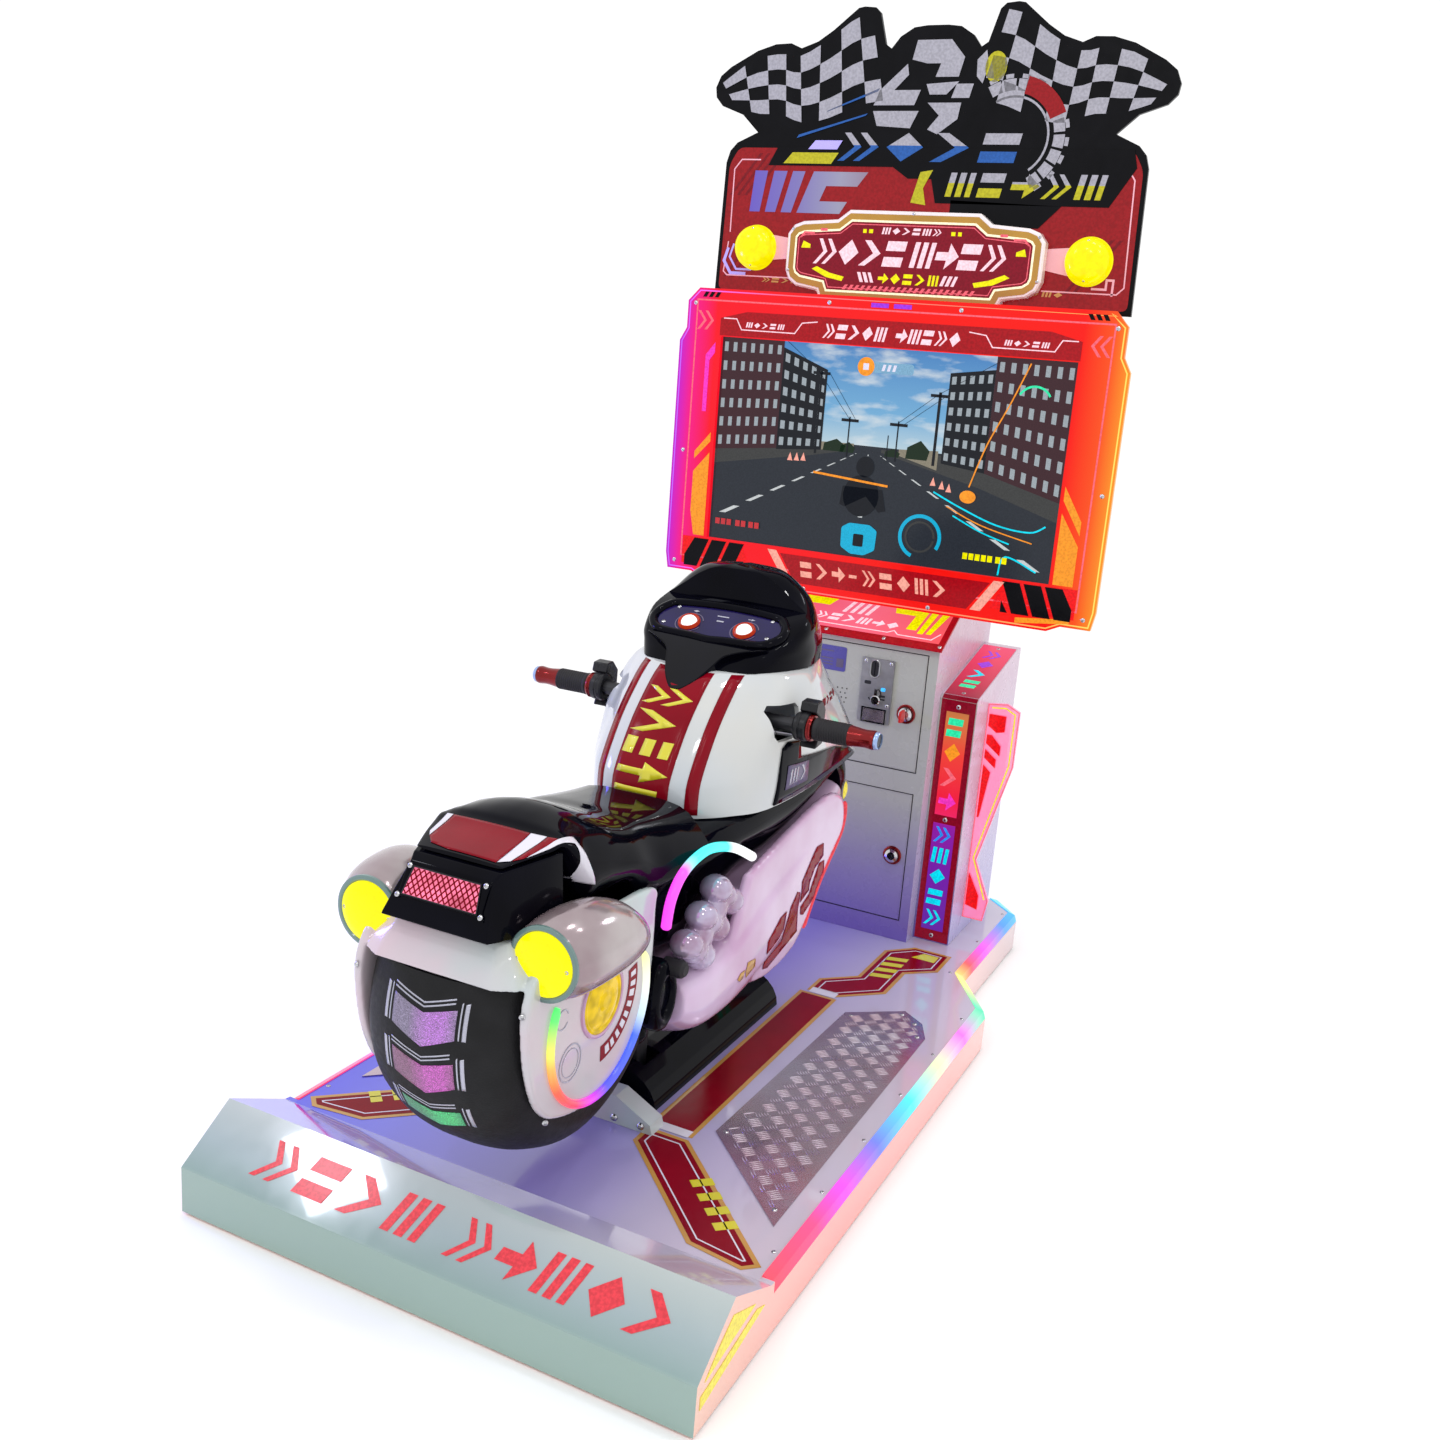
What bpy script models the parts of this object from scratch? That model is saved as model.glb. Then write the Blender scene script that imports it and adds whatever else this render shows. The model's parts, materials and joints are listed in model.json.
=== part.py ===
"""Child-size ride-on motorcycle arcade cabinet.

A motorcycle body leans on a pedestal in front of a coin cabinet with a monitor and a marquee.
Lengths are in metres, X to the rider's right, Y forwards from the platform's rear face, Z up.
The machine empty moves that design frame so that the origin is under the middle of the machine.
"""
import math

import bmesh
import bpy
from mathutils import Matrix, Vector

# ---- driving dimensions ----
LENGTH = 1.690
HALF_LENGTH = LENGTH / 2
GAP = 0.0004               # clearance kept between touching pieces
SHEET = 0.002              # steel sheet

DECK_HALF_WIDTH = 0.398
DECK_TOP = 0.0825
DECK_BOTTOM = 0.004
STEP_TOP_Y = 0.088         # ridge of the sloped rear step
STEP_TOP_Z = 0.135
STEP_FACE_Z = 0.072
STEP_FOOT_Y = 0.197
STRIP = 0.018              # lit edge strip, height and width
PLATE = 0.0015             # checker plate

LEAN_Z = 0.106             # height of the lean shaft
SHAFT_RADIUS = 0.012
PEDESTAL_REAR = 0.475
PEDESTAL_FRONT = 0.917
PEDESTAL_HALF = 0.074

WHEEL_Y = 0.2135
WHEEL_Z = 0.379
WHEEL_RADIUS = 0.213
WHEEL_HALF = 0.118
WHEEL_FRONT = 0.333        # the tyre shell ends here, against the body
COWL_HALF = 0.129
TYRE_TOP = 0.461           # the fender covers the tyre above this

PANEL_NORMAL = Vector((0, -0.097, 0.171)).normalized()

BAR_Y = 0.667
BAR_Z = 0.667
BAR_RADIUS = 0.011
GRIP_RADIUS = 0.0165
GRIP_INNER = 0.197
GRIP_OUTER = 0.300

CAB_FRONT = 1.325
CAB_BACK = 1.660
CAB_HALF = 0.172
CAB_TOP_FRONT = 0.688
CAB_TOP = 0.744
CAB_SHOULDER = 1.420
DOOR_HALF = 0.152
COIN_DOOR = (0.433, 0.668)
CASH_DOOR = (0.125, 0.390)
DOOR_GAP = 0.0015
REAR_DOOR_HALF = 0.130
REAR_DOOR = (0.150, 0.640)
LOCK_RADIUS = 0.0095

SCREEN_HALF = 0.354
SCREEN_LOW = 0.830
SCREEN_HIGH = 1.227
SCREEN_Y = 1.360
MARQUEE_Y = 1.430

PALETTE = {
    "deck_white": ((0.78, 0.78, 0.86), 0.12, 0.0),
    "strip": ((0.75, 0.35, 0.95), 0.3, 0.0),
    "steel": ((0.55, 0.56, 0.58), 0.35, 1.0),
    "dark_steel": ((0.06, 0.06, 0.07), 0.4, 0.8),
    "gloss_black": ((0.012, 0.012, 0.016), 0.08, 0.0),
    "matte_black": ((0.02, 0.02, 0.022), 0.6, 0.0),
    "gloss_white": ((0.85, 0.85, 0.82), 0.1, 0.0),
    "pearl": ((0.82, 0.74, 0.82), 0.12, 0.0),
    "silver": ((0.62, 0.58, 0.60), 0.2, 0.7),
    "tyre": ((0.02, 0.02, 0.022), 0.55, 0.0),
    "rubber": ((0.02, 0.02, 0.02), 0.7, 0.0),
    "crimson": ((0.35, 0.01, 0.03), 0.25, 0.0),
    "navy": ((0.03, 0.02, 0.14), 0.12, 0.0),
    "lamp_yellow": ((1.0, 0.78, 0.05), 0.3, 0.0),
    "lamp_white": ((0.95, 0.95, 0.95), 0.2, 0.0),
    "panel_red": ((0.9, 0.12, 0.12), 0.2, 0.0),
    "cabinet_white": ((0.74, 0.75, 0.80), 0.3, 0.0),
    "screen": ((0.12, 0.2, 0.3), 0.1, 0.0),
}


# ---- building tools ----
def clear_scene():
    for obj in list(bpy.data.objects):
        bpy.data.objects.remove(obj, do_unlink=True)


def material(slot):
    found = bpy.data.materials.get(slot)
    if found:
        return found
    color, roughness, metallic = PALETTE[slot]
    made = bpy.data.materials.new(slot)
    made.use_nodes = True
    shader = made.node_tree.nodes["Principled BSDF"]
    shader.inputs["Base Color"].default_value = (*color, 1.0)
    shader.inputs["Roughness"].default_value = roughness
    shader.inputs["Metallic"].default_value = metallic
    return made


def pivot(name, point, parent=None):
    """Empty on a joint's axis; point is in the design frame."""
    empty = bpy.data.objects.new(name, None)
    empty["point"] = point
    empty.location = (0, -HALF_LENGTH, 0)
    if parent:
        empty.parent = parent
        empty.location = Vector(point) - Vector(parent["point"])
    bpy.context.scene.collection.objects.link(empty)
    return empty


def add(name, bm, slot, body, smooth=None):
    """Object from a bmesh whose points are in the design frame."""
    bmesh.ops.remove_doubles(bm, verts=bm.verts, dist=0.00001)
    bmesh.ops.recalc_face_normals(bm, faces=bm.faces)
    mesh = bpy.data.meshes.new(name)
    bm.to_mesh(mesh)
    bm.free()
    obj = bpy.data.objects.new(name, mesh)
    obj.data.materials.append(material(slot))
    obj.parent = body
    obj.location = -Vector(body["point"])
    bpy.context.scene.collection.objects.link(obj)
    if smooth is not None:
        mesh.shade_smooth()
        mesh.set_sharp_from_angle(angle=math.radians(smooth))
    return obj


def skin(rings, closed=False):
    """Body through a row of equal rings, capped at the ends or closed on itself."""
    bm = bmesh.new()
    loops = [[bm.verts.new(point) for point in ring] for ring in rings]
    count = len(loops[0])
    pairs = list(zip(loops, loops[1:]))
    if closed:
        pairs.append((loops[-1], loops[0]))
    for near, far in pairs:
        for i in range(count):
            j = (i + 1) % count
            bm.faces.new((near[i], near[j], far[j], far[i]))
    if not closed:
        bm.faces.new(loops[0])
        bm.faces.new(loops[-1])
    return bm


def prism(outline, axis, low, high):
    """Outline extruded along X, Y or Z; its two coordinates are the other two axes in order."""
    index = "XYZ".index(axis)
    rings = []
    for level in (low, high):
        ring = []
        for a, b in outline:
            point = [a, b]
            point.insert(index, level)
            ring.append(point)
        rings.append(ring)
    return skin(rings)


def box(low, high):
    return prism([(low[0], low[1]), (high[0], low[1]), (high[0], high[1]), (low[0], high[1])],
                 "Z", low[2], high[2])


def turned(stations, centre, axis, sides=24, tube=False):
    """Body of revolution; stations are (distance along the axis, radius)."""
    turn = Vector((0, 0, 1)).rotation_difference(Vector(axis)).to_matrix()
    rings = []
    for along, radius in stations:
        ring = []
        for i in range(sides):
            angle = math.tau * i / sides
            local = Vector((radius * math.cos(angle), radius * math.sin(angle), along))
            ring.append(Vector(centre) + turn @ local)
        rings.append(ring)
    return skin(rings, closed=tube)


def mirrored(half):
    """Full outline from its right half, which runs from the bottom of the middle to the top."""
    return half + [(-a, b) for a, b in reversed(half) if abs(a) > 0.00001]


def cutter(bm, machine):
    tool = add("cutter", bm, "steel", machine)
    tool.hide_render = True
    tool.display_type = "WIRE"
    return tool


def combine(obj, tool, operation="DIFFERENCE"):
    step = obj.modifiers.new(operation.lower(), "BOOLEAN")
    step.operation = operation
    step.solver = "EXACT"
    step.object = tool
    return obj


def bevel(obj, width, segments=1):
    step = obj.modifiers.new("edge", "BEVEL")
    step.width = width
    step.segments = segments
    step.limit_method = "ANGLE"
    step.angle_limit = math.radians(40)
    return obj


def flipped(points, side):
    return [(side * point[0], *point[1:]) for point in points]


def side_name(base, side):
    return base + ("_right" if side > 0 else "_left")


# ---- platform ----
def deck_outline(inset=0.0):
    """Plan of the pedal deck, from the rear right round the front to the rear left."""
    wide = DECK_HALF_WIDTH - inset
    notch = 0.080
    slope = inset * 0.41
    right = [(wide, STEP_FOOT_Y), (wide, 1.125 - slope), (wide - notch, 1.251 - slope),
             (wide - notch, 1.624 - slope), (wide - notch - 0.057, 1.690 - inset)]
    return right + [(-x, y) for x, y in reversed(right)]


def platform(machine):
    step = [(0.0, DECK_BOTTOM), (0.0, STEP_FACE_Z), (STEP_TOP_Y, STEP_TOP_Z),
            (STEP_FOOT_Y, DECK_TOP), (STEP_FOOT_Y + 0.01, DECK_TOP - 0.001), (STEP_FOOT_Y + 0.01, DECK_BOTTOM)]
    wide = DECK_HALF_WIDTH
    deck = add("platform_deck", prism(deck_outline(), "Z", DECK_BOTTOM, DECK_TOP - STRIP), "deck_white", machine)
    upper = cutter(prism(deck_outline(STRIP), "Z", DECK_TOP - STRIP - 0.01, DECK_TOP), machine)
    ramp = cutter(prism(step, "X", -wide, wide), machine)
    hollow = cutter(box((-wide + 0.02, 0.02, -0.01), (wide - 0.02, 1.10, 0.058)), machine)
    hollow_front = cutter(box((-0.29, 1.05, -0.01), (0.29, 1.60, 0.058)), machine)
    combine(deck, upper, "UNION")
    combine(deck, ramp, "UNION")
    combine(deck, hollow)
    combine(deck, hollow_front)
    for side in (1, -1):
        strip_rings = []
        outer = [point for point in deck_outline() if point[0] > 0]
        inner = [point for point in deck_outline(STRIP - GAP) if point[0] > 0]
        outer[0] = (outer[0][0], STEP_FOOT_Y + 0.011)
        inner[0] = (inner[0][0], STEP_FOOT_Y + 0.011)
        outer[-1] = (outer[-1][0], outer[-1][1] - 0.0005)
        low = DECK_TOP - STRIP + GAP
        for (xo, yo), (xi, yi) in zip(outer, inner):
            xm, ym = xo + (xi - xo) * 0.25, yo + (yi - yo) * 0.25
            strip_rings.append(flipped([(xo, yo, low), (xi, yi, low), (xi, yi, DECK_TOP + 0.002),
                                        (xm, ym, DECK_TOP - 0.004)], side))
        add(side_name("edge_strip", side), skin(strip_rings), "strip", machine)
        plate = [(0.349, 0.309), (0.177, 0.476), (0.189, 0.958), (0.277, 1.026), (0.320, 0.995), (0.343, 0.944)]
        level = DECK_TOP + GAP
        add(side_name("checker_plate", side), prism(flipped(plate, side), "Z", level, level + PLATE), "steel", machine)
    spots = {"rear_right": (0.33, 0.10), "rear_left": (-0.33, 0.10),
             "front_right": (0.25, 1.55), "front_left": (-0.25, 1.55)}
    for place, (x, y) in spots.items():
        foot = turned([(0, 0.022), (0.008, 0.022), (0.010, 0.006), (0.0575, 0.006)], (x, y, 0), (0, 0, 1), 16)
        add("levelling_foot_" + place, foot, "rubber", machine, 40)


def pedestal(machine):
    arc = [(PEDESTAL_HALF * math.cos(math.pi * i / 12), DECK_TOP + GAP + 0.058 * math.sin(math.pi * i / 12))
           for i in range(13)]
    inner = [(0.962 * x, DECK_TOP - 0.01 + (z - DECK_TOP) * 0.95 + 0.008 * (z > DECK_TOP + 0.001))
             for x, z in arc]
    cover = add("pedestal_cover", prism(arc, "Y", PEDESTAL_REAR, PEDESTAL_FRONT), "gloss_black", machine, 40)
    combine(cover, cutter(prism(inner, "Y", PEDESTAL_REAR + 0.003, PEDESTAL_FRONT - 0.003), machine))
    for y in (0.53, 0.85):
        combine(cover, cutter(box((-0.034, y - 0.025, 0.112), (0.034, y + 0.025, 0.16)), machine))
    for place, y in (("rear", 0.505), ("front", 0.888)):
        top = LEAN_Z + 0.018
        block_outline = [(-0.03, DECK_TOP + GAP), (0.03, DECK_TOP + GAP), (0.016, top), (-0.016, top)]
        block = add("bearing_block_" + place, prism(block_outline, "Y", y - 0.009, y + 0.009), "dark_steel", machine)
        hole = turned([(-0.02, SHAFT_RADIUS + GAP), (0.02, SHAFT_RADIUS + GAP)], (0, y, LEAN_Z), (0, 1, 0), 20)
        combine(block, cutter(hole, machine))
    wedge = [(-0.104, DECK_TOP + GAP), (0.104, DECK_TOP + GAP), (0.100, 0.098), (0.040, 0.128),
             (-0.040, 0.128), (-0.100, 0.098)]
    add("lean_stop_bracket", prism(wedge, "Y", 0.412, 0.448), "gloss_white", machine)


# ---- motorcycle ----
def lean_frame(bike):
    """Shaft, two posts and a spine that carry the bodywork."""
    shaft = turned([(0.494, SHAFT_RADIUS), (0.900, SHAFT_RADIUS)], (0, 0, LEAN_Z), (0, 1, 0), 20)
    frame = add("lean_frame", shaft, "dark_steel", bike)
    low = LEAN_Z
    posts = [(0.515, low), (0.545, low), (0.560, 0.440), (0.820, 0.440), (0.835, low), (0.865, low),
             (0.880, 0.474), (0.500, 0.474)]
    combine(frame, cutter(prism(posts, "X", -0.015, 0.015), bike), "UNION")


def loft_y(sections):
    """Body lofted along Y; each section is y and the right half of its outline in X and Z."""
    rings = []
    for y, half in sections:
        rings.append([(x, y, z) for x, z in mirrored(half)])
    return skin(rings)


def loft_z(sections):
    """Body lofted along Z; each section is z and the right half of its outline in X and Y."""
    rings = []
    for z, half in sections:
        rings.append([(x, y, z) for x, y in mirrored(half)])
    return skin(rings)


def round_half(width, low, high, waist=0.5, under=0.82):
    """Right half of a rounded section, bottom to top; waist is where it is widest."""
    middle = low + (high - low) * waist
    return [(0.0, low), (width * under, low + (middle - low) * 0.08), (width * 0.95, low + (middle - low) * 0.4),
            (width, middle), (width * 0.95, middle + (high - middle) * 0.6),
            (width * 0.70, high - (high - middle) * 0.08), (0.0, high)]


def seat_body(bike):
    """Saddle and flanks: rows are y and the right half of the section in X and Z, bottom to top."""
    flank = [(0.102, 0.400), (0.105, 0.484), (0.134, 0.503)]
    sections = [
        (0.064, [(0.062, 0.5925), (0.071, 0.593), (0.076, 0.594), (0.078, 0.595), (0.072, 0.5965), (0.052, 0.5975)]),
        (0.108, [(0.068, 0.597), (0.078, 0.598), (0.084, 0.600), (0.086, 0.601), (0.080, 0.603), (0.057, 0.605)]),
        (0.153, [(0.078, 0.600), (0.086, 0.602), (0.092, 0.605), (0.095, 0.608), (0.090, 0.612), (0.064, 0.615)]),
        (0.158, [(0.086, 0.518), (0.100, 0.530), (0.106, 0.548), (0.108, 0.566), (0.102, 0.592), (0.074, 0.612)]),
        (0.200, [(0.090, 0.518), (0.104, 0.528), (0.111, 0.545), (0.113, 0.560), (0.102, 0.590), (0.074, 0.614)]),
        (0.245, [(0.092, 0.518), (0.106, 0.527), (0.113, 0.541), (0.115, 0.555), (0.102, 0.587), (0.076, 0.608)]),
        (0.330, [(0.092, 0.518), (0.108, 0.524), (0.116, 0.534), (0.119, 0.545), (0.100, 0.573), (0.072, 0.589)]),
        (0.338, [(0.088, 0.396), (0.104, 0.420), (0.112, 0.484), (0.122, 0.510), (0.102, 0.565), (0.072, 0.588)]),
        (0.402, [(0.080, 0.394), *flank, (0.108, 0.550), (0.074, 0.578)]),
        (0.412, [(0.080, 0.370), *flank, (0.110, 0.548), (0.074, 0.577)]),
        (0.470, [(0.080, 0.374), *flank, (0.114, 0.540), (0.076, 0.569)]),
        (0.487, [(0.080, 0.379), *flank, (0.115, 0.538), (0.076, 0.567)]),
        (0.491, [(0.080, 0.380), *flank, (0.124, 0.526), (0.104, 0.536)]),
        (0.530, [(0.080, 0.397), (0.100, 0.415), (0.105, 0.484), (0.138, 0.503), (0.130, 0.525), (0.106, 0.537)]),
        (0.620, [(0.088, 0.434), (0.110, 0.450), (0.118, 0.484), (0.141, 0.501), (0.136, 0.522), (0.114, 0.537)]),
        (0.700, [(0.108, 0.458), (0.126, 0.470), (0.132, 0.484), (0.141, 0.500), (0.136, 0.522), (0.114, 0.537)]),
        (0.820, [(0.112, 0.486), (0.128, 0.492), (0.134, 0.500), (0.138, 0.510), (0.132, 0.525), (0.112, 0.537)]),
        (0.978, [(0.100, 0.512), (0.112, 0.515), (0.118, 0.519), (0.122, 0.524), (0.118, 0.530), (0.100, 0.537)])]
    bottoms = [0.5925, 0.597, 0.600, 0.516, 0.516, 0.516, 0.516, 0.392, 0.392, 0.368, 0.372, 0.377, 0.378, 0.394,
               0.430, 0.456, 0.484, 0.512]
    tops = [0.598, 0.606, 0.617, 0.619, 0.628, 0.620, 0.594, 0.593, 0.583, 0.582, 0.574, 0.572] + [0.5385] * 6
    rows = [(y, [(0.0, low), *half, (0.0, high)]) for (y, half), low, high in zip(sections, bottoms, tops)]
    body = add("seat_body", loft_y(rows), "gloss_black", bike, 50)
    combine(body, cutter(box((-0.020, 0.485, 0.30), (0.020, 0.90, 0.480)), bike))
    return body


def tail(bike):
    """Box under the tail that holds the rear lamp."""
    sections = [(0.018, 0.078, 0.078, 0.517, 0.520), (0.050, 0.088, 0.058, 0.516, 0.582),
                (0.062, 0.090, 0.064, 0.516, 0.590), (0.126, 0.096, 0.088, 0.516, 0.597),
                (0.152, 0.096, 0.092, 0.516, 0.598)]
    rings = []
    for y, low_half, high_half, low, high in sections:
        rings.append([(-low_half, y, low), (low_half, y, low), (high_half, y, high), (-high_half, y, high)])
    add("tail_housing", skin(rings), "gloss_black", bike)


def wheel_ring(radius, inner, half):
    """Stations of a tyre-shaped ring with round shoulders."""
    right = [(half * 0.55, radius - 0.007), (half * 0.82, radius - 0.024), (half * 0.96, radius - 0.048),
             (half, radius - 0.072), (half, inner)]
    return [(-along, reach) for along, reach in reversed(right)] + [(0.0, radius)] + right


def wheel(bike):
    centre = (0, WHEEL_Y, WHEEL_Z)
    tyre = add("tyre_shell", turned(wheel_ring(WHEEL_RADIUS, 0.112, WHEEL_HALF), centre, (1, 0, 0), 40, True),
               "tyre", bike, 30)
    combine(tyre, cutter(box((-0.2, -0.1, TYRE_TOP), (0.2, 0.5, 0.7)), bike))
    combine(tyre, cutter(box((-0.2, WHEEL_FRONT, 0.1), (0.2, 0.5, 0.7)), bike))
    side = [(0.086, 0.4990), (0.058, 0.484), (0.036, 0.458), (0.030, 0.420), (0.042, 0.350), (0.070, 0.292),
            (0.112, 0.266), (0.180, 0.252), (0.245, 0.256), (0.295, 0.285), (0.325, 0.330), (0.331, 0.400),
            (0.331, 0.511), (0.086, 0.511)]
    cowl = add("wheel_cowl", prism(side, "X", WHEEL_HALF + GAP, COWL_HALF), "gloss_white", bike)
    combine(cowl, cutter(prism(side, "X", -COWL_HALF, -WHEEL_HALF - GAP), bike), "UNION")
    fender = [(0.4625, [(0.0, 0.0155), (0.085, 0.0165), (0.112, 0.032), (0.1195, 0.060), (0.1195, 0.0945), (0.0, 0.0945)]),
              (0.478, [(0.0, 0.024), (0.080, 0.025), (0.107, 0.040), (0.1190, 0.066), (0.1190, 0.0945), (0.0, 0.0945)]),
              (0.496, [(0.0, 0.035), (0.074, 0.036), (0.092, 0.048), (0.100, 0.070), (0.102, 0.0945), (0.0, 0.0945)]),
              (0.511, [(0.0, 0.044), (0.070, 0.045), (0.083, 0.054), (0.088, 0.074), (0.090, 0.0945), (0.0, 0.0945)])]
    combine(cowl, cutter(loft_z(fender), bike), "UNION")
    return cowl


def turn_pod_rings(side, extra=0.0):
    """Teardrop beside the tail: rings of radius and centre along Y."""
    stations = [(0.060, 0.047, 0.130, 0.494), (0.075, 0.052, 0.134, 0.496), (0.110, 0.056, 0.140, 0.499),
                (0.150, 0.053, 0.146, 0.500), (0.195, 0.040, 0.152, 0.492), (0.236, 0.014, 0.160, 0.480)]
    rings = []
    for y, radius, x, z in stations:
        ring = []
        for i in range(16):
            angle = math.tau * i / 16
            reach = radius + extra
            ring.append((side * (x + reach * math.cos(angle)), y, z + reach * math.sin(angle)))
        rings.append(ring)
    return [[(x, y - extra, z) for x, y, z in rings[0]]] + rings[1:-1] + [[(x, y + extra, z) for x, y, z in rings[-1]]]


def turn_pods(bike, neighbours):
    """Lamp bodies beside the tail; each neighbour is cut clear of them."""
    for side in (1, -1):
        add(side_name("turn_pod", side), skin(turn_pod_rings(side)), "silver", bike, 50)
        clearance = cutter(skin(turn_pod_rings(side, 0.0008)), bike)
        for neighbour in neighbours:
            combine(neighbour, clearance)


def fairing(bike):
    """White tank fairing, hollow and open below, with a slot on each side for the handlebar."""
    sections = [(0.5395, 0.494, 0.148, 0.630, 0.152, 0.80, 0.128, 1.040, 1.068),
                (0.600, 0.500, 0.150, 0.636, 0.156, 0.80, 0.130, 0.990, 1.020),
                (0.660, 0.538, 0.150, 0.654, 0.156, 0.79, 0.122, 0.940, 0.980),
                (0.705, 0.580, 0.144, 0.684, 0.150, 0.78, 0.112, 0.900, 0.955),
                (0.735, 0.618, 0.132, 0.700, 0.138, 0.77, 0.104, 0.880, 0.940)]

    def layer(z, rear, xc, yc, xs, ys, xf, yf, front, inset=0.0):
        bulge = [(0.0, rear), (0.047, rear + 0.004), (0.085, rear + 0.027), (0.118, rear + 0.068)]
        bulge = [(x - inset * x / 0.12, y + inset) for x, y in bulge]
        return z, bulge + [(xc - inset * 1.4, yc + inset), (xs - inset, ys), (xf - inset, yf - inset),
                           (xf * 0.5, front - 0.008 - inset), (0.0, front - inset)]

    outer = loft_z([layer(*row) for row in sections])
    shell = add("tank_fairing", outer, "gloss_white", bike, 60)
    rows = [layer(*row, inset=0.006) for row in sections]
    rows[0] = (0.530, rows[0][1])
    rows[-1] = (0.729, rows[-1][1])
    combine(shell, cutter(loft_z(rows), bike))
    for side in (1, -1):
        low, high = sorted((side * 0.09, side * 0.20))
        combine(shell, cutter(box((low, 0.6345, 0.640), (high, 0.702, 0.694)), bike))
    return shell


def hood(bike):
    """Black hood: surround of the dash panel in one moulding with the windscreen dome."""
    def layer(z, rear, xr, yr, xs, ys, xf, yf, front):
        return z, [(0.0, rear), (xr, yr), (xs, ys), (xf, yf), (xf * 0.55, front - 0.012), (0.0, front)]

    sections = [layer(0.7355, 0.630, 0.096, 0.658, 0.136, 0.76, 0.108, 0.885, 0.940),
                layer(0.770, 0.668, 0.122, 0.700, 0.136, 0.78, 0.106, 0.880, 0.925),
                layer(0.800, 0.715, 0.128, 0.740, 0.132, 0.79, 0.098, 0.870, 0.905),
                layer(0.830, 0.755, 0.090, 0.762, 0.116, 0.80, 0.084, 0.860, 0.880),
                layer(0.858, 0.762, 0.060, 0.768, 0.086, 0.80, 0.060, 0.845, 0.858),
                layer(0.8760, 0.776, 0.030, 0.780, 0.046, 0.80, 0.030, 0.825, 0.832)]
    shell = add("hood", loft_z(sections), "gloss_black", bike, 60)
    slope = [(0.600, 0.719), (0.771, 0.816), (0.771, 0.90), (0.600, 0.90)]
    combine(shell, cutter(prism(slope, "X", -0.16, 0.16), bike))
    for side in (1, -1):
        well = turned([(-0.012, 0.0135), (0.03, 0.0135)], panel_point(side * 0.048, 0.040), PANEL_NORMAL, 20)
        combine(shell, cutter(well, bike))
    return shell


def panel_point(x, along, above=0.0):
    """Point on the dash panel's plane; along runs up the slope from its rear edge."""
    up = Vector((0, 0.171, 0.097)).normalized()
    return Vector((0, 0.676, 0.7625)) + Vector((x, 0, 0)) + up * along + PANEL_NORMAL * above


def dash(bike):
    right = [(0.0, 0.010), (0.027, 0.013), (0.050, 0.014), (0.083, 0.017), (0.101, 0.032), (0.1055, 0.050),
             (0.097, 0.070), (0.077, 0.082), (0.0, 0.088)]
    outline = mirrored(right)
    rings = [[panel_point(x, along, level) for x, along in outline] for level in (GAP, 0.0034)]
    panel = add("dash_panel", skin(rings), "navy", bike)
    for side in (1, -1):
        centre = panel_point(side * 0.048, 0.040)
        combine(panel, cutter(turned([(-0.02, 0.0135), (0.02, 0.0135)], centre, PANEL_NORMAL, 20), bike))


def start_button(bike, side):
    centre = panel_point(side * 0.048, 0.040)
    body = pivot(side_name("start_button_axis", side), tuple(centre), bike)
    dome = [(-0.006, 0.0125), (0.007, 0.0125), (0.0105, 0.0105), (0.0125, 0.006)]
    add(side_name("start_button", side), turned(dome, centre, PANEL_NORMAL, 20), "lamp_white", body, 40)


def belly(bike):
    """Fairing round the engine; the lean frame stands in its open middle."""
    sections = [(0.402, round_half(0.146, 0.262, 0.345, 0.62, 0.62)),
                (0.450, round_half(0.160, 0.226, 0.355, 0.70, 0.60)),
                (0.530, round_half(0.166, 0.214, 0.378, 0.72, 0.58)),
                (0.620, round_half(0.168, 0.220, 0.416, 0.72, 0.58)),
                (0.720, round_half(0.166, 0.238, 0.448, 0.72, 0.60)),
                (0.775, round_half(0.162, 0.286, 0.462, 0.70, 0.62)),
                (0.830, round_half(0.158, 0.342, 0.472, 0.66, 0.66)),
                (0.910, round_half(0.150, 0.400, 0.490, 0.60, 0.70)),
                (0.985, round_half(0.132, 0.440, 0.500, 0.55, 0.72))]
    body = add("belly_fairing", loft_y(sections), "pearl", bike, 50)
    flank = [(0.562, 0.448), (0.590, 0.457), (0.719, 0.483), (0.856, 0.504), (0.930, 0.484), (0.946, 0.430),
             (0.900, 0.392), (0.800, 0.310), (0.620, 0.300), (0.520, 0.340)]
    for side in (1, -1):
        near, far = sorted((side * 0.1425, side * 0.157))
        combine(body, cutter(prism(flank, "X", near, far), bike), "UNION")
    combine(body, cutter(box((-0.026, 0.480, 0.10), (0.026, 0.905, 0.60)), bike))
    return body


def engine_bulbs(bike, side):
    """Three stacked silver domes beside the engine, joined where they touch."""
    rings = []
    for t in range(10):
        u = t / 9
        radius = 0.020 + 0.008 * abs(math.sin(math.pi * 3 * u)) if 0 < t < 9 else 0.010
        y, z = 0.425 + 0.100 * u, 0.392 + 0.055 * u
        ring = []
        for i in range(12):
            angle = math.tau * i / 12
            ring.append((side * (0.138 + 0.85 * radius * math.cos(angle)), y - 0.5 * radius * math.sin(angle),
                         z + radius * math.sin(angle)))
        rings.append(ring)
    add(side_name("engine_bulbs", side), skin(rings), "silver", bike, 50)


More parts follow.
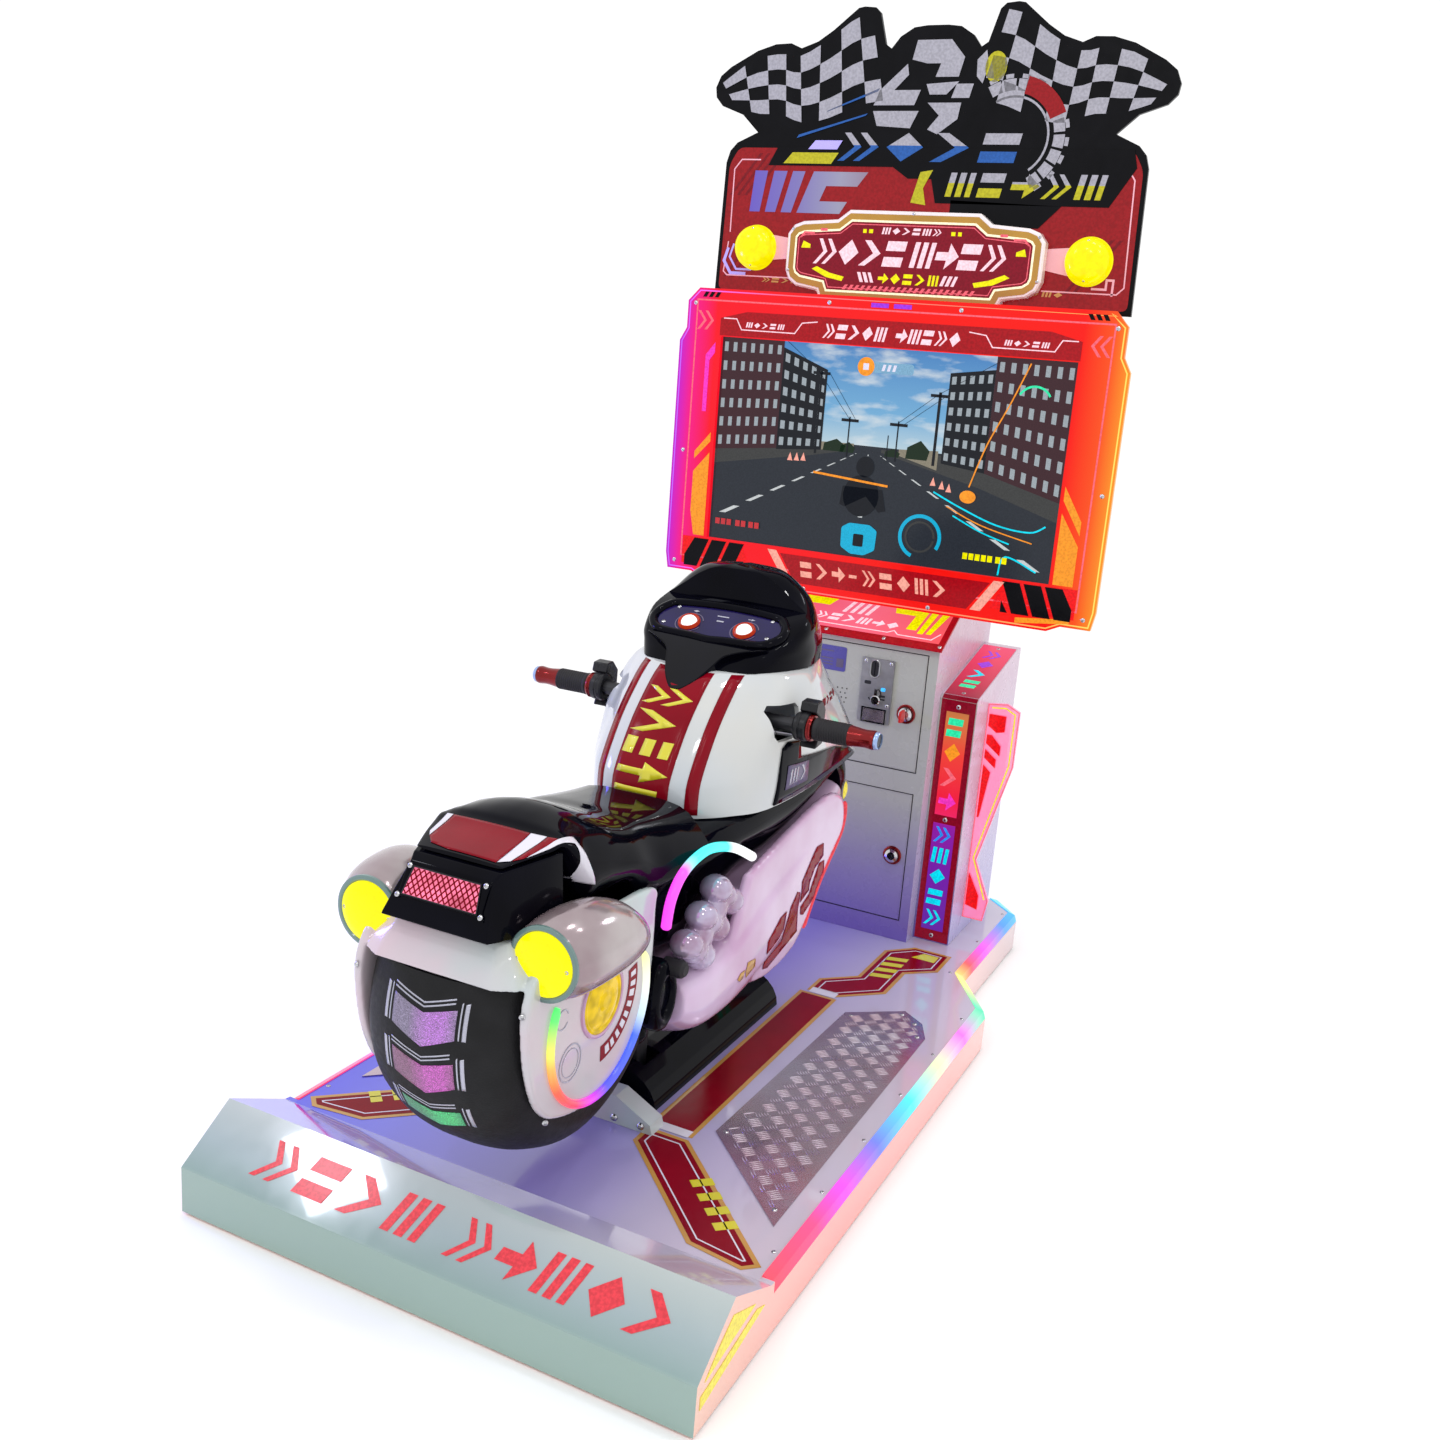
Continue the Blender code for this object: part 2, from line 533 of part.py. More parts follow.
def foot_pod(bike, side):
    """Oval foot-rest pod between the wheel and the belly fairing."""
    rings = []
    for x, scale in ((0.030, 0.95), (0.120, 1.0), (0.134, 0.90), (0.138, 0.66)):
        ring = []
        for i in range(18):
            angle = math.tau * i / 18
            ring.append((side * x, 0.3675 + 0.0325 * scale * math.cos(angle), 0.331 + 0.054 * scale * math.sin(angle)))
        rings.append(ring)
    pod = add(side_name("foot_pod", side), skin(rings), "gloss_black", bike, 40)
    dish = turned([(0.132, 0.017), (0.150, 0.019)], (0, 0.3675, 0.331), (1, 0, 0), 18)
    if side < 0:
        dish = turned([(0.132, 0.017), (0.150, 0.019)], (0, 0.3675, 0.331), (-1, 0, 0), 18)
    combine(pod, cutter(dish, bike))


def front_nose(bike):
    """Black lamp cluster under the front of the tank fairing."""
    sections = [(0.9865, round_half(0.126, 0.392, 0.5380)), (1.030, round_half(0.118, 0.408, 0.5378)),
                (1.066, round_half(0.096, 0.440, 0.5365))]
    add("front_nose", loft_y(sections), "gloss_black", bike, 50)


# ---- handlebar ----
def handlebar(bike):
    centre = (0, BAR_Y, BAR_Z)
    rake = Vector((0, -0.34, 0.94)).normalized()
    steering = pivot("steering_axis", centre, bike)
    bar = turned([(-0.298, BAR_RADIUS), (0.298, BAR_RADIUS)], centre, (1, 0, 0), 20)
    bar = add("handlebar", bar, "dark_steel", steering, 40)
    stem = turned([(-0.118, 0.014), (0.016, 0.014)], centre, rake, 20)
    combine(bar, cutter(stem, steering), "UNION")
    bore = BAR_RADIUS + GAP
    for side in (1, -1):
        direction = (side, 0, 0)
        collar = [(0.166, bore), (0.166, 0.0190), (0.170, 0.0215), (0.188, 0.0215), (0.190, 0.0195),
                  (GRIP_INNER - GAP, 0.0195), (GRIP_INNER - GAP, bore)]
        add(side_name("switch_collar", side), turned(collar, centre, direction, 24, True), "gloss_black",
            steering, 40)
        body = steering
        name = "grip_left"
        if side > 0:
            body = pivot("throttle_axis", centre, steering)
            name = "throttle_grip"
        grip = [(GRIP_INNER, bore), (GRIP_INNER, 0.0175), (0.203, GRIP_RADIUS), (0.250, GRIP_RADIUS),
                (0.254, 0.0155), (0.285, 0.0135), (0.294, 0.0150), (GRIP_OUTER, 0.0140), (GRIP_OUTER, bore)]
        add(name, turned(grip, centre, direction, 24, True), "rubber", body, 40)


# ---- cabinet ----
def panel(low, high, y_front, thickness=SHEET):
    """Upright sheet between two corners given in X and Z."""
    return box((low[0], y_front, low[1]), (high[0], y_front + thickness, high[1]))


def cabinet_profile(inset):
    return [(CAB_FRONT + inset, DECK_TOP + GAP + inset), (CAB_FRONT + inset, CAB_TOP_FRONT - inset * 0.6),
            (CAB_SHOULDER + inset * 0.3, CAB_TOP - inset), (CAB_BACK - inset, CAB_TOP - inset),
            (CAB_BACK - inset, DECK_TOP + GAP + inset)]


def cabinet(machine):
    shell = add("cabinet_shell", prism(cabinet_profile(0.0), "X", -CAB_HALF, CAB_HALF), "cabinet_white", machine)
    inside = CAB_HALF - SHEET
    combine(shell, cutter(prism(cabinet_profile(SHEET), "X", -inside, inside), machine))
    for low, high in (COIN_DOOR, CASH_DOOR):
        combine(shell, cutter(panel((-DOOR_HALF, low), (DOOR_HALF, high), CAB_FRONT - 0.01, 0.02), machine))
    rear_opening = panel((-REAR_DOOR_HALF, REAR_DOOR[0]), (REAR_DOOR_HALF, REAR_DOOR[1]), CAB_BACK - 0.01, 0.02)
    combine(shell, cutter(rear_opening, machine))
    rear_axis = pivot("rear_door_axis", (0.0005 - REAR_DOOR_HALF, CAB_BACK + 0.0005, 0.4), machine)
    width = REAR_DOOR_HALF - DOOR_GAP
    add("rear_service_door", panel((-width, REAR_DOOR[0] + DOOR_GAP), (width, REAR_DOOR[1] - DOOR_GAP),
                                   CAB_BACK - SHEET), "cabinet_white", rear_axis)


def front_door(machine, name, heights, lock_point, key):
    """Door hung on its left edge, with a cam lock near its right edge."""
    axis = pivot(name + "_axis", (0.0005 - DOOR_HALF, CAB_FRONT - 0.0005, sum(heights) / 2), machine)
    width = DOOR_HALF - DOOR_GAP
    door = add(name, panel((-width, heights[0] + DOOR_GAP), (width, heights[1] - DOOR_GAP), CAB_FRONT),
               "cabinet_white", axis)
    centre = (lock_point[0], CAB_FRONT, lock_point[1])
    hole = turned([(-0.01, LOCK_RADIUS + GAP), (0.01, LOCK_RADIUS + GAP)], centre, (0, 1, 0), 20)
    combine(door, cutter(hole, axis))
    lock_axis = pivot(name + "_lock_axis", centre, axis)
    barrel = [(-0.009, 0.0080), (-0.007, 0.0135), (-0.0005, 0.0135), (-0.0005, LOCK_RADIUS),
              (0.0060, LOCK_RADIUS)]
    lock = add(name + "_lock", turned(barrel, centre, (0, 1, 0), 20), "steel", lock_axis, 40)
    x, y, z = centre
    cam = box((x - 0.008, y + 0.0040, z - 0.038), (x + 0.008, y + 0.0065, z + 0.008))
    combine(lock, cutter(cam, lock_axis), "UNION")
    if key:
        blade = box((x - 0.0012, y - 0.030, z - 0.011), (x + 0.0012, y - 0.008, z + 0.011))
        combine(lock, cutter(blade, lock_axis), "UNION")
    return axis, door


def coin_fittings(machine):
    axis, door = front_door(machine, "coin_door", COIN_DOOR, (0.119, 0.547), True)
    front_door(machine, "cash_door", CASH_DOOR, (0.123, 0.258), False)
    face = CAB_FRONT - GAP
    plate = add("coin_entry_plate", box((0.021, face - 0.004, 0.520), (0.087, face, 0.646)), "silver", axis)
    combine(plate, cutter(box((0.0465, face - 0.02, 0.612), (0.0495, face + 0.01, 0.640)), axis))
    combine(plate, cutter(box((0.036, face - 0.02, 0.5245), (0.072, face + 0.01, 0.5410)), axis))
    hinge_z = 0.5455
    flap_axis = pivot("return_flap_axis", (0.054, face - 0.006, hinge_z), axis)
    add("return_flap", box((0.033, face - 0.0070, 0.522), (0.075, face - 0.0045, hinge_z)), "matte_black", flap_axis)
    knob = (0.056, face - 0.004, 0.565)
    lever_axis = pivot("reject_lever_axis", knob, axis)
    lever = turned([(GAP, 0.010), (0.005, 0.010), (0.007, 0.008)], knob, (0, -1, 0), 20)
    lever = add("reject_lever", lever, "silver", lever_axis, 40)
    arm = box((knob[0] - 0.003, knob[1] - 0.0055, knob[2] + 0.004), (knob[0] + 0.003, knob[1] - 0.001, knob[2] + 0.022))
    combine(lever, cutter(arm, lever_axis), "UNION")
    cone = [(0.0005, 0.034), (0.004, 0.034), (0.022, 0.018), (0.034, 0.018)]
    add("loudspeaker", turned(cone, (-0.028, CAB_FRONT + SHEET, 0.553), (0, 1, 0), 20), "matte_black", axis, 40)


def cabinet_contents(machine):
    floor = DECK_TOP + GAP + SHEET + GAP
    coin_box = add("coin_box", box((-0.060, 1.350, floor), (0.060, 1.490, 0.205)), "steel", machine)
    combine(coin_box, cutter(box((-0.058, 1.352, floor + 0.002), (0.058, 1.488, 0.25)), machine))


def shelf_panel(machine):
    """Lit acrylic panel on the sloped top of the cabinet's front."""
    along = Vector((CAB_SHOULDER - CAB_FRONT, CAB_TOP - CAB_TOP_FRONT)).normalized()
    normal = Vector((-along.y, along.x))
    low = Vector((CAB_FRONT, CAB_TOP_FRONT)) - along * 0.016
    high = Vector((CAB_SHOULDER, CAB_TOP)) - along * 0.002
    rim = [low + normal * GAP, high + normal * GAP, high + normal * 0.0044, low + normal * 0.0044]
    add("shelf_light_panel", prism([tuple(point) for point in rim], "X", -0.180, 0.180), "panel_red", machine)


def light_box(machine, side):
    """Narrow lit box beside the cabinet, open towards it."""
    def profile(inset):
        low = DECK_TOP + GAP + inset
        return [(1.363 + inset, low), (1.363 + inset, 0.583 - inset), (1.372 + inset, 0.590 - inset),
                (1.615, 0.652 - inset), (1.640 - inset, 0.652 - inset), (1.640 - inset, low)]
    near, far = sorted((side * (CAB_HALF + GAP), side * 0.247))
    shell = add(side_name("light_box", side), prism(profile(0.0), "X", near, far), "crimson", machine)
    near, far = sorted((side * (CAB_HALF - 0.01), side * 0.244))
    combine(shell, cutter(prism(profile(0.003), "X", near, far), machine))


def fin(machine, side):
    """Acrylic fin pinched at a third of its height."""
    root = 0.247 + GAP
    right = [(root, 0.120), (0.290, 0.120), (0.297, 0.165), (0.262, 0.245), (0.312, 0.450), (0.312, 0.562),
             (0.285, 0.575), (root, 0.570)]
    add(side_name("acrylic_fin", side), prism(flipped(right, side), "Y", 1.440, 1.446), "panel_red", machine)


# ---- display ----
def monitor(machine):
    frame_front = MARQUEE_Y + 0.0085
    frame = add("monitor_frame", box((-0.165, frame_front, CAB_TOP + GAP), (0.165, frame_front + 0.025, 1.600)),
                "dark_steel", machine)
    for low, high in ((0.770, 0.960), (0.990, 1.260), (1.290, 1.570)):
        combine(frame, cutter(box((-0.135, 1.40, low), (0.135, 1.50, high)), machine))
    wide = SCREEN_HALF + 0.014
    glass_back = SCREEN_Y + 0.030
    add("screen", box((-wide, SCREEN_Y + GAP, SCREEN_LOW - 0.015), (wide, glass_back, SCREEN_HIGH + 0.015)),
        "screen", machine)
    add("monitor_chassis", box((-0.340, glass_back + GAP, 0.850), (0.340, frame_front - GAP, 1.210)),
        "matte_black", machine)
    rim = mirrored([(0.0, 0.745), (0.360, 0.745), (0.385, 0.757), (0.440, 0.757), (0.446, 0.790), (0.446, 1.215),
                    (0.432, 1.240), (0.432, 1.292), (0.408, 1.317), (0.0, 1.317)])
    surround = add("screen_surround", prism(rim, "Y", SCREEN_Y - 0.010, SCREEN_Y), "panel_red", machine)
    window = box((-SCREEN_HALF, SCREEN_Y - 0.02, SCREEN_LOW), (SCREEN_HALF, SCREEN_Y + 0.02, SCREEN_HIGH))
    combine(surround, cutter(window, machine))


def marquee(machine):
    right = [(0.0, 1.312), (0.417, 1.312), (0.411, 1.560), (0.404, 1.582), (0.390, 1.597), (0.347, 1.616),
             (0.382, 1.648), (0.428, 1.664), (0.443, 1.680), (0.4455, 1.698), (0.436, 1.719), (0.415, 1.735),
             (0.360, 1.763), (0.322, 1.774), (0.290, 1.775), (0.268, 1.766), (0.235, 1.777), (0.205, 1.796),
             (0.158, 1.833), (0.146, 1.835), (0.124, 1.833), (0.114, 1.824), (0.098, 1.770), (0.086, 1.762),
             (0.070, 1.782), (0.045, 1.797), (0.020, 1.800), (0.0, 1.800)]
    add("marquee_board", prism(mirrored(right), "Y", MARQUEE_Y, MARQUEE_Y + 0.008), "crimson", machine)
    badge = mirrored([(0.0, 1.308), (0.176, 1.308), (0.184, 1.326), (0.228, 1.333), (0.246, 1.345), (0.2535, 1.362),
                      (0.2535, 1.430), (0.241, 1.446), (0.222, 1.453), (0.152, 1.458), (0.128, 1.476), (0.0, 1.476)])
    sign = add("badge_sign", prism(badge, "Y", 1.405, MARQUEE_Y - GAP), "gloss_white", machine)
    bevel(sign, 0.003)
    dome = [(GAP, 0.043), (0.012, 0.043), (0.022, 0.038), (0.030, 0.024), (0.032, 0.008)]
    for side in (1, -1):
        add(side_name("strobe_lamp", side), turned(dome, (side * 0.330, MARQUEE_Y, 1.402), (0, -1, 0), 20),
            "lamp_yellow", machine, 50)


def main():
    clear_scene()
    machine = pivot("machine", (0, 0, 0))
    bike = pivot("lean_axis", (0, 0.69, LEAN_Z), machine)
    platform(machine)
    pedestal(machine)
    lean_frame(bike)
    body = seat_body(bike)
    tail(bike)
    cowl = wheel(bike)
    housing = bpy.data.objects["tail_housing"]
    tyre = bpy.data.objects["tyre_shell"]
    turn_pods(bike, [body, cowl, housing, tyre])
    fairing(bike)
    hood(bike)
    dash(bike)
    belly(bike)
    front_nose(bike)
    for side in (1, -1):
        start_button(bike, side)
        engine_bulbs(bike, side)
        foot_pod(bike, side)
        light_box(machine, side)
        fin(machine, side)
    handlebar(bike)
    cabinet(machine)
    coin_fittings(machine)
    cabinet_contents(machine)
    shelf_panel(machine)
    monitor(machine)
    marquee(machine)


main()
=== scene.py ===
import json
import math

import bmesh
import bpy
from mathutils import Matrix, Vector
from mathutils.bvhtree import BVHTree

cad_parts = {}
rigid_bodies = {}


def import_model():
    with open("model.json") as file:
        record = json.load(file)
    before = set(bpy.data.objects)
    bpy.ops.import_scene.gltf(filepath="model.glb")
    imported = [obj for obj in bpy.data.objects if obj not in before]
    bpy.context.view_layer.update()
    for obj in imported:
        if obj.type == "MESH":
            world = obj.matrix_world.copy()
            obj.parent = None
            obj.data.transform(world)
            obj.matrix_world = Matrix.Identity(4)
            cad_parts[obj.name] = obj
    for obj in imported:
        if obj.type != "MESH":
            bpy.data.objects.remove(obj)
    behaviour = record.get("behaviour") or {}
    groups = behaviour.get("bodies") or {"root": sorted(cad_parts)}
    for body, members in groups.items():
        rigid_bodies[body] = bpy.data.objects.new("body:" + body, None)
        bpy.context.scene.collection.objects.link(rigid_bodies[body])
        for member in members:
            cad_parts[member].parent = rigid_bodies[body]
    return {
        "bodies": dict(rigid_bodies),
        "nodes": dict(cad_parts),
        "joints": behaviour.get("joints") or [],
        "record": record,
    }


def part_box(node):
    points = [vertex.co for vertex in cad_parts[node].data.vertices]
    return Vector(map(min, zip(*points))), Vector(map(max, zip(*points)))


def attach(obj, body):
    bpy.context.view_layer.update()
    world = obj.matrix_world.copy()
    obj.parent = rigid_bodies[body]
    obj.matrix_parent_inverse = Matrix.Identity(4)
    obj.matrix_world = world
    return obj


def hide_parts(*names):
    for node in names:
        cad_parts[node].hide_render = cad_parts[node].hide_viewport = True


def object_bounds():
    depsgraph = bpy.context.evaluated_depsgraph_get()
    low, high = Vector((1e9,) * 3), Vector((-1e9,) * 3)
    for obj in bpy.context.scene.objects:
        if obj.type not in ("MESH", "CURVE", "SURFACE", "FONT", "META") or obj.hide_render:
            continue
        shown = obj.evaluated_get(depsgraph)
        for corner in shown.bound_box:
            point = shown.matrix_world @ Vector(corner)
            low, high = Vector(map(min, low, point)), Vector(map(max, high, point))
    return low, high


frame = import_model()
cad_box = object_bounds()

REAR = cad_box[0][1]            # the platform's rear face; the design frame counts Y from it
LIFT = 0.0004                   # printed film stands this far above its panel
FILM = 0.0003
SEAM = {"lift": 0.0001, "thickness": 0.0003}      # drawn gaps and folds lie flat on the sheet metal
BIKE = "motorcycle"


# ---------- materials ----------
M = {}                          # every material by its name


def tree(name):
    """New material, kept in M, with its nodes, links and shader."""
    made = bpy.data.materials.new(name)
    made.use_nodes = True
    M[name] = made
    nodes, links = made.node_tree.nodes, made.node_tree.links
    return made, nodes, links, nodes["Principled BSDF"]


def components(nodes, links, kind, output):
    """X, Y and Z sockets of a vector that an input node gives."""
    split = nodes.new("ShaderNodeSeparateXYZ")
    links.new(nodes.new(kind).outputs[output], split.inputs[0])
    return split.outputs


def position(nodes, links):
    return components(nodes, links, "ShaderNodeTexCoord", "Object")


def mixed(nodes, links, factor, first, second):
    """Mix of two colours, each a socket or a constant."""
    node = nodes.new("ShaderNodeMix")
    node.data_type = "RGBA"
    links.new(factor, node.inputs["Factor"])
    for socket, color in ((node.inputs[6], first), (node.inputs[7], second)):
        if isinstance(color, tuple):
            socket.default_value = (*color, 1)
        else:
            links.new(color, socket)
    return node.outputs[2]


def computed(nodes, links, operation, first, second):
    """Math node on a socket and a second socket or number."""
    node = nodes.new("ShaderNodeMath")
    node.operation = operation
    links.new(first, node.inputs[0])
    if isinstance(second, float):
        node.inputs[1].default_value = second
    else:
        links.new(second, node.inputs[1])
    return node.outputs[0]


def noise(nodes, links, scale, detail=3.0):
    place = nodes.new("ShaderNodeTexCoord")
    texture = nodes.new("ShaderNodeTexNoise")
    texture.inputs["Scale"].default_value = scale
    texture.inputs["Detail"].default_value = detail
    links.new(place.outputs["Object"], texture.inputs["Vector"])
    return texture.outputs["Fac"]


def ramp(nodes, links, source, stops):
    node = nodes.new("ShaderNodeValToRGB")
    elements = node.color_ramp.elements
    while len(elements) < len(stops):
        elements.new(0.5)
    for element, (place, color) in zip(elements, stops):
        element.position = place
        element.color = (*color, 1)
    links.new(source, node.inputs["Fac"])
    return node.outputs["Color"]


def spread(nodes, links, source, low, high, start=0.3, end=0.7):
    node = nodes.new("ShaderNodeMapRange")
    node.inputs["From Min"].default_value = start
    node.inputs["From Max"].default_value = end
    node.inputs["To Min"].default_value = low
    node.inputs["To Max"].default_value = high
    links.new(source, node.inputs["Value"])
    return node.outputs["Result"]


def bump(nodes, links, shader, source, depth):
    node = nodes.new("ShaderNodeBump")
    node.inputs["Strength"].default_value = 0.5
    node.inputs["Distance"].default_value = depth
    links.new(source, node.inputs["Height"])
    links.new(node.outputs["Normal"], shader.inputs["Normal"])
    return node


def shade(color, factor):
    return tuple(min(1, channel * factor) for channel in color)


def surface(name, color, roughness, metallic=0.0, coat=0.0, mottle=0.08, mottle_scale=14.0, grain=900.0,
        grain_depth=0.00005, rough_spread=0.06, second=None, specular=0.5):
    """Moulded, painted or metal surface: drifting colour, uneven gloss and a fine grain. Where second is
    given, the drift mixes in painted light: lit and shaded tones of the same surface in random blotches.
    """
    made, nodes, links, shader = tree(name)
    drift_and_painted_light = noise(nodes, links, mottle_scale)
    # second, where given, is a painted light colour, so the blotches carry painted reflection and painted
    # shade
    other = second or shade(color, 1 - mottle)
    links.new(ramp(nodes, links, drift_and_painted_light, [(0.3, other), (0.7, shade(color, 1 + mottle))]),
        shader.inputs["Base Color"])
    uneven = noise(nodes, links, mottle_scale * 4.0, 5)
    links.new(spread(nodes, links, uneven, max(0.02, roughness - rough_spread), roughness + rough_spread),
        shader.inputs["Roughness"])
    shader.inputs["Metallic"].default_value = metallic
    shader.inputs["Specular IOR Level"].default_value = specular
    if coat:
        shader.inputs["Coat Weight"].default_value = coat
        shader.inputs["Coat Roughness"].default_value = 0.04
    bump(nodes, links, shader, noise(nodes, links, grain, 2), grain_depth)
    return made


def glow(name, color, strength, base=None, cells=220.0, dim=0.75):
    """Lit acrylic: the emission is a little uneven, as the diodes behind it are."""
    made, nodes, links, shader = tree(name)
    dots = noise(nodes, links, cells, 1)
    links.new(ramp(nodes, links, dots, [(0.35, shade(color, dim)), (0.65, color)]),
        shader.inputs["Emission Color"])
    links.new(ramp(nodes, links, dots, [(0.3, shade(base or color, 0.4)), (0.7, shade(base or color, 0.5))]),
        shader.inputs["Base Color"])
    shader.inputs["Emission Strength"].default_value = strength
    shader.inputs["Roughness"].default_value = 0.15
    shader.inputs["Specular IOR Level"].default_value = 0.2
    return made


def glow_along(name, axis, low, high, stops, strength, base=(0.3, 0.3, 0.3)):
    """Lit strip whose colour runs along an axis of the machine."""
    made, nodes, links, shader = tree(name)
    axes = position(nodes, links)
    along = spread(nodes, links, axes[axis], 0, 1, low, high)
    color = ramp(nodes, links, along, stops)
    links.new(color, shader.inputs["Emission Color"])
    shader.inputs["Emission Strength"].default_value = strength
    shader.inputs["Base Color"].default_value = (*shade(base, 0.4), 1)
    shader.inputs["Specular IOR Level"].default_value = 0.2
    uneven = noise(nodes, links, 60)
    links.new(spread(nodes, links, uneven, 0.14, 0.26), shader.inputs["Roughness"])
    return made


CRIMSON = (0.21, 0.002, 0.01)
GOLD = (0.5, 0.26, 0.05)
surface("gloss_black", (0.0015, 0.0015, 0.004), 0.05, mottle=0.3, rough_spread=0.02, specular=0.07, grain=300,
    grain_depth=0.00002)
surface("satin_black", (0.01, 0.01, 0.013), 0.3, mottle=0.3, specular=0.3)
surface("rubber", (0.014, 0.013, 0.016), 0.6, mottle=0.25, grain=700, grain_depth=0.0002, specular=0.3)
# gloss_white, cowl_white and pearl: the second colour is painted light, as painted blue reflection on the
# tank, painted pink light on the cowl's side and painted pink shade on the belly
surface("gloss_white", (0.52, 0.52, 0.5), 0.07, coat=0.6, mottle=0.05, rough_spread=0.03,
    second=(0.48, 0.52, 0.57), mottle_scale=5, grain=260, grain_depth=0.00002)
surface("cowl_white", (0.42, 0.5, 0.5), 0.1, coat=0.6, mottle=0.05, rough_spread=0.03,
    second=(0.6, 0.45, 0.52), mottle_scale=6)
surface("pearl", (0.6, 0.46, 0.64), 0.12, coat=0.7, mottle=0.05, second=(0.46, 0.24, 0.42), mottle_scale=6)
# silver, engine_silver and steel: the second colour is painted light, as painted shade on the lamp pods and
# bulbs and painted pink reflection on the tread plate
surface("silver", (0.4, 0.36, 0.36), 0.16, metallic=0.5, coat=0.4, mottle=0.14, mottle_scale=9,
    second=(0.24, 0.15, 0.18))
surface("engine_silver", (0.42, 0.38, 0.52), 0.14, metallic=0.35, coat=0.8, mottle=0.2, mottle_scale=24,
    second=(0.3, 0.16, 0.26))
surface("steel", (0.5, 0.46, 0.52), 0.22, metallic=0.9, mottle=0.12, mottle_scale=7, grain=1400,
    second=(0.52, 0.36, 0.42))
surface("screw", (0.5, 0.5, 0.52), 0.22, metallic=1.0, mottle=0.12, mottle_scale=300)
surface("chrome", (0.55, 0.55, 0.57), 0.12, metallic=1.0, mottle=0.08)
surface("dark_steel", (0.03, 0.03, 0.035), 0.38, metallic=0.5, mottle=0.15)
surface("navy", (0.01, 0.006, 0.06), 0.09, mottle=0.3, rough_spread=0.03, specular=0.25)
surface("red_anodised", (0.2, 0.004, 0.005), 0.18, metallic=0.7, coat=0.2, mottle=0.12)
surface("blue_cap", (0.3, 0.42, 0.7), 0.14, metallic=0.5, coat=0.6)
surface("label_grey", (0.07, 0.06, 0.3), 0.3, mottle=0.06)
surface("hole", (0.002, 0.002, 0.003), 0.7, mottle=0.2, specular=0.2)
surface("decal_crimson", CRIMSON, 0.16, mottle=0.1, specular=0.12)
surface("decal_gold", GOLD, 0.2, coat=0.4, mottle=0.08)
surface("decal_yellow", (0.62, 0.56, 0.02), 0.2, coat=0.4, mottle=0.06)
surface("decal_white", (0.66, 0.64, 0.72), 0.2, coat=0.4, mottle=0.04)
surface("decal_black", (0.003, 0.003, 0.004), 0.2, mottle=0.2, specular=0.1)
surface("decal_lilac", (0.42, 0.36, 0.86), 0.2, coat=0.4, mottle=0.08)
surface("fob", (0.5, 0.01, 0.01), 0.35, mottle=0.1)
glow("lens_yellow", (1, 0.93, 0), 0.9, base=(0.5, 0.45, 0), dim=0.9)
glow("hub_yellow", (1, 0.66, 0), 0.65, base=(0.5, 0.36, 0.02), dim=0.6, cells=60)
surface("lens_ring", (0.12, 0.2, 0.19), 0.2, coat=0.4)
glow("button_white", (1, 1, 1), 1.2, base=(0.95, 0.95, 0.95))
glow("button_ring", (0.75, 0.06, 0.01), 0.45, base=(0.35, 0.02, 0.01))
glow("coral", (1, 0.07, 0.1), 0.65, base=(0.5, 0.04, 0.05))
glow("window_yellow", (1, 0.86, 0.05), 0.7, base=(0.5, 0.4, 0.05))
glow("mesh_pink", (1, 0.22, 0.4), 1.3, base=(0.4, 0.05, 0.05), cells=40, dim=0.45)
glow("led_blue", (0.05, 0.45, 1), 1.4, base=(0.05, 0.2, 0.4))


# ---------- mesh tools ----------
def mm(value):
    """Lengths written in millimetres, in lists and tuples of any depth, as metres."""
    if isinstance(value, (list, tuple)):
        return type(value)(mm(item) for item in value)
    return value if isinstance(value, str) else value / 1000


def design_box(node):
    """A node's corners in the design frame, whose Y starts at the platform's rear face."""
    low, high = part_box(node)
    return Vector(low) - Vector((0, REAR, 0)), Vector(high) - Vector((0, REAR, 0))


def finish_mesh(name, bm, materials, body, smooth=35, slot=None, replaces=()):
    """Object in the machine's frame from a bmesh in the design frame."""
    bmesh.ops.remove_doubles(bm, verts=bm.verts, dist=0.00002)
    bmesh.ops.recalc_face_normals(bm, faces=bm.faces)
    bmesh.ops.translate(bm, verts=bm.verts, vec=(0, REAR, 0))
    mesh = bpy.data.meshes.new(name)
    bm.to_mesh(mesh)
    bm.free()
    if smooth:
        mesh.shade_smooth()
        mesh.set_sharp_from_angle(angle=math.radians(smooth))
    piece = bpy.data.objects.new(name, mesh)
    bpy.context.scene.collection.objects.link(piece)
    for entry in materials if isinstance(materials, (list, tuple)) else [materials]:
        mesh.materials.append(M[entry] if isinstance(entry, str) else entry)
    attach(piece, body)
    if replaces:
        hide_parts(*replaces)
    return piece


def skin(rings, closed=False, into=None):
    bm = into or bmesh.new()
    loops = [[bm.verts.new(point) for point in ring] for ring in rings]
    count = len(loops[0])
    pairs = list(zip(loops, loops[1:]))
    if closed:
        pairs.append((loops[-1], loops[0]))
    for near, far in pairs:
        for i in range(count):
            j = (i + 1) % count
            bm.faces.new((near[i], near[j], far[j], far[i]))
    if not closed:
        bm.faces.new(list(reversed(loops[0])))
        bm.faces.new(loops[-1])
    return bm


def turned(stations, centre, axis, sides=48, tube=False, into=None):
    turn = Vector((0, 0, 1)).rotation_difference(Vector(axis)).to_matrix()
    rings = []
    for along, radius in stations:
        ring = []
        for i in range(sides):
            angle = math.tau * i / sides
            ring.append(Vector(centre) + turn @ Vector((radius * math.cos(angle), radius * math.sin(angle),
                along)))
        rings.append(ring)
    return skin(rings, closed=tube, into=into)


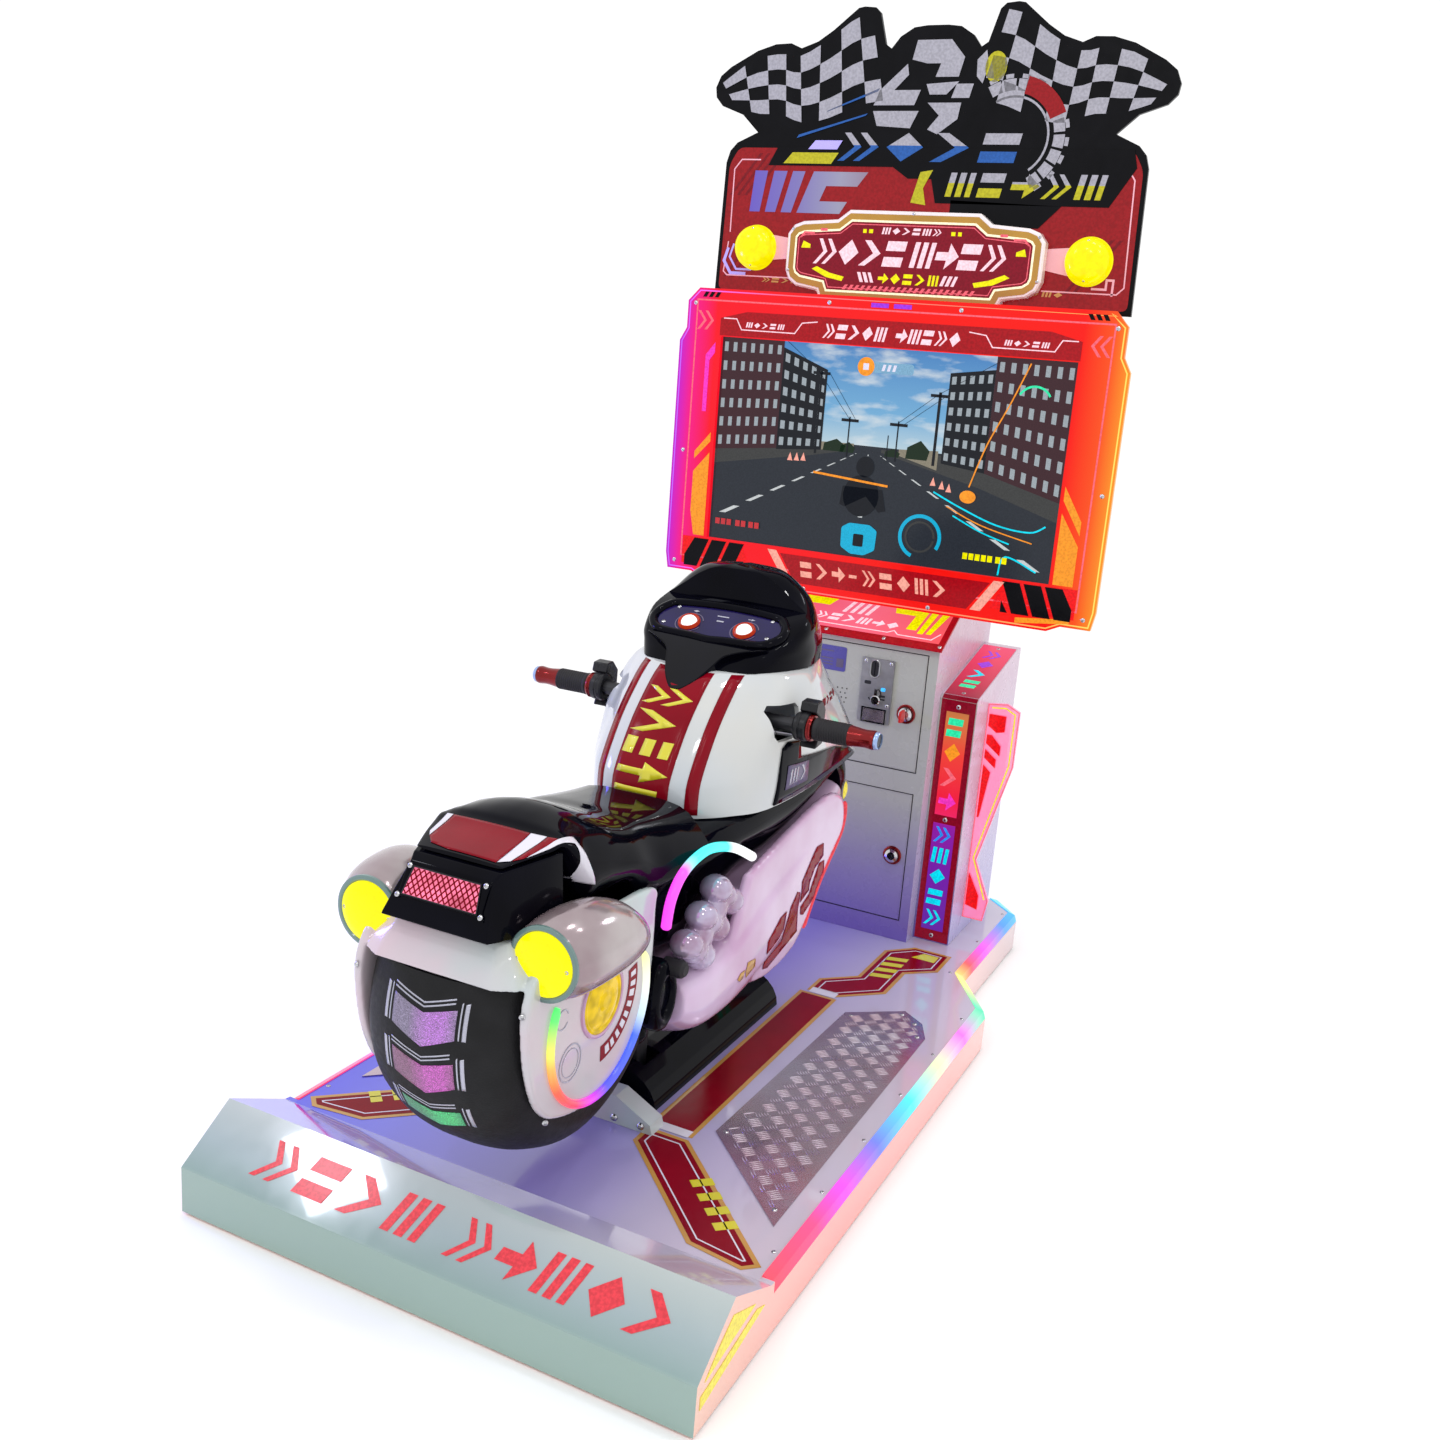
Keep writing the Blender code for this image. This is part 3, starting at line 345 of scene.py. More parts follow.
def smooth_line(points, steps, closed=False):
    """Catmull-Rom curve through points, with steps pieces between neighbours."""
    points = [Vector(point) for point in points]
    count = len(points)
    result = []
    spans = count if closed else count - 1
    for i in range(spans):
        if closed:
            p0, p1, p2, p3 = (points[(i + k) % count] for k in (-1, 0, 1, 2))
        else:
            p0, p1, p2, p3 = (points[min(max(i + k, 0), count - 1)] for k in (-1, 0, 1, 2))
        for s in range(steps):
            t = s / steps
            result.append(0.5 * ((2 * p1) + (p2 - p0) * t + (2 * p0 - 5 * p1 + 4 * p2 - p3) * t * t
                + (3 * p1 - p0 - 3 * p2 + p3) * t * t * t))
    if not closed:
        result.append(points[-1])
    return result


def smooth_loft(sections, around=5, along=5):
    """Rings of a loft: each section is a right half from bottom to top; both ways are smoothed."""
    rings = []
    for half in sections:
        full = list(half) + [(-p[0], *p[1:]) for p in reversed(half) if abs(p[0]) > 0.00001]
        rings.append(smooth_line(full, around, closed=True))
    columns = [smooth_line([ring[i] for ring in rings], along) for i in range(len(rings[0]))]
    return [[column[k] for column in columns] for k in range(len(columns[0]))]


def extrude(outlines, place, thickness):
    """Flat outlines as thin plates; place turns (a, b, height) into a point."""
    bm = bmesh.new()
    for outline in outlines:
        rings = [[place(a, b, level) for a, b in outline] for level in (0, thickness)]
        skin(rings, into=bm)
    return bm


def plane(origin, right, up):
    """place function for a panel with its own two directions."""
    origin, right, up = Vector(origin), Vector(right).normalized(), Vector(up).normalized()
    out = right.cross(up)

    def place(a, b, level=0.0):
        return origin + right * a + up * b + out * level
    return place


def upright(y, right=1):
    """Upright plane across the machine; right is -1 where it is seen from behind."""
    return plane((0, y, 0), (right, 0, 0), (0, 0, 1))


def plates(name, outlines, place, material, level=1, body="machine", lift=None, thickness=FILM):
    """Thin films on a panel; level counts them from the panel outwards."""
    above = LIFT * level if lift is None else lift
    raised = lambda a, b, height: place(a, b, height + above)
    return finish_mesh(name, extrude(outlines, raised, thickness), material, body, None)


def ring_outline(outline, width):
    """Border between an outline and the same outline moved inwards, as one strip per edge."""
    inner = inset(outline, width)
    count = len(outline)
    strips = []
    for i in range(count):
        j = (i + 1) % count
        strips.append([outline[i], outline[j], inner[j], inner[i]])
    return strips


def inset(outline, width):
    """Outline moved inwards by width; it runs counter-clockwise or is turned to."""
    area = sum(a[0] * b[1] - b[0] * a[1] for a, b in zip(outline, outline[1:] + outline[:1]))
    turn = 1.0 if area > 0 else -1.0
    result = []
    count = len(outline)
    for i in range(count):
        before, here, after = Vector(outline[i - 1]), Vector(outline[i]), Vector(outline[(i + 1) % count])
        first = (here - before).normalized()
        second = (after - here).normalized()
        n1 = Vector((-first.y, first.x)) * turn
        n2 = Vector((-second.y, second.x)) * turn
        middle = n1 + n2
        middle /= max(0.25, middle.length_squared / 2.0)
        result.append(tuple(here + middle * width))
    return result


def band(points, width):
    """Quads of an even stroke along a line of flat points."""
    line = [Vector(p) for p in points]
    sides = []
    for before, here, after in zip(line[:1] + line, line, line[1:] + line[-1:]):
        back, ahead = here - before, after - here
        first = (back if back.length > 0 else ahead).normalized()
        second = (ahead if ahead.length > 0 else back).normalized()
        middle = Vector((-first.y, first.x)) + Vector((-second.y, second.x))
        middle /= max(0.3, middle.length_squared / 2.0)
        sides.append((here + middle * width / 2, here - middle * width / 2))
    return [[tuple(a), tuple(c), tuple(d), tuple(b)] for (a, b), (c, d) in zip(sides, sides[1:])]


def bar(a, b, c, d):
    """Outline of an upright box between two corners."""
    return [(a, b), (c, b), (c, d), (a, d)]


def mirrored(outlines, flip=True):
    """Outlines swapped left for right, where flip says so."""
    return [[(-a, b) for a, b in outline] for outline in outlines] if flip else outlines


def both_sides(outlines):
    return outlines + mirrored(outlines)


def screws(name, spots, out, body, radius=0.0045, height=0.002):
    """Button-head screws with a round socket recess on given points, all facing out."""
    bm = bmesh.new()
    for spot in spots:
        head = [(0, radius), (height * 0.45, radius * 0.96), (height * 0.85, radius * 0.72),
            (height, radius * 0.45), (height * 0.35, radius * 0.4)]
        turned(head, spot, out, 18, into=bm)
    return finish_mesh(name, bm, "screw", body, 30, None)


def wrapped(name, outlines, target, direction, material, lift=0.0005, cell=0.008, thickness=0.0004):
    """Film laid on a curved piece: flat outlines in the two axes across direction, dropped onto it."""
    axis = "XYZ".index(direction[1])
    sign = 1.0 if direction[0] == "+" else -1.0
    depsgraph = bpy.context.evaluated_depsgraph_get()
    tree_of = BVHTree.FromObject(target, depsgraph)
    bm = bmesh.new()
    for outline in outlines:
        points = []
        for a, b in outline:
            point = [a, b]
            point.insert(axis, 0)
            points.append(bm.verts.new(point))
        bm.faces.new(points)
    bmesh.ops.translate(bm, verts=bm.verts, vec=(0, REAR if axis != 1 else 0, 0))
    others = [i for i in range(3) if i != axis]
    for other in others:
        values = [v.co[other] for v in bm.verts]
        steps = int((max(values) - min(values)) / cell) + 1
        for k in range(1, steps):
            where = [0, 0, 0]
            where[other] = min(values) + k * (max(values) - min(values)) / steps
            across = [0, 0, 0]
            across[other] = 1.0
            bmesh.ops.bisect_plane(bm, geom=bm.verts[:] + bm.edges[:] + bm.faces[:], plane_co=where,
                plane_no=across, dist=0.00001)
    bmesh.ops.triangulate(bm, faces=bm.faces)
    way = Vector((0, 0, 0))
    way[axis] = -sign
    lost = []
    for vert in bm.verts:
        start = vert.co.copy()
        start[axis] = sign * 3.0
        hit, normal, _, _ = tree_of.ray_cast(start, way)
        if hit is None:
            lost.append(vert)
            continue
        if normal[axis] * sign < 0:
            normal = -normal
        vert.co = hit + normal * lift
    bmesh.ops.delete(bm, geom=lost, context="VERTS")
    bmesh.ops.translate(bm, verts=bm.verts, vec=(0, -REAR, 0))
    piece = finish_mesh(name, bm, material, BIKE, 60)
    facing = sum(face.normal[axis] * face.area for face in piece.data.polygons)
    if facing * sign < 0:
        piece.data.flip_normals()
    thick = piece.modifiers.new("film", "SOLIDIFY")
    thick.thickness = thickness
    thick.offset = 1.0
    return piece


def rounded(piece, width, segments=3, angle=35):
    step = piece.modifiers.new("edge", "BEVEL")
    step.width = width
    step.segments = segments
    step.limit_method = "ANGLE"
    step.angle_limit = math.radians(angle)
    step.harden_normals = False
    return piece


def dress(node, material):
    bpy.data.objects[node].data.materials.clear()
    bpy.data.objects[node].data.materials.append(M[material] if isinstance(material, str) else material)
    return bpy.data.objects[node]


# ---------- camera, light and floor ----------
def cyc(point):
    return (point[0], point[1] + REAR, point[2])


def stage():
    camera = bpy.data.objects.new("camera", bpy.data.cameras.new("camera"))
    bpy.context.scene.collection.objects.link(camera)
    yaw, pitch, roll = (math.radians(angle) for angle in (25.798, -14.556, 4.463))
    ahead = Vector((-math.sin(yaw) * math.cos(pitch), math.cos(yaw) * math.cos(pitch), math.sin(pitch)))
    side = Vector((math.cos(yaw), math.sin(yaw), 0))
    above = side.cross(ahead)
    right = side * math.cos(roll) + above * math.sin(roll)
    up = above * math.cos(roll) - side * math.sin(roll)
    camera.matrix_world = Matrix((right, up, -ahead)).transposed().to_4x4()
    camera.location = cyc((0.9572, -1.2328, 1.199))
    camera.data.lens = 35.43
    camera.data.sensor_width = 36.0
    bpy.context.scene.camera = camera
    floor = bpy.data.meshes.new("floor")
    bm = bmesh.new()
    bmesh.ops.create_grid(bm, x_segments=2, y_segments=2, size=14.0)
    bm.to_mesh(floor)
    bm.free()
    ground = bpy.data.objects.new("floor", floor)
    bpy.context.scene.collection.objects.link(ground)
    floor.materials.append(surface("floor_paper", (0.96, 0.96, 0.96), 0.8, mottle=0.004, specular=0.2))
    bpy.context.scene.view_settings.view_transform = "Standard"
    world = bpy.data.worlds.new("studio")
    bpy.context.scene.world = world
    world.use_nodes = True
    world.node_tree.nodes["Background"].inputs["Color"].default_value = (1, 1, 1, 1)
    world.node_tree.nodes["Background"].inputs["Strength"].default_value = 1.06
    lights = [("key", (1.7, -1.6, 3.3), 0.3, 9, (1, 1, 1)),
        ("fill", (-2.2, -1, 2.9), 0.3, 7, (0.85, 0.88, 1)), ("top", (0.5, 0.5, 3.4), 0.26, 7, (1, 1, 1)),
        ("spot_rear", (0.1, -2.2, 3), 0.22, 6, (1, 1, 1)), ("rim", (1.6, 2.6, 2.8), 0.4, 7, (0.9, 0.92, 1)),
        ("blue_side", (-2, 0.2, 0.9), 0.3, 12, (0.12, 0.1, 1)),
        ("spark_left", (-0.4, -1.4, 3.2), 0.1, 5, (1, 1, 1)),
        ("spark_right", (1.3, 0.6, 3.3), 0.1, 5, (1, 1, 1))]
    for name, place, size, power, color in lights:
        data = bpy.data.lights.new(name, "AREA")
        data.size = size
        data.energy = power
        data.color = color
        lamp = bpy.data.objects.new(name, data)
        bpy.context.scene.collection.objects.link(lamp)
        lamp.location = cyc(place)
        aim = Vector(cyc((0, 0.8, 0.7))) - lamp.location
        lamp.rotation_euler = aim.to_track_quat("-Z", "Y").to_euler()


# ---------- platform ----------
def deck_material():
    """White gloss floor whose colour holds painted light: painted blue light from the left that fades to
    lilac on the right, a grey-green rear slope, and skirts with a painted warm glow from the lamps inside.
    """
    made, nodes, links, shader = tree("deck_colour_and_painted_light")
    axes = position(nodes, links)
    along = spread(nodes, links, axes["Y"], 0, 1, REAR, -REAR)
    across = spread(nodes, links, axes["X"], 0, 1, -0.4, 0.4)
    # painted light: blue on the left to lilac on the right, standing in for the blue lamp light that falls on
    # the deck
    drift_and_painted_light = ramp(nodes, links, across, [(0, (0.05, 0.05, 0.66)), (0.22, (0.15, 0.15, 0.68)),
        (0.5, (0.26, 0.22, 0.58)), (0.72, (0.46, 0.42, 0.58)), (1, (0.56, 0.5, 0.58))])
    # painted light: the skirts' warm pink-orange is the glow of the lamps inside, painted into the colour
    skirt = ramp(nodes, links, along, [(0, (0.8, 0.46, 0.36)), (0.25, (0.92, 0.3, 0.27)),
        (0.55, (0.9, 0.34, 0.3)), (0.75, (0.86, 0.52, 0.48)), (1, (0.55, 0.4, 0.44))])
    rear = ramp(nodes, links, axes["Z"], [(0.07, (0.26, 0.37, 0.33)), (0.074, (0.22, 0.32, 0.31)),
        (0.1, (0.3, 0.38, 0.4)), (0.135, (0.42, 0.47, 0.47))])
    facing = components(nodes, links, "ShaderNodeNewGeometry", "True Normal")
    level = spread(nodes, links, facing["Z"], 0, 1, 0.3, 0.4)
    back = spread(nodes, links, axes["Y"], 1, 0, REAR + 0.0885, REAR + 0.0892)
    behind = spread(nodes, links, facing["Y"], 1, 0, -0.6, -0.4)

    color = mixed(nodes, links, level, skirt, drift_and_painted_light)
    color = mixed(nodes, links, computed(nodes, links, "MULTIPLY", back, level), color, rear)
    color = mixed(nodes, links, behind, color, rear)
    links.new(color, shader.inputs["Base Color"])
    links.new(spread(nodes, links, noise(nodes, links, 30), 0.07, 0.16), shader.inputs["Roughness"])
    shader.inputs["Coat Weight"].default_value = 0.7
    bump(nodes, links, shader, noise(nodes, links, 500), 0.00003)
    return made


STRIP_COLORS = [(0, (1, 0.05, 0.1)), (0.1, (1, 0.05, 0.25)), (0.17, (0.9, 0.05, 0.9)), (0.26, (0.15, 0.2, 1)),
    (0.36, (0.05, 0.85, 1)), (0.45, (0.85, 1, 0.55)), (0.54, (1, 0.15, 0.9)), (0.62, (0.05, 1, 0.45)),
    (0.68, (0.9, 1, 0.2)), (0.74, (1, 0.06, 0.08)), (0.8, (0.95, 0.05, 0.8)), (0.9, (0.05, 0.3, 1)),
    (1, (0.02, 0.6, 1))]


def glyph(kind, a, b, w, h, lean=0.22):
    """Generic racing mark in a box at (a, b): slanted bars, chevrons and an arrow. Returns outlines."""
    def slant(u, v):
        return (a + u * w + (v - 0.5) * h * lean, b + v * h)

    def shape(points):
        return [slant(u, v) for u, v in points]
    marks = {
        "chevron": [[(0, 0), (0.28, 0), (0.85, 0.5), (0.28, 1), (0, 1), (0.52, 0.5)]],
        "double": [[(0, 0), (0.16, 0), (0.52, 0.5), (0.16, 1), (0, 1), (0.34, 0.5)],
                   [(0.4, 0), (0.56, 0), (0.95, 0.5), (0.56, 1), (0.4, 1), (0.76, 0.5)]],
        "bars": [bar(0, 0, 0.22, 1), bar(0.36, 0, 0.58, 1),
                 bar(0.72, 0, 0.92, 1)],
        "arrow": [[(0, 0.34), (0.5, 0.34), (0.5, 0), (1, 0.5), (0.5, 1), (0.5, 0.66), (0, 0.66)]],
        "block": [bar(0, 0, 0.85, 0.38), bar(0, 0.62, 0.85, 1)],
        "diamond": [[(0, 0.5), (0.45, 0), (0.9, 0.5), (0.45, 1)]],
    }
    return [shape(mark) for mark in marks[kind]]


def glyph_row(kinds, start, step, b, w, h, lean=0.22):
    outlines = []
    for index, kind in enumerate(kinds):
        if kind:
            outlines += glyph(kind, start + index * step, b, w, h, lean)
    return outlines


def platform():
    dress("platform_deck", deck_material())
    for side in ("left", "right"):
        strip = glow_along("strip_light_" + side, "Y", REAR + 0.2, -REAR, STRIP_COLORS, 1.1, (0.1, 0.1, 0.1))
        dress("edge_strip_" + side, strip)
    for place in ("front_left", "front_right", "rear_left", "rear_right"):
        dress("levelling_foot_" + place, "rubber")
    slope_low, slope_high = Vector((0, 0, 0.072)), Vector((0, 0.088, 0.135))
    slope = plane(slope_low, (1, 0, 0), slope_high - slope_low)
    marks = glyph_row(["double", "block", "chevron", "bars"], -0.29, 0.074, 0.026, 0.062, 0.055, 0.25)
    marks += glyph_row(["double", "arrow", "bars", "diamond", "chevron"], 0.03, 0.065, 0.026, 0.056, 0.055,
        0.25)
    plates("step_light_marks", marks, slope, "coral")
    for side, name in SIDES:
        skirt = plane((side * 0.398, 0, 0), (0, side, 0), (0, 0, 1))
        windows = mm([[(18, 66), (50, 91), (86, 112), (150, 86)], [(10, 52), (156, 75), (180, 66), (10, 34)]])
        plates("skirt_windows_" + name, mirrored(windows, side < 0), skirt, "window_yellow")
    floor_decals()
    both(tread_plate)
    spots = []
    for side in (1, -1):
        spots += [(side * 0.372, y, DECK) for y in mm((260, 420, 580, 740, 900, 1060))]
        spots += [(side * 0.292, y, DECK) for y in (1.24, 1.42, 1.6)]
    screws("deck_screws", spots, (0, 0, 1), "machine", 0.0035, 0.0014)


DECK = design_box("checker_plate_left")[0].z - 0.0004


def floor_decals():
    """Crimson bands with a gold edge, a thin white line and yellow marks, mirrored left and right."""
    floor = plane((0, 0, DECK), (1, 0, 0), (0, 1, 0))
    arms = {
        "rear": mm([(86, 432), (155, 432), (372, 222), (352, 203), (268, 214), (86, 388)]),
        "front": mm([(94, 1006), (150, 1006), (222, 1075), (222, 1180), (272, 1225), (272, 1312),
                  (196, 1312), (150, 1262), (150, 1118), (94, 1064)]),
        "side": bar(0.084, 0.44, 0.156, 0.998),
    }
    gold, crimson, white, yellow = [], [], [], []
    for flip in (False, True):
        for key, outline in arms.items():
            shape = mirrored([outline], flip)[0]
            gold.append(shape)
            crimson.append(inset(shape, 0.007))
            if key != "side":
                white += ring_outline(inset(shape, 0.015), 0.0022)
        bars = []
        for k in range(4):
            y = 0.262 + 0.024 * k
            x = 0.318 - 0.024 * k
            bars.append([(x - 0.03, y - 0.004), (x - 0.006, y + 0.018), (x - 0.018, y + 0.03),
                (x - 0.042, y + 0.008)])
        for k in range(4):
            y = 1.13 + 0.03 * k
            bars.append([(0.166, y), (0.206, y + 0.012), (0.206, y + 0.028), (0.166, y + 0.016)])
        bars.append(mm([(206, 1262), (252, 1262), (252, 1292), (222, 1292)]))
        yellow += mirrored(bars, flip)
        white += mirrored(mm([bar(92, 437, 150, 456), bar(100, 1000, 150, 1022)]), flip)
    bands = (("gold", gold, 0), ("crimson", crimson, 0.0002), ("white", white, 0.0004),
        ("yellow", yellow, 0.0004))
    for name, shapes, above in bands:
        plates("floor_band_" + name, shapes, floor, "decal_" + name, lift=LIFT + above, thickness=0.0002)


def inside(point, outline):
    x, y = point
    hit = False
    for (x1, y1), (x2, y2) in zip(outline, outline[1:] + outline[:1]):
        if (y1 > y) != (y2 > y) and x < (x2 - x1) * (y - y1) / (y2 - y1) + x1:
            hit = not hit
    return hit


def tread_plate(side, name):
    """Five-bar tread plate: groups of five raised bars, turned by 90 degrees from cell to cell."""
    low, high = design_box("checker_plate_" + name)
    outline = mm([(349, 309), (177, 476), (189, 958), (277, 1026), (320, 995), (343, 944)])
    outline = mirrored([outline], side < 0)[0]
    dress("checker_plate_" + name, "steel")
    keep = inset(outline, 0.01)
    bm = bmesh.new()
    pitch, bar_length, bar_width, height = 0.026, 0.021, 0.0022, 0.0011
    top = high.z
    for row in range(30):
        for column in range(8):
            centre = (low.x + (column + 0.5) * pitch, low.y + (row + 0.5) * pitch)
            turn = math.radians(45 if (row + column) % 2 else -45)
            run = Vector((math.cos(turn), math.sin(turn)))
            across = Vector((-run.y, run.x))
            for k in range(-2, 3):
                middle = Vector(centre) + across * k * 0.0046
                ends = [middle + run * bar_length / 2, middle - run * bar_length / 2]
                if not all(inside(tuple(end), keep) for end in ends):
                    continue
                base = [ends[1], middle - across * bar_width / 2, ends[0], middle + across * bar_width / 2]
                crest = [middle + run * bar_length * 0.32, middle - run * bar_length * 0.32]
                verts = [bm.verts.new((*p, top)) for p in base]
                ridge = [bm.verts.new((*p, top + height)) for p in crest]
                bm.faces.new((verts[0], verts[1], ridge[1]))
                bm.faces.new((verts[1], verts[2], ridge[0], ridge[1]))
                bm.faces.new((verts[2], verts[3], ridge[0]))
                bm.faces.new((verts[3], verts[0], ridge[1], ridge[0]))
                bm.faces.new(list(reversed(verts)))
    finish_mesh("tread_bars_" + name, bm, "steel", "machine", None)
    spots = [(*point, top) for point in inset(outline, 0.014)]
    screws("tread_screws_" + name, spots, (0, 0, 1), "machine", 0.004, 0.0018)


def pedestal():
    rounded(dress("pedestal_cover", "gloss_black"), 0.0015)
    dress("lean_stop_bracket", "cowl_white")
    for name in ("bearing_block_front", "bearing_block_rear", "lean_frame"):
        dress(name, "dark_steel")
    low = design_box("lean_stop_bracket")[0]
    spots = [(x, low.y, low.z + 0.01) for x in (-0.085, -0.04, 0.04, 0.085)]
    screws("stop_bracket_bolts", spots, (0, -1, 0), "machine", 0.006, 0.004)


# ---------- motorcycle ----------
def trimmed(bm, point, normal):
    """Cuts away what lies beyond a plane and closes the opening."""
    cut = bmesh.ops.bisect_plane(bm, geom=bm.verts[:] + bm.edges[:] + bm.faces[:], plane_co=point,
        plane_no=normal, clear_outer=True, dist=0.000001)
    edges = [item for item in cut["geom_cut"] if isinstance(item, bmesh.types.BMEdge)]
    bmesh.ops.holes_fill(bm, edges=edges, sides=0)
    return bm


def glow_round(name, centre, stops, strength, base=(0.4, 0.4, 0.4)):
    """Lit tube bent round a centre in Y and Z; its colour runs with the angle."""
    made, nodes, links, shader = tree(name)
    axes = position(nodes, links)
    rise = computed(nodes, links, "SUBTRACT", axes["Z"], centre[1])
    run = computed(nodes, links, "SUBTRACT", axes["Y"], centre[0] + REAR)
    angle = computed(nodes, links, "ARCTAN2", rise, run)
    along = spread(nodes, links, angle, 0, 1, -math.pi, math.pi)
    links.new(ramp(nodes, links, along, stops), shader.inputs["Emission Color"])
    shader.inputs["Emission Strength"].default_value = strength
    shader.inputs["Base Color"].default_value = (*base, 1)
    links.new(spread(nodes, links, noise(nodes, links, 50), 0.15, 0.25), shader.inputs["Roughness"])
    return made


def glitter(name, middle, edge, strength):
    """Glitter film: bright grains, strongest in the middle of the machine."""
    made, nodes, links, shader = tree(name)
    grains = noise(nodes, links, 1600, 1)
    axes = position(nodes, links)
    along = spread(nodes, links, axes["X"], 0, 1, -0.05, 0.05)
    color = ramp(nodes, links, along, [(0, edge), (0.3, edge), (0.6, middle), (0.8, middle), (1, edge)])
    links.new(ramp(nodes, links, grains, [(0.4, shade(edge, 0.3)), (0.62, edge)]),
        shader.inputs["Base Color"])
    links.new(color, shader.inputs["Emission Color"])
    links.new(spread(nodes, links, grains, 0.05 * strength, strength, 0.45, 0.62),
        shader.inputs["Emission Strength"])
    shader.inputs["Roughness"].default_value = 0.35
    return made


def tube(name, line, radius, material, body, sides=12):
    """Round bar along a line of points, with closed rounded ends."""
    points = [Vector(p) for p in line]
    rings = []
    count = len(points)
    side = None
    for i, point in enumerate(points):
        way = (points[min(i + 1, count - 1)] - points[max(i - 1, 0)]).normalized()
        if side is None:
            side = way.orthogonal().normalized()
        side = (side - way * side.dot(way)).normalized()
        other = way.cross(side)
        reach = radius * (0.6 if i in (0, count - 1) else 1.0)
        rings.append([point + side * reach * math.cos(math.tau * k / sides) + other * reach
            * math.sin(math.tau * k / sides) for k in range(sides)])
    return finish_mesh(name, skin(rings), material, body, 50)


def blended(piece, voxel, rounds=6):
    """Merges the solids of a piece into one skin with soft seams."""
    step = piece.modifiers.new("merge", "REMESH")
    step.mode = "VOXEL"
    step.voxel_size = voxel
    step.use_smooth_shade = True
    soft = piece.modifiers.new("soften", "SMOOTH")
    soft.factor = 0.5
    soft.iterations = rounds
    return piece


SIDES = ((1, "right"), (-1, "left"))


def both(action):
    for side, name in SIDES:
        action(side, name)


WHEEL = Vector((0, 0.2135, 0.379))


def rear_wheel():
    half = mm([(0, 212.8), (30, 211.8), (62, 205.5), (97, 188.5), (112.5, 165), (117.5, 141)])
    profile = [(-a, r) for a, r in reversed(half)] + half[1:]
    line = [(p.x, p.y) for p in smooth_line([(a, r, 0) for a, r in profile], 5)]
    bm = turned([(-0.1175, 0.09)] + line + [(0.1175, 0.09)], WHEEL, (1, 0, 0), 112)
    trimmed(bm, (0, 0, 0.4605), (0, 0, 1))
    trimmed(bm, (0, 0.3328, 0), (0, 1, 0))
    tyre = finish_mesh("tyre", bm, "tyre", BIKE, 40, "tyre_black", ["tyre_shell"])
    marks = mm((("upper", 417, 46, 43, 13), ("middle", 348, 45, 41, 14), ("lower", 276, 44, 27, 13)))
    silver = []
    for key, top, half_width, height, rise in marks:
        arm = [(-half_width, top + rise), (0, top), (half_width, top + rise),
            (half_width, top + rise - height * 0.86), (0, top - height),
            (-half_width, top + rise - height * 0.86)]
        wrapped("tread_window_" + key, [arm], tyre, "-Y", "glitter_" + key, 0.0002, 0.006, 0.0003)
        for lift in (0.006, 0.011):
            silver.append([(-half_width - 0.001, top + rise + lift), (0, top + lift), (0, top + lift + 0.002),
                (-half_width - 0.001, top + rise + lift + 0.002)])
            silver.append([(0, top + lift), (half_width - 0.004, top + rise + lift),
                (half_width - 0.004, top + rise + lift + 0.002), (0, top + lift + 0.002)])
        for side in (1, -1):
            for gap, width in ((0.004, 0.0018), (0.009, 0.005)):
                a, b = half_width + gap, half_width + gap + width
                silver.append([(side * a, top + rise - height * 0.84), (side * b, top + rise - height * 0.84),
                    (side * b, top + rise + 0.01), (side * a, top + rise + 0.008)])
    wrapped("tread_window_lines", silver, tyre, "-Y", "label_silver", 0.0002, 0.006, 0.0003)

    cover = mm([(92, 500), (60, 486), (37.5, 460), (30.5, 420), (42, 350), (70, 292), (112, 266.5),
        (180, 252.5), (245, 256.5), (295, 285.5), (324, 330), (330.5, 400), (330.5, 470), (322, 506),
        (200, 511)])
    outline = [tuple(p) for p in smooth_line([(y, z) for y, z in cover], 5, True)]
    bm = bmesh.new()
    for side in (1, -1):
        skin([[(side * x, y, z) for y, z in outline] for x in (0.1172, 0.1296)], into=bm)
    sections = mm([(462.5, (0, 15.5), (85, 16.5), (112, 32), (121.5, 60)),
        (478, (0, 24), (80, 25), (106, 40), (119, 66)), (496, (0, 35), (74, 36), (92, 50), (104, 72)),
        (511.5, (0, 44), (70, 45), (83, 54), (92, 74))])
    rings = []
    for z, *points in sections:
        half = [(x, y, z) for x, y in points] + [(points[-1][0], 0.0935, z), (0, 0.0935, z)]
        rings.append(half + [(-x, y, z) for x, y, z in reversed(half) if x > 0.0001])
    skin(rings, into=bm)
    blended(finish_mesh("wheel_cover", bm, "cowl_white", BIKE, 60, "gloss_white", ["wheel_cowl"]), 0.0026)
    wheel_trim()


HUB = (0.2, 0.392)
RING = (0.195, 0.375)


def around(centre, radius, start, end, steps):
    """Points on an arc in Y and Z; angles in degrees from forwards, upwards positive."""
    result = []
    for i in range(steps + 1):
        angle = math.radians(start + (end - start) * i / steps)
        result.append((centre[0] + radius * math.cos(angle), centre[1] + radius * math.sin(angle)))
    return result


def arc_band(centre, inner, outer, start, end, steps=24):
    near = around(centre, inner, start, end, steps)
    far = around(centre, outer, start, end, steps)
    return [[near[i], near[i + 1], far[i + 1], far[i]] for i in range(steps)]


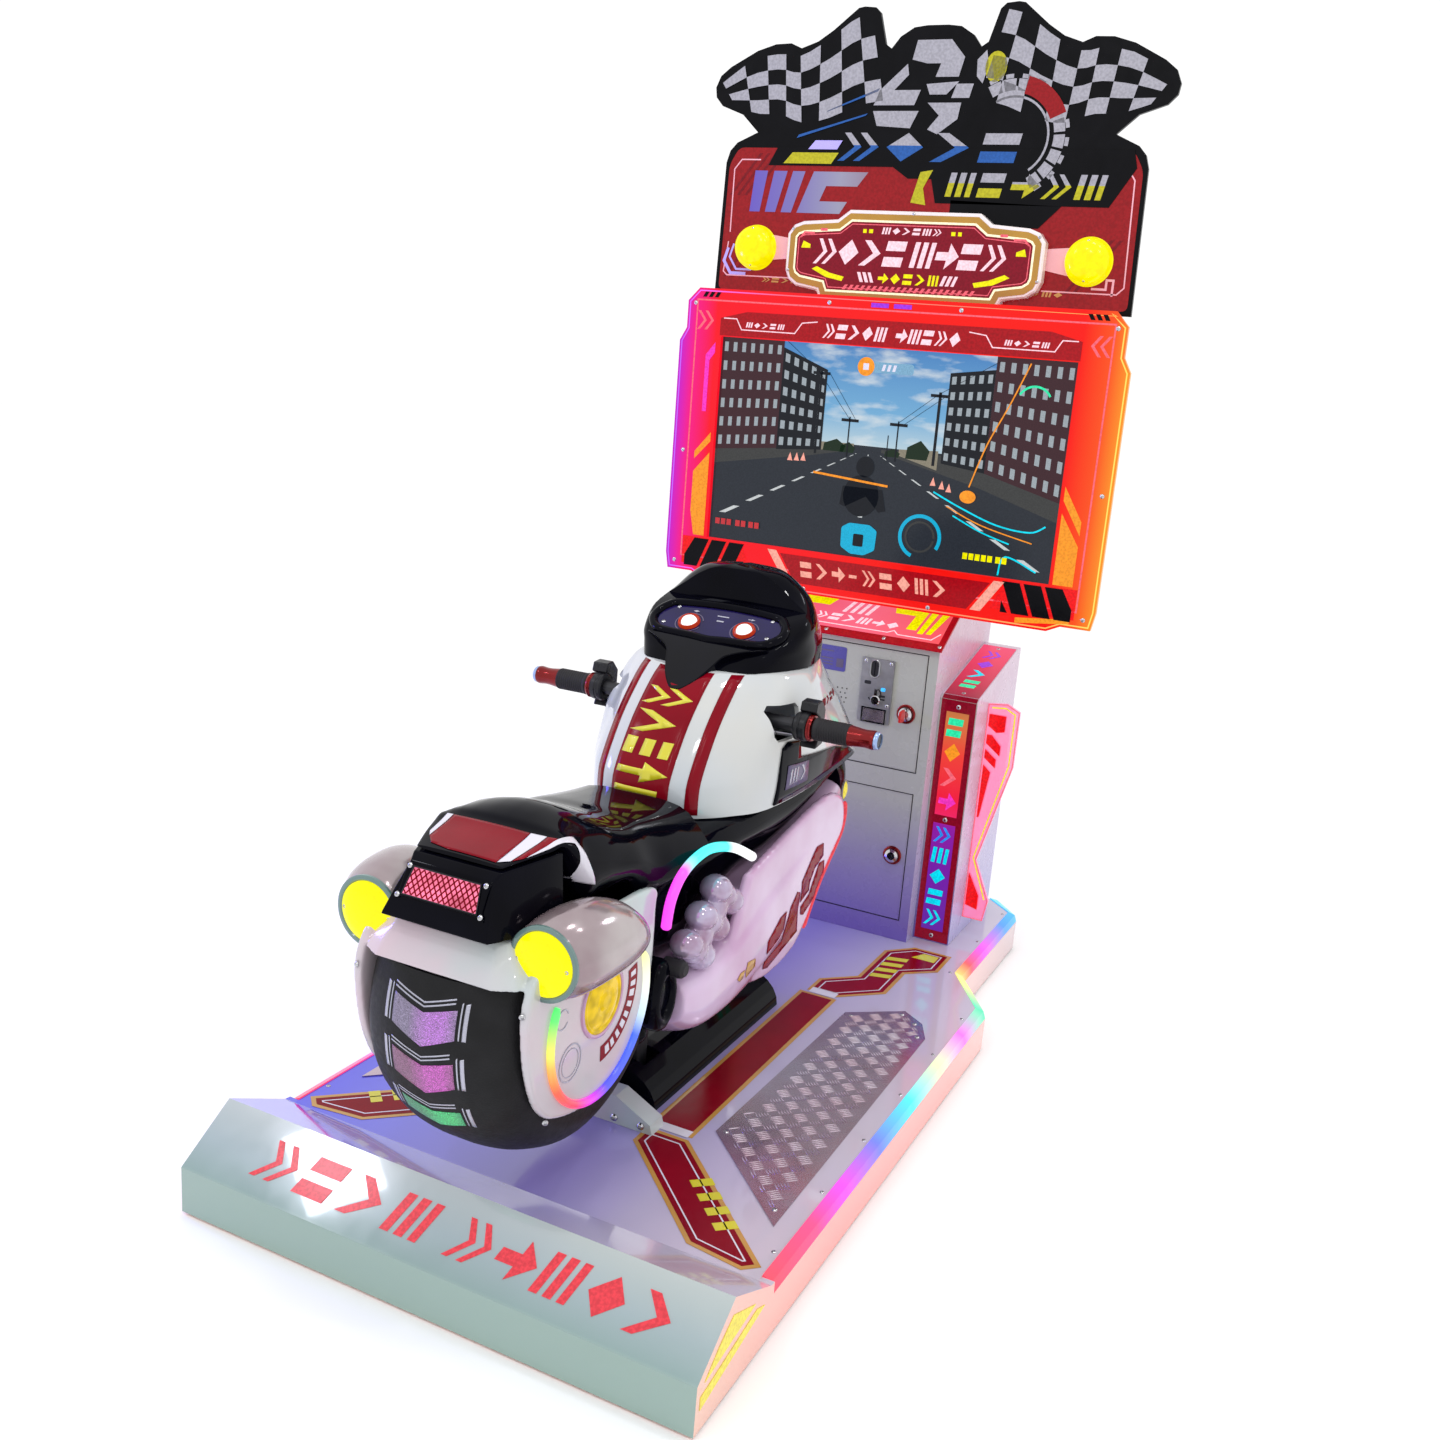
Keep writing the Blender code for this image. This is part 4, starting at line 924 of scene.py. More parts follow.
def wheel_trim():
    def trim(side, name):
        x = side * 0.1298
        line = [(side * 0.1315, y, z) for y, z in around(RING, 0.115, 154 - 360, 24, 60)]
        tube("wheel_neon_" + name, line, 0.0058, "wheel_neon", BIKE, 14)
        hub = mm([(-2, 44.5), (1.5, 44), (3, 41.5), (3, 39.5), (1.2, 38), (4.8, 30), (6, 20), (4.5, 17),
            (4.5, 13), (7.5, 9), (8.2, 2)])
        finish_mesh("hub_lamp_" + name, turned(hub, (x, *HUB), (side, 0, 0), 64), "hub_yellow", BIKE, 30)
        ring = mm([(-1, 44.5), (-1, 50.5), (2.2, 49.5), (3.4, 47), (2.2, 44.5)])
        finish_mesh("hub_rim_" + name, turned(ring, (x, *HUB), (side, 0, 0), 64, True), "pearl", BIKE, 40)
        face = plane((x - side * 0.0002, 0, 0), (0, side, 0), (0, 0, 1))
        flip = lambda shapes: mirrored(shapes, side < 0)
        plates("wheel_label_" + name, flip(arc_band(HUB, 0.066, 0.088, -88, 14)), face, "decal_crimson",
            body=BIKE)
        marks = []
        for k in range(9):
            middle = -80 + k * 10.5
            marks += arc_band(HUB, 0.071, 0.083, middle, middle + (5.5 if k % 3 else 7.0), 2)
        plates("wheel_label_marks_" + name, flip(marks), face, "decal_white", body=BIKE, lift=LIFT + FILM)
        rings = arc_band((0.13, 0.335), 0.0235, 0.0255, 0, 360, 40) + arc_band((0.13, 0.335), 0.018, 0.0192,
            0, 360, 36)
        rings += arc_band((0.108, 0.402), 0.012, 0.0136, 20, 330, 24)
        plates("wheel_emblem_" + name, flip(rings), face, "label_silver", body=BIKE)
        spots = [(side * 0.1225, 0.03, 0.436), (side * 0.119, 0.096, 0.2655)]
        screws("cover_screws_" + name, spots, (side * 0.6, -0.8, 0), BIKE, 0.0042, 0.003)
    both(trim)


def turn_pods():
    def pod(side, name):
        stations = mm([(60.5, 47.5, 130, 494), (68, 50.5, 132, 495), (85, 54, 136, 497),
            (112, 55.5, 140, 499), (150, 52.5, 146, 500), (185, 44, 151, 496), (215, 29, 156, 488),
            (234.5, 10, 160, 481)])
        rings = []
        for y, radius, x, z in stations:
            rings.append([Vector((side * (x + radius * math.cos(math.tau * i / 40)), y,
                z + radius * math.sin(math.tau * i / 40) * 0.97)) for i in range(40)])
        columns = [smooth_line([ring[i] for ring in rings], 4) for i in range(40)]
        rings = [[column[k] for column in columns] for k in range(len(columns[0]))]
        finish_mesh("turn_lamp_body_" + name, skin(rings), "silver", BIKE, 60, "silver", ["turn_pod_" + name])
        centre = (side * 0.13, 0.0605, 0.494)
        rim = mm([(0, 40.5), (0, 47.8), (3.5, 47.8), (5, 46), (5, 42.5), (3, 40.5)])
        finish_mesh("turn_lamp_rim_" + name, turned(rim, centre, (0, -1, 0), 64, True), "lens_ring", BIKE, 40)
        lens = mm([(-2, 40.4), (4, 40.4), (6.2, 37), (8.2, 28), (9.4, 16), (9.8, 2)])
        finish_mesh("turn_lamp_lens_" + name, turned(lens, centre, (0, -1, 0), 64), "lens_yellow", BIKE, 40)
        spots = [(centre[0] + dx, centre[1] - 0.0058, centre[2]) for dx in (-0.0345, 0.0345)]
        screws("turn_lamp_screws_" + name, spots, (0, -1, 0), BIKE, 0.0028, 0.0016)
    both(pod)


def net(corners, pitch, width):
    """Two families of slanted bars clipped to a trapezoid given by its bottom and top edges."""
    (low, low_half), (high, high_half) = corners
    bars = []

    def half_at(b):
        return low_half + (high_half - low_half) * (b - low) / (high - low)
    for direction in (1, -1):
        start = -low_half - (high - low)
        while start < low_half + (high - low):
            inside_points = []
            for k in range(61):
                b = low + (high - low) * k / 60
                a = start + direction * (b - (low + high) / 2) * 0.75
                if abs(a) <= half_at(b):
                    inside_points.append((a, b))
            if len(inside_points) > 3:
                (a0, b0), (a1, b1) = inside_points[0], inside_points[-1]
                bars.append([(a0 - width / 2, b0), (a0 + width / 2, b0), (a1 + width / 2, b1),
                    (a1 - width / 2, b1)])
            start += pitch
    return bars


def tail_box():
    sections = mm([(18.5, 77.5, 76.5, 518, 521.5), (34, 84, 68, 517.2, 552), (50, 88.5, 59.5, 516.8, 581.5),
        (62, 90, 64, 516.8, 589.5), (126, 95.5, 87.5, 516.8, 596.5), (151.5, 96, 91.5, 516.8, 597.5)])
    rings = [[(-a, y, low), (a, y, low), (b, y, high), (-b, y, high)] for y, a, b, low, high in sections]
    box = finish_mesh("tail_lamp_housing", skin(rings), "gloss_black", BIKE, 40, "gloss_black",
        ["tail_housing"])
    rounded(box, 0.006, 4, 25)
    face = plane((0, 0.018, 0.519), (1, 0, 0), (0, 0.032, 0.062))
    frame = mm([(-66, 22.5), (-52, 26.5), (52, 26.5), (66, 22.5), (60.5, 34), (60, 56), (61, 67.5),
        (47, 65.5), (-47, 65.5), (-61, 67.5), (-60, 56), (-60.5, 34)])
    hole = mm([(-53.5, 30), (53.5, 30), (48, 63.2), (-48, 63.2)])
    lifted = lambda a, b, level: face(a, b, level - 0.001)
    bm = extrude([frame], lifted, 0.0045)
    rounded(finish_mesh("tail_lamp_frame", bm, "gloss_black", BIKE, 30), 0.0012, 3)
    glass = lambda a, b, level: face(a, b, level + 0.0034)
    finish_mesh("tail_lamp_lens", extrude([hole], glass, 0.0008), "mesh_pink", BIKE, None)
    bars = net(((0.0302, 0.0533), (0.063, 0.048)), 0.0082, 0.0024)
    mesh = lambda a, b, level: face(a, b, level + 0.0042)
    finish_mesh("tail_lamp_mesh", extrude(bars, mesh, 0.0004), "decal_crimson", BIKE, None)
    border = ring_outline(hole, -0.0016)
    finish_mesh("tail_lamp_border", extrude(border, glass, 0.0016), "satin_black", BIKE, None)
    out = Vector((0, -0.889, 0.458))
    screws("tail_lamp_screws", [face(a, b, 0.0034) for a, b in mm(((-60.5, 27.2), (60.5, 27.2), (-55.5, 64),
        (55.5, 64)))], out, BIKE, 0.0036, 0.0018)


SEAT = mm([
    (66, [(0, 592.5), (48, 592.5), (56, 593), (61, 594), (63, 595), (57, 596.2),
             (42, 597), (0, 597.8)]),
    (100, [(0, 596.5), (58, 596.5), (68, 597.5), (75, 598.8), (77, 600), (70, 601.4),
             (50, 602.4), (0, 603.2)]),
    (130, [(0, 599), (70, 599), (80, 600), (86, 601.4), (88, 603.2), (82, 606),
             (58, 607.4), (0, 608.8)]),
    (150, [(0, 599), (77, 599), (86, 601), (92, 603), (94, 606), (88, 610), (63, 612.5),
             (0, 614)]),
    (165, [(0, 560), (82, 562), (96, 570), (103, 580), (105, 590), (98, 604), (70, 616),
             (0, 620.5)]),
    (190, [(0, 520), (86, 522), (102, 530), (110, 546), (112, 564), (103, 592), (75, 615),
             (0, 626.5)]),
    (218, [(0, 518), (88, 520), (104, 528), (112, 543), (114, 559), (103, 589), (76, 613),
             (0, 627)]),
    (250, [(0, 517), (90, 519), (106, 527), (113, 541), (115, 555), (102, 586), (77, 606),
             (0, 618)]),
    (300, [(0, 516), (92, 512), (108, 516), (116, 530), (118, 545), (100, 577), (73, 592),
             (0, 598)]),
    (345, [(0, 430), (86, 430), (102, 446), (111, 486), (124, 512), (103, 563), (72, 586),
             (0, 591)]),
    (390, [(0, 380), (80, 384), (101, 404), (105, 484), (132, 505), (106, 554), (73, 579),
             (0, 584)]),
    (440, [(0, 370), (80, 372), (101, 394), (105, 484), (135, 503), (111, 545), (75, 572),
             (0, 577)]),
    (480, [(0, 376), (80, 378), (101, 397), (104, 484), (136, 502), (113, 540), (76, 568),
             (0, 573)]),
])
UNDER = mm([
    (470, [(0, 380), (80, 384), (100, 402), (104, 484), (134, 502), (124, 524), (100, 534),
             (0, 538.5)]),
    (530, [(0, 396), (80, 398), (100, 415), (105, 484), (138, 503), (130, 525), (106, 537),
             (0, 538.5)]),
    (620, [(0, 432), (88, 434), (110, 450), (118, 484), (140.5, 501), (136, 522), (114, 537),
             (0, 538.5)]),
    (700, [(0, 457), (108, 458), (126, 470), (132, 484), (140.5, 500), (136, 522), (114, 537),
             (0, 538.5)]),
    (820, [(0, 485), (112, 486), (128, 492), (134, 500), (138, 510), (132, 525), (112, 537),
             (0, 538.5)]),
    (978, [(0, 513), (100, 513), (112, 515), (118, 519), (122, 524), (118, 530), (100, 537),
             (0, 538.5)]),
])


def seat():
    def loft(rows):
        return smooth_loft([[(x, y, z) for x, z in half] for y, half in rows], 3, 5)
    piece = finish_mesh("saddle", skin(loft(SEAT)), "gloss_black", BIKE, 50, "gloss_black", ["seat_body"])
    finish_mesh("saddle_under", skin(loft(UNDER)), "gloss_black", BIKE, 50, "gloss_black")
    crimson = mm([[(-63, 90), (-50, 76), (-20, 70), (50, 70), (46, 146), (-69, 146)],
        [(64, 82), (72, 94), (84, 152), (70, 148)]])
    white = mm([[(51, 71), (63, 81), (69, 148), (47, 146)],
        [(74, 98), (84, 126), (96, 164), (100, 174), (89, 174), (83, 150)],
        [(-71, 101), (-64, 91), (-70, 146), (-79, 146)]])
    flank = mm([[(167, 607.5), (172, 607.5), (196, 546), (167, 556)]])
    wrapped("saddle_patch_flank", flank, piece, "+X", "decal_white", 0.0007, 0.003)
    wrapped("saddle_patch_crimson", crimson, piece, "+Z", "decal_crimson", 0.0005, 0.005)
    wrapped("saddle_patch_white", white, piece, "+Z", "decal_white", 0.0007, 0.003)


TANK = mm([(539.7, 494, 148, 630, 152, 800, 128, 1040, 1067), (570, 493, 150, 630, 155, 800, 130, 1018, 1046),
    (600, 500, 150, 636, 156, 800, 130, 990, 1020), (660, 538, 150, 654, 156, 790, 122, 940, 980),
    (705, 580, 143, 684, 150, 780, 112, 900, 955), (728, 608, 133, 700, 141, 770, 106, 884, 944),
    (734.8, 622, 124, 708, 132, 770, 100, 878, 938)])


def tank_bulge(rear):
    """Rounded back of one level of the tank, up to the corner."""
    return [(0, rear), (0.047, rear + 0.004), (0.085, rear + 0.027), (0.118, rear + 0.068)]


def tank():
    rows = []
    for z, rear, xc, yc, xs, ys, xf, yf, front in TANK:
        points = tank_bulge(rear) + [(xc, yc), (xs, ys), (xf, yf), (xf * 0.5, front - 0.008), (0, front)]
        rows.append([(x, y, z) for x, y in points])
    shell = skin(smooth_loft(rows, 4, 5))
    return finish_mesh("tank_shell", shell, "gloss_white", BIKE, 50, "gloss_white", ["tank_fairing"])


def carve(piece, bm):
    """Cuts a solid out of a piece and keeps the result as its mesh."""
    tool = finish_mesh("carving_tool", bm, "hole", BIKE, None)
    step = piece.modifiers.new("cut", "BOOLEAN")
    step.operation = "DIFFERENCE"
    step.solver = "EXACT"
    step.object = tool
    result = bpy.data.meshes.new_from_object(piece.evaluated_get(bpy.context.evaluated_depsgraph_get()))
    piece.modifiers.clear()
    piece.data = result
    result.shade_smooth()
    result.set_sharp_from_angle(angle=math.radians(40))
    bpy.data.objects.remove(tool, do_unlink=True)


def hollow_tank(piece):
    """The shell is hollow, with a port in each side where the handlebar passes."""
    rows = []
    for z, rear, xc, yc, xs, ys, xf, yf, front in TANK:
        points = [(x * 0.955, y + 0.006) for x, y in tank_bulge(rear) + [(xc, yc)]]
        points += [(xs - 0.006, ys), (xf - 0.006, yf - 0.004), (xf * 0.5, front - 0.014), (0, front - 0.006)]
        rows.append([(x, y, z) for x, y in points])
    rows[0] = [(x, y, 0.53) for x, y, z in rows[0]]
    rows[-1] = [(x, y, 0.729) for x, y, z in rows[-1]]
    carve(piece, skin(smooth_loft(rows, 3, 3)))
    corner = mm([(636, 650), (644, 641), (694, 641), (702, 650), (702, 686), (694, 693.5), (644, 693.5),
        (636, 686)])
    for side in (1, -1):
        carve(piece, skin([[(side * x, y, z) for y, z in corner] for x in (0.09, 0.2)]))


def tank_trim(piece):
    low, high = 0.545, 0.733
    crimson = [[(-0.047, low), (0.047, low), (0.0465, high), (-0.0465, high)]]
    crimson += both_sides([bar(0.069, low, 0.085, high)])
    wrapped("tank_stripes", crimson, piece, "-Y", "decal_crimson", 0.0004, 0.01)
    marks = []
    for kind, b, height in mm((("block", 552, 24), ("arrow", 584, 28), ("bars", 620, 22),
            ("chevron", 650, 28), ("double", 686, 22))):
        marks += glyph(kind, -0.042, b, 0.084, height, 0.1)
    wrapped("tank_stripe_marks", marks, piece, "-Y", "decal_yellow", 0.0009, 0.01)
    flank = mm([(642, 543), (1010, 543), (960, 566), (870, 588), (760, 600), (715, 606), (706, 634),
        (668, 638), (654, 630)])

    def trim(side, name):
        way = "+X" if side > 0 else "-X"
        wrapped("tank_flank_" + name, [flank], piece, way, "gloss_black", 0.0006, 0.012, 0.0022)
        plate = bpy.data.objects["tank_flank_" + name]
        badge = mm([(668, 562), (748, 560), (744, 594), (672, 600)])
        wrapped("flank_badge_" + name, [badge], plate, way, "dash_mark", 0.0006, 0.02, 0.0006)
        bars = glyph("bars", 0.68, 0.568, 0.028, 0.024, 0.15)
        bars += glyph("chevron", 0.716, 0.568, 0.024, 0.024, 0)
        wrapped("flank_badge_marks_" + name, bars, plate, way, "label_silver", 0.0014, 0.02, 0.0005)
        small = glyph_row(["bars", "chevron", "block", "diamond"], 0.795, 0.026, 0.668, 0.02, 0.012, 0.3)
        wrapped("tank_side_marks_" + name, small, piece, way, "decal_crimson", 0.0005, 0.02)
    both(trim)


def strip_ring(line, half_width, thickness, out):
    """Rings of a flat band along closed points; out gives the direction that it stands proud in."""
    rings = []
    count = len(line)
    for i, point in enumerate(line):
        way = (line[(i + 1) % count] - line[i - 1]).normalized()
        across = way.cross(out).normalized()
        ring = []
        for k in range(12):
            angle = math.tau * k / 12
            ring.append(point + across * half_width * math.cos(angle) + out * thickness * math.sin(angle))
        rings.append(ring)
    return rings


PANEL_UP = Vector((0, 0.171, 0.097)).normalized()
PANEL_OUT = Vector((0, -0.097, 0.171)).normalized()


def dash_point(a, b, level=0.0):
    return Vector((0, 0.676, 0.7625)) + Vector((a, 0, 0)) + PANEL_UP * b + PANEL_OUT * level


def windscreen():
    rows = []
    table = mm([(735.2, 630, 96, 658, 136, 760, 108, 885, 940),
        (752, 648, 110, 680, 137.5, 770, 108, 884, 934), (770, 668, 122, 700, 136, 780, 106, 880, 925),
        (800, 715, 126, 740, 132, 790, 98, 870, 905), (830, 755, 90, 762, 114, 800, 84, 860, 880),
        (854, 764, 64, 769, 90, 800, 64, 847, 860), (869, 772, 42, 776, 64, 800, 44, 835, 846),
        (875.5, 790, 14, 790, 22, 800, 14, 815, 818)])
    for z, rear, xr, yr, xs, ys, xf, yf, front in table:
        points = [(0, rear), (xr * 0.5, rear + (yr - rear) * 0.25), (xr, yr), (xs, ys), (xf, yf),
            (xf * 0.55, front - 0.012), (0, front)]
        rows.append([(x, y, z) for x, y in points])
    hood = finish_mesh("windscreen_hood", skin(smooth_loft(rows, 5, 5)), "gloss_black", BIKE, 50,
        "gloss_black", ["hood"])
    slope = mm([(580, 707.5), (772.5, 816.5), (772.5, 920), (580, 920)])
    carve(hood, skin([[(x, y, z) for y, z in slope] for x in (-0.16, 0.16)]))
    for side in (1, -1):
        well = turned([(-0.013, 0.0137), (0.03, 0.0137)], dash_point(side * 0.048, 0.04), PANEL_OUT, 32)
        carve(hood, well)
    outline = mm([(0, 10), (27, 13), (50, 14), (83, 17), (101, 32), (105.5, 50), (97, 70), (77, 82), (0, 88)])
    outline += mirrored([outline[-2:0:-1]])[0]
    line = smooth_line([dash_point(a * 1.06, b * 1.07 - 0.004, 0.003) for a, b in outline], 6, True)
    rim = skin(strip_ring(line, 0.0075, 0.0075, PANEL_OUT), closed=True)
    finish_mesh("dash_rim", rim, "gloss_black", BIKE, 60)
    half = mm([(104, 682, 765), (72, 662, 760), (50, 646, 752), (40, 628, 738), (28, 607, 721),
        (12, 590, 707), (0, 587, 704)])
    edge = [Vector(p) for p in half] + [Vector((-x, y, z)) for x, y, z in reversed(half[:-1])]
    back = [Vector((-0.104, 0.69, 0.762)), Vector((0.104, 0.69, 0.762))]
    out = Vector((0, -0.72, 0.69))
    rings = [[p + out * level for p in smooth_line(edge, 4) + back] for level in (-0.012, 0.007)]
    bib = finish_mesh("hood_bib", skin(rings), "gloss_black", BIKE, 40)
    rounded(bib, 0.005, 4, 30)
    dash_trim()


def dash_trim():
    dress("dash_panel", "navy")
    top = 0.0036
    spots = [dash_point(a, b, top) for a, b in mm(((-90, 32), (-82, 73), (82, 73), (90, 32)))]
    screws("dash_screws", spots, PANEL_OUT, BIKE, 0.0036, 0.0018)
    rings, light = [], []
    for side, name in SIDES:
        centre = (side * 0.048, 0.04)
        ring = mm([(0, 13.7), (0, 18), (3, 17.7), (5.2, 16.8), (5.6, 15.4), (4, 13.7)])
        finish_mesh("button_bezel_" + name, turned(ring, dash_point(*centre, top), PANEL_OUT, 48, True),
            "button_ring", BIKE, 40)
        dress("start_button_" + name, "button_white")
        rings += arc_band(centre, 0.0215, 0.0232, 20, 340, 30)
        light += glyph("arrow" if side > 0 else "diamond", centre[0] - 0.006, centre[1] + 0.026, 0.012, 0.005,
            0)
    light += mm([bar(-6, 52, 6, 55), bar(-10, 64, 10, 66.5)])
    plates("dash_rings", rings, dash_point, "dash_mark", body=BIKE, lift=top + 0.0002)
    plates("dash_marks", light, dash_point, "label_silver", body=BIKE, lift=top + 0.0002)


BELLY = [(0.402, 0.146, 0.262, 0.345, 0.62, 0.62), (0.45, 0.158, 0.226, 0.355, 0.7, 0.6),
    (0.53, 0.163, 0.214, 0.378, 0.72, 0.58), (0.62, 0.165, 0.22, 0.416, 0.72, 0.58),
    (0.72, 0.163, 0.238, 0.448, 0.72, 0.6), (0.775, 0.16, 0.286, 0.462, 0.7, 0.62),
    (0.83, 0.156, 0.342, 0.472, 0.66, 0.66), (0.91, 0.148, 0.4, 0.49, 0.6, 0.7),
    (0.984, 0.13, 0.44, 0.5, 0.55, 0.72)]


def belly():
    rows = []
    for y, width, low, high, waist, under in BELLY:
        middle = low + (high - low) * waist
        half = [(0, low), (width * under, low + (middle - low) * 0.08),
            (width * 0.95, low + (middle - low) * 0.4), (width, middle),
            (width * 0.95, middle + (high - middle) * 0.6), (width * 0.7, high - (high - middle) * 0.08),
            (0, high)]
        rows.append([(x, y, z) for x, z in half])
    bm = skin(smooth_loft(rows, 4, 5))
    flank = mm([(562, 444), (590, 456), (719, 483), (856, 504), (930, 486), (944, 432), (900, 394),
        (850, 350), (800, 292), (740, 262), (620, 262), (520, 330)])
    flank = smooth_line([(y, z, 0) for y, z in flank], 3, True)
    for side in (1, -1):
        rings = []
        for x, shrink in ((0.1425, 0), (0.153, 0), (0.1575, 0.05)):
            rings.append([(side * x, p.x + (0.74 - p.x) * shrink, p.y + (0.37 - p.y) * shrink)
                for p in flank])
        skin(rings, into=bm)
    piece = blended(finish_mesh("belly_shell", bm, "pearl", BIKE, 60, "pearl_white", ["belly_fairing"]),
        0.0034, 8)

    def trim(side, name):
        way = "+X" if side > 0 else "-X"
        blocks = mm([[(639, 304), (635, 327), (679, 352), (703, 355), (699, 325), (683, 315)],
            [(641, 277), (658, 273), (768, 297), (759, 368), (745, 374), (720, 356), (703, 315), (708, 303),
            (642, 290)], [(771, 346), (763, 385), (823, 427), (850, 426), (854, 403), (821, 390), (805, 370),
            (804, 357)], [(777, 323), (788, 319), (839, 340), (865, 365), (860, 393), (839, 394), (815, 362),
            (807, 350), (775, 337)]])
        gold = mm([[(537, 300), (545, 308), (560, 308), (555, 296), (546, 294)],
            [(563, 304), (567, 318), (593, 315), (596, 301), (567, 293)]])
        wrapped("belly_marks_" + name, blocks, piece, way, "decal_crimson", 0.0006, 0.01)
        wrapped("belly_gold_marks_" + name, gold, piece, way, "decal_gold", 0.0006, 0.01)
        line = [(side * 0.1545, y, z) for y, z in mm(((802, 290), (826, 322), (852, 352), (880, 377),
            (912, 402), (936, 425), (944, 452), (940, 474)))]
        tube("belly_neon_" + name, smooth_line(line, 4), 0.0042, "coral", BIKE, 12)
        arc = mm([(333, 446), (342, 484), (368, 512), (410, 526), (460, 526), (530, 506), (602, 470)])
        tube("flank_neon_" + name, smooth_line([(side * 0.144, y, z) for y, z in arc], 8), 0.0072,
            "flank_neon", BIKE, 16)
    both(trim)


def ellipsoid(centre, radii, into, rows=12, sides=20):
    rings = []
    for i in range(rows + 1):
        theta = math.pi * (0.03 + 0.94 * i / rows)
        rings.append([(centre[0] + radii[0] * math.cos(theta),
            centre[1] + radii[1] * math.sin(theta) * math.cos(math.tau * k / sides),
            centre[2] + radii[2] * math.sin(theta) * math.sin(math.tau * k / sides)) for k in range(sides)])
    return skin(rings, into=into)


def engine():
    def unit(side, name):
        bm = bmesh.new()
        for y, z in mm(((515, 437), (474, 409), (433, 380))):
            for dy, dz in ((0.021, -0.0155), (-0.021, 0.0155)):
                ellipsoid((side * 0.137, y + dy, z + dz), (0.025, 0.0245, 0.0215), bm)
            ellipsoid((side * 0.137, y, z), (0.0225, 0.022, 0.02), bm)
        for y, z in ((0.4945, 0.423), (0.4535, 0.3945)):
            ellipsoid((side * 0.135, y, z), (0.021, 0.026, 0.026), bm)
        bulbs = finish_mesh("engine_domes_" + name, bm, "engine_silver", BIKE, 60, "silver",
            ["engine_bulbs_" + name])
        blended(bulbs, 0.0024, 8)
        rings = []
        for x, scale in ((0.06, 0.95), (0.118, 1), (0.128, 0.97), (0.1345, 0.88), (0.1378, 0.74),
                (0.137, 0.62), (0.133, 0.55), (0.129, 0.52)):
            rings.append([(side * x, 0.3675 + 0.0325 * scale * math.cos(math.tau * i / 40),
                0.331 + 0.054 * scale * math.sin(math.tau * i / 40)) for i in range(40)])
        finish_mesh("foot_pod_shell_" + name, skin(rings), "gloss_black", BIKE, 50, "gloss_black",
            ["foot_pod_" + name])
        peg = mm([(0, 12), (4, 13.5), (10, 12.5), (14, 13.5), (20, 12.5), (24, 13.5), (30, 12), (34, 8)])
        finish_mesh("foot_peg_" + name, turned(peg, (side * 0.122, 0.38, 0.372), (side, 0, 0), 32), "rubber",
            BIKE, 30)
    both(unit)
    bm = bmesh.new()
    ellipsoid((0, 0.372, 0.262), (0.105, 0.042, 0.04), bm)
    ellipsoid((0, 0.372, 0.33), (0.112, 0.032, 0.07), bm)
    blended(finish_mesh("swing_arm_cover", bm, "gloss_black", BIKE, 60), 0.004, 4)


def nose():
    rows = []
    for y, width, low, high in mm(((987, 126, 392, 538), (1010, 124, 398, 537.8), (1030, 118, 408, 537.6),
            (1052, 108, 424, 537.2), (1065, 94, 440, 536.4))):
        middle = (low + high) / 2
        half = [(0, low), (width * 0.82, low + 0.006), (width * 0.95, low + (middle - low) * 0.4),
            (width, middle), (width * 0.95, middle + (high - middle) * 0.6), (width * 0.7, high - 0.005),
            (0, high)]
        rows.append([(x, y, z) for x, z in half])
    piece = finish_mesh("nose_cluster", skin(smooth_loft(rows, 5, 4)), "gloss_black", BIKE, 50, "gloss_black",
        ["front_nose"])
    rounded(piece, 0.004, 3, 40)

    def lamp(side, name):
        centre = (side * 0.1225, 1.015, 0.47)
        lens = mm([(-4, 16), (1, 16), (4, 12), (5.5, 6), (6, 1)])
        finish_mesh("nose_lamp_" + name, turned(lens, centre, (side, 0.18, 0), 32), "window_yellow", BIKE, 40)
        ring = mm([(-4, 16.2), (-4, 19.5), (2.2, 19), (2.2, 16.2)])
        finish_mesh("nose_lamp_ring_" + name, turned(ring, centre, (side, 0.18, 0), 32, True), "silver", BIKE,
            40)
    both(lamp)


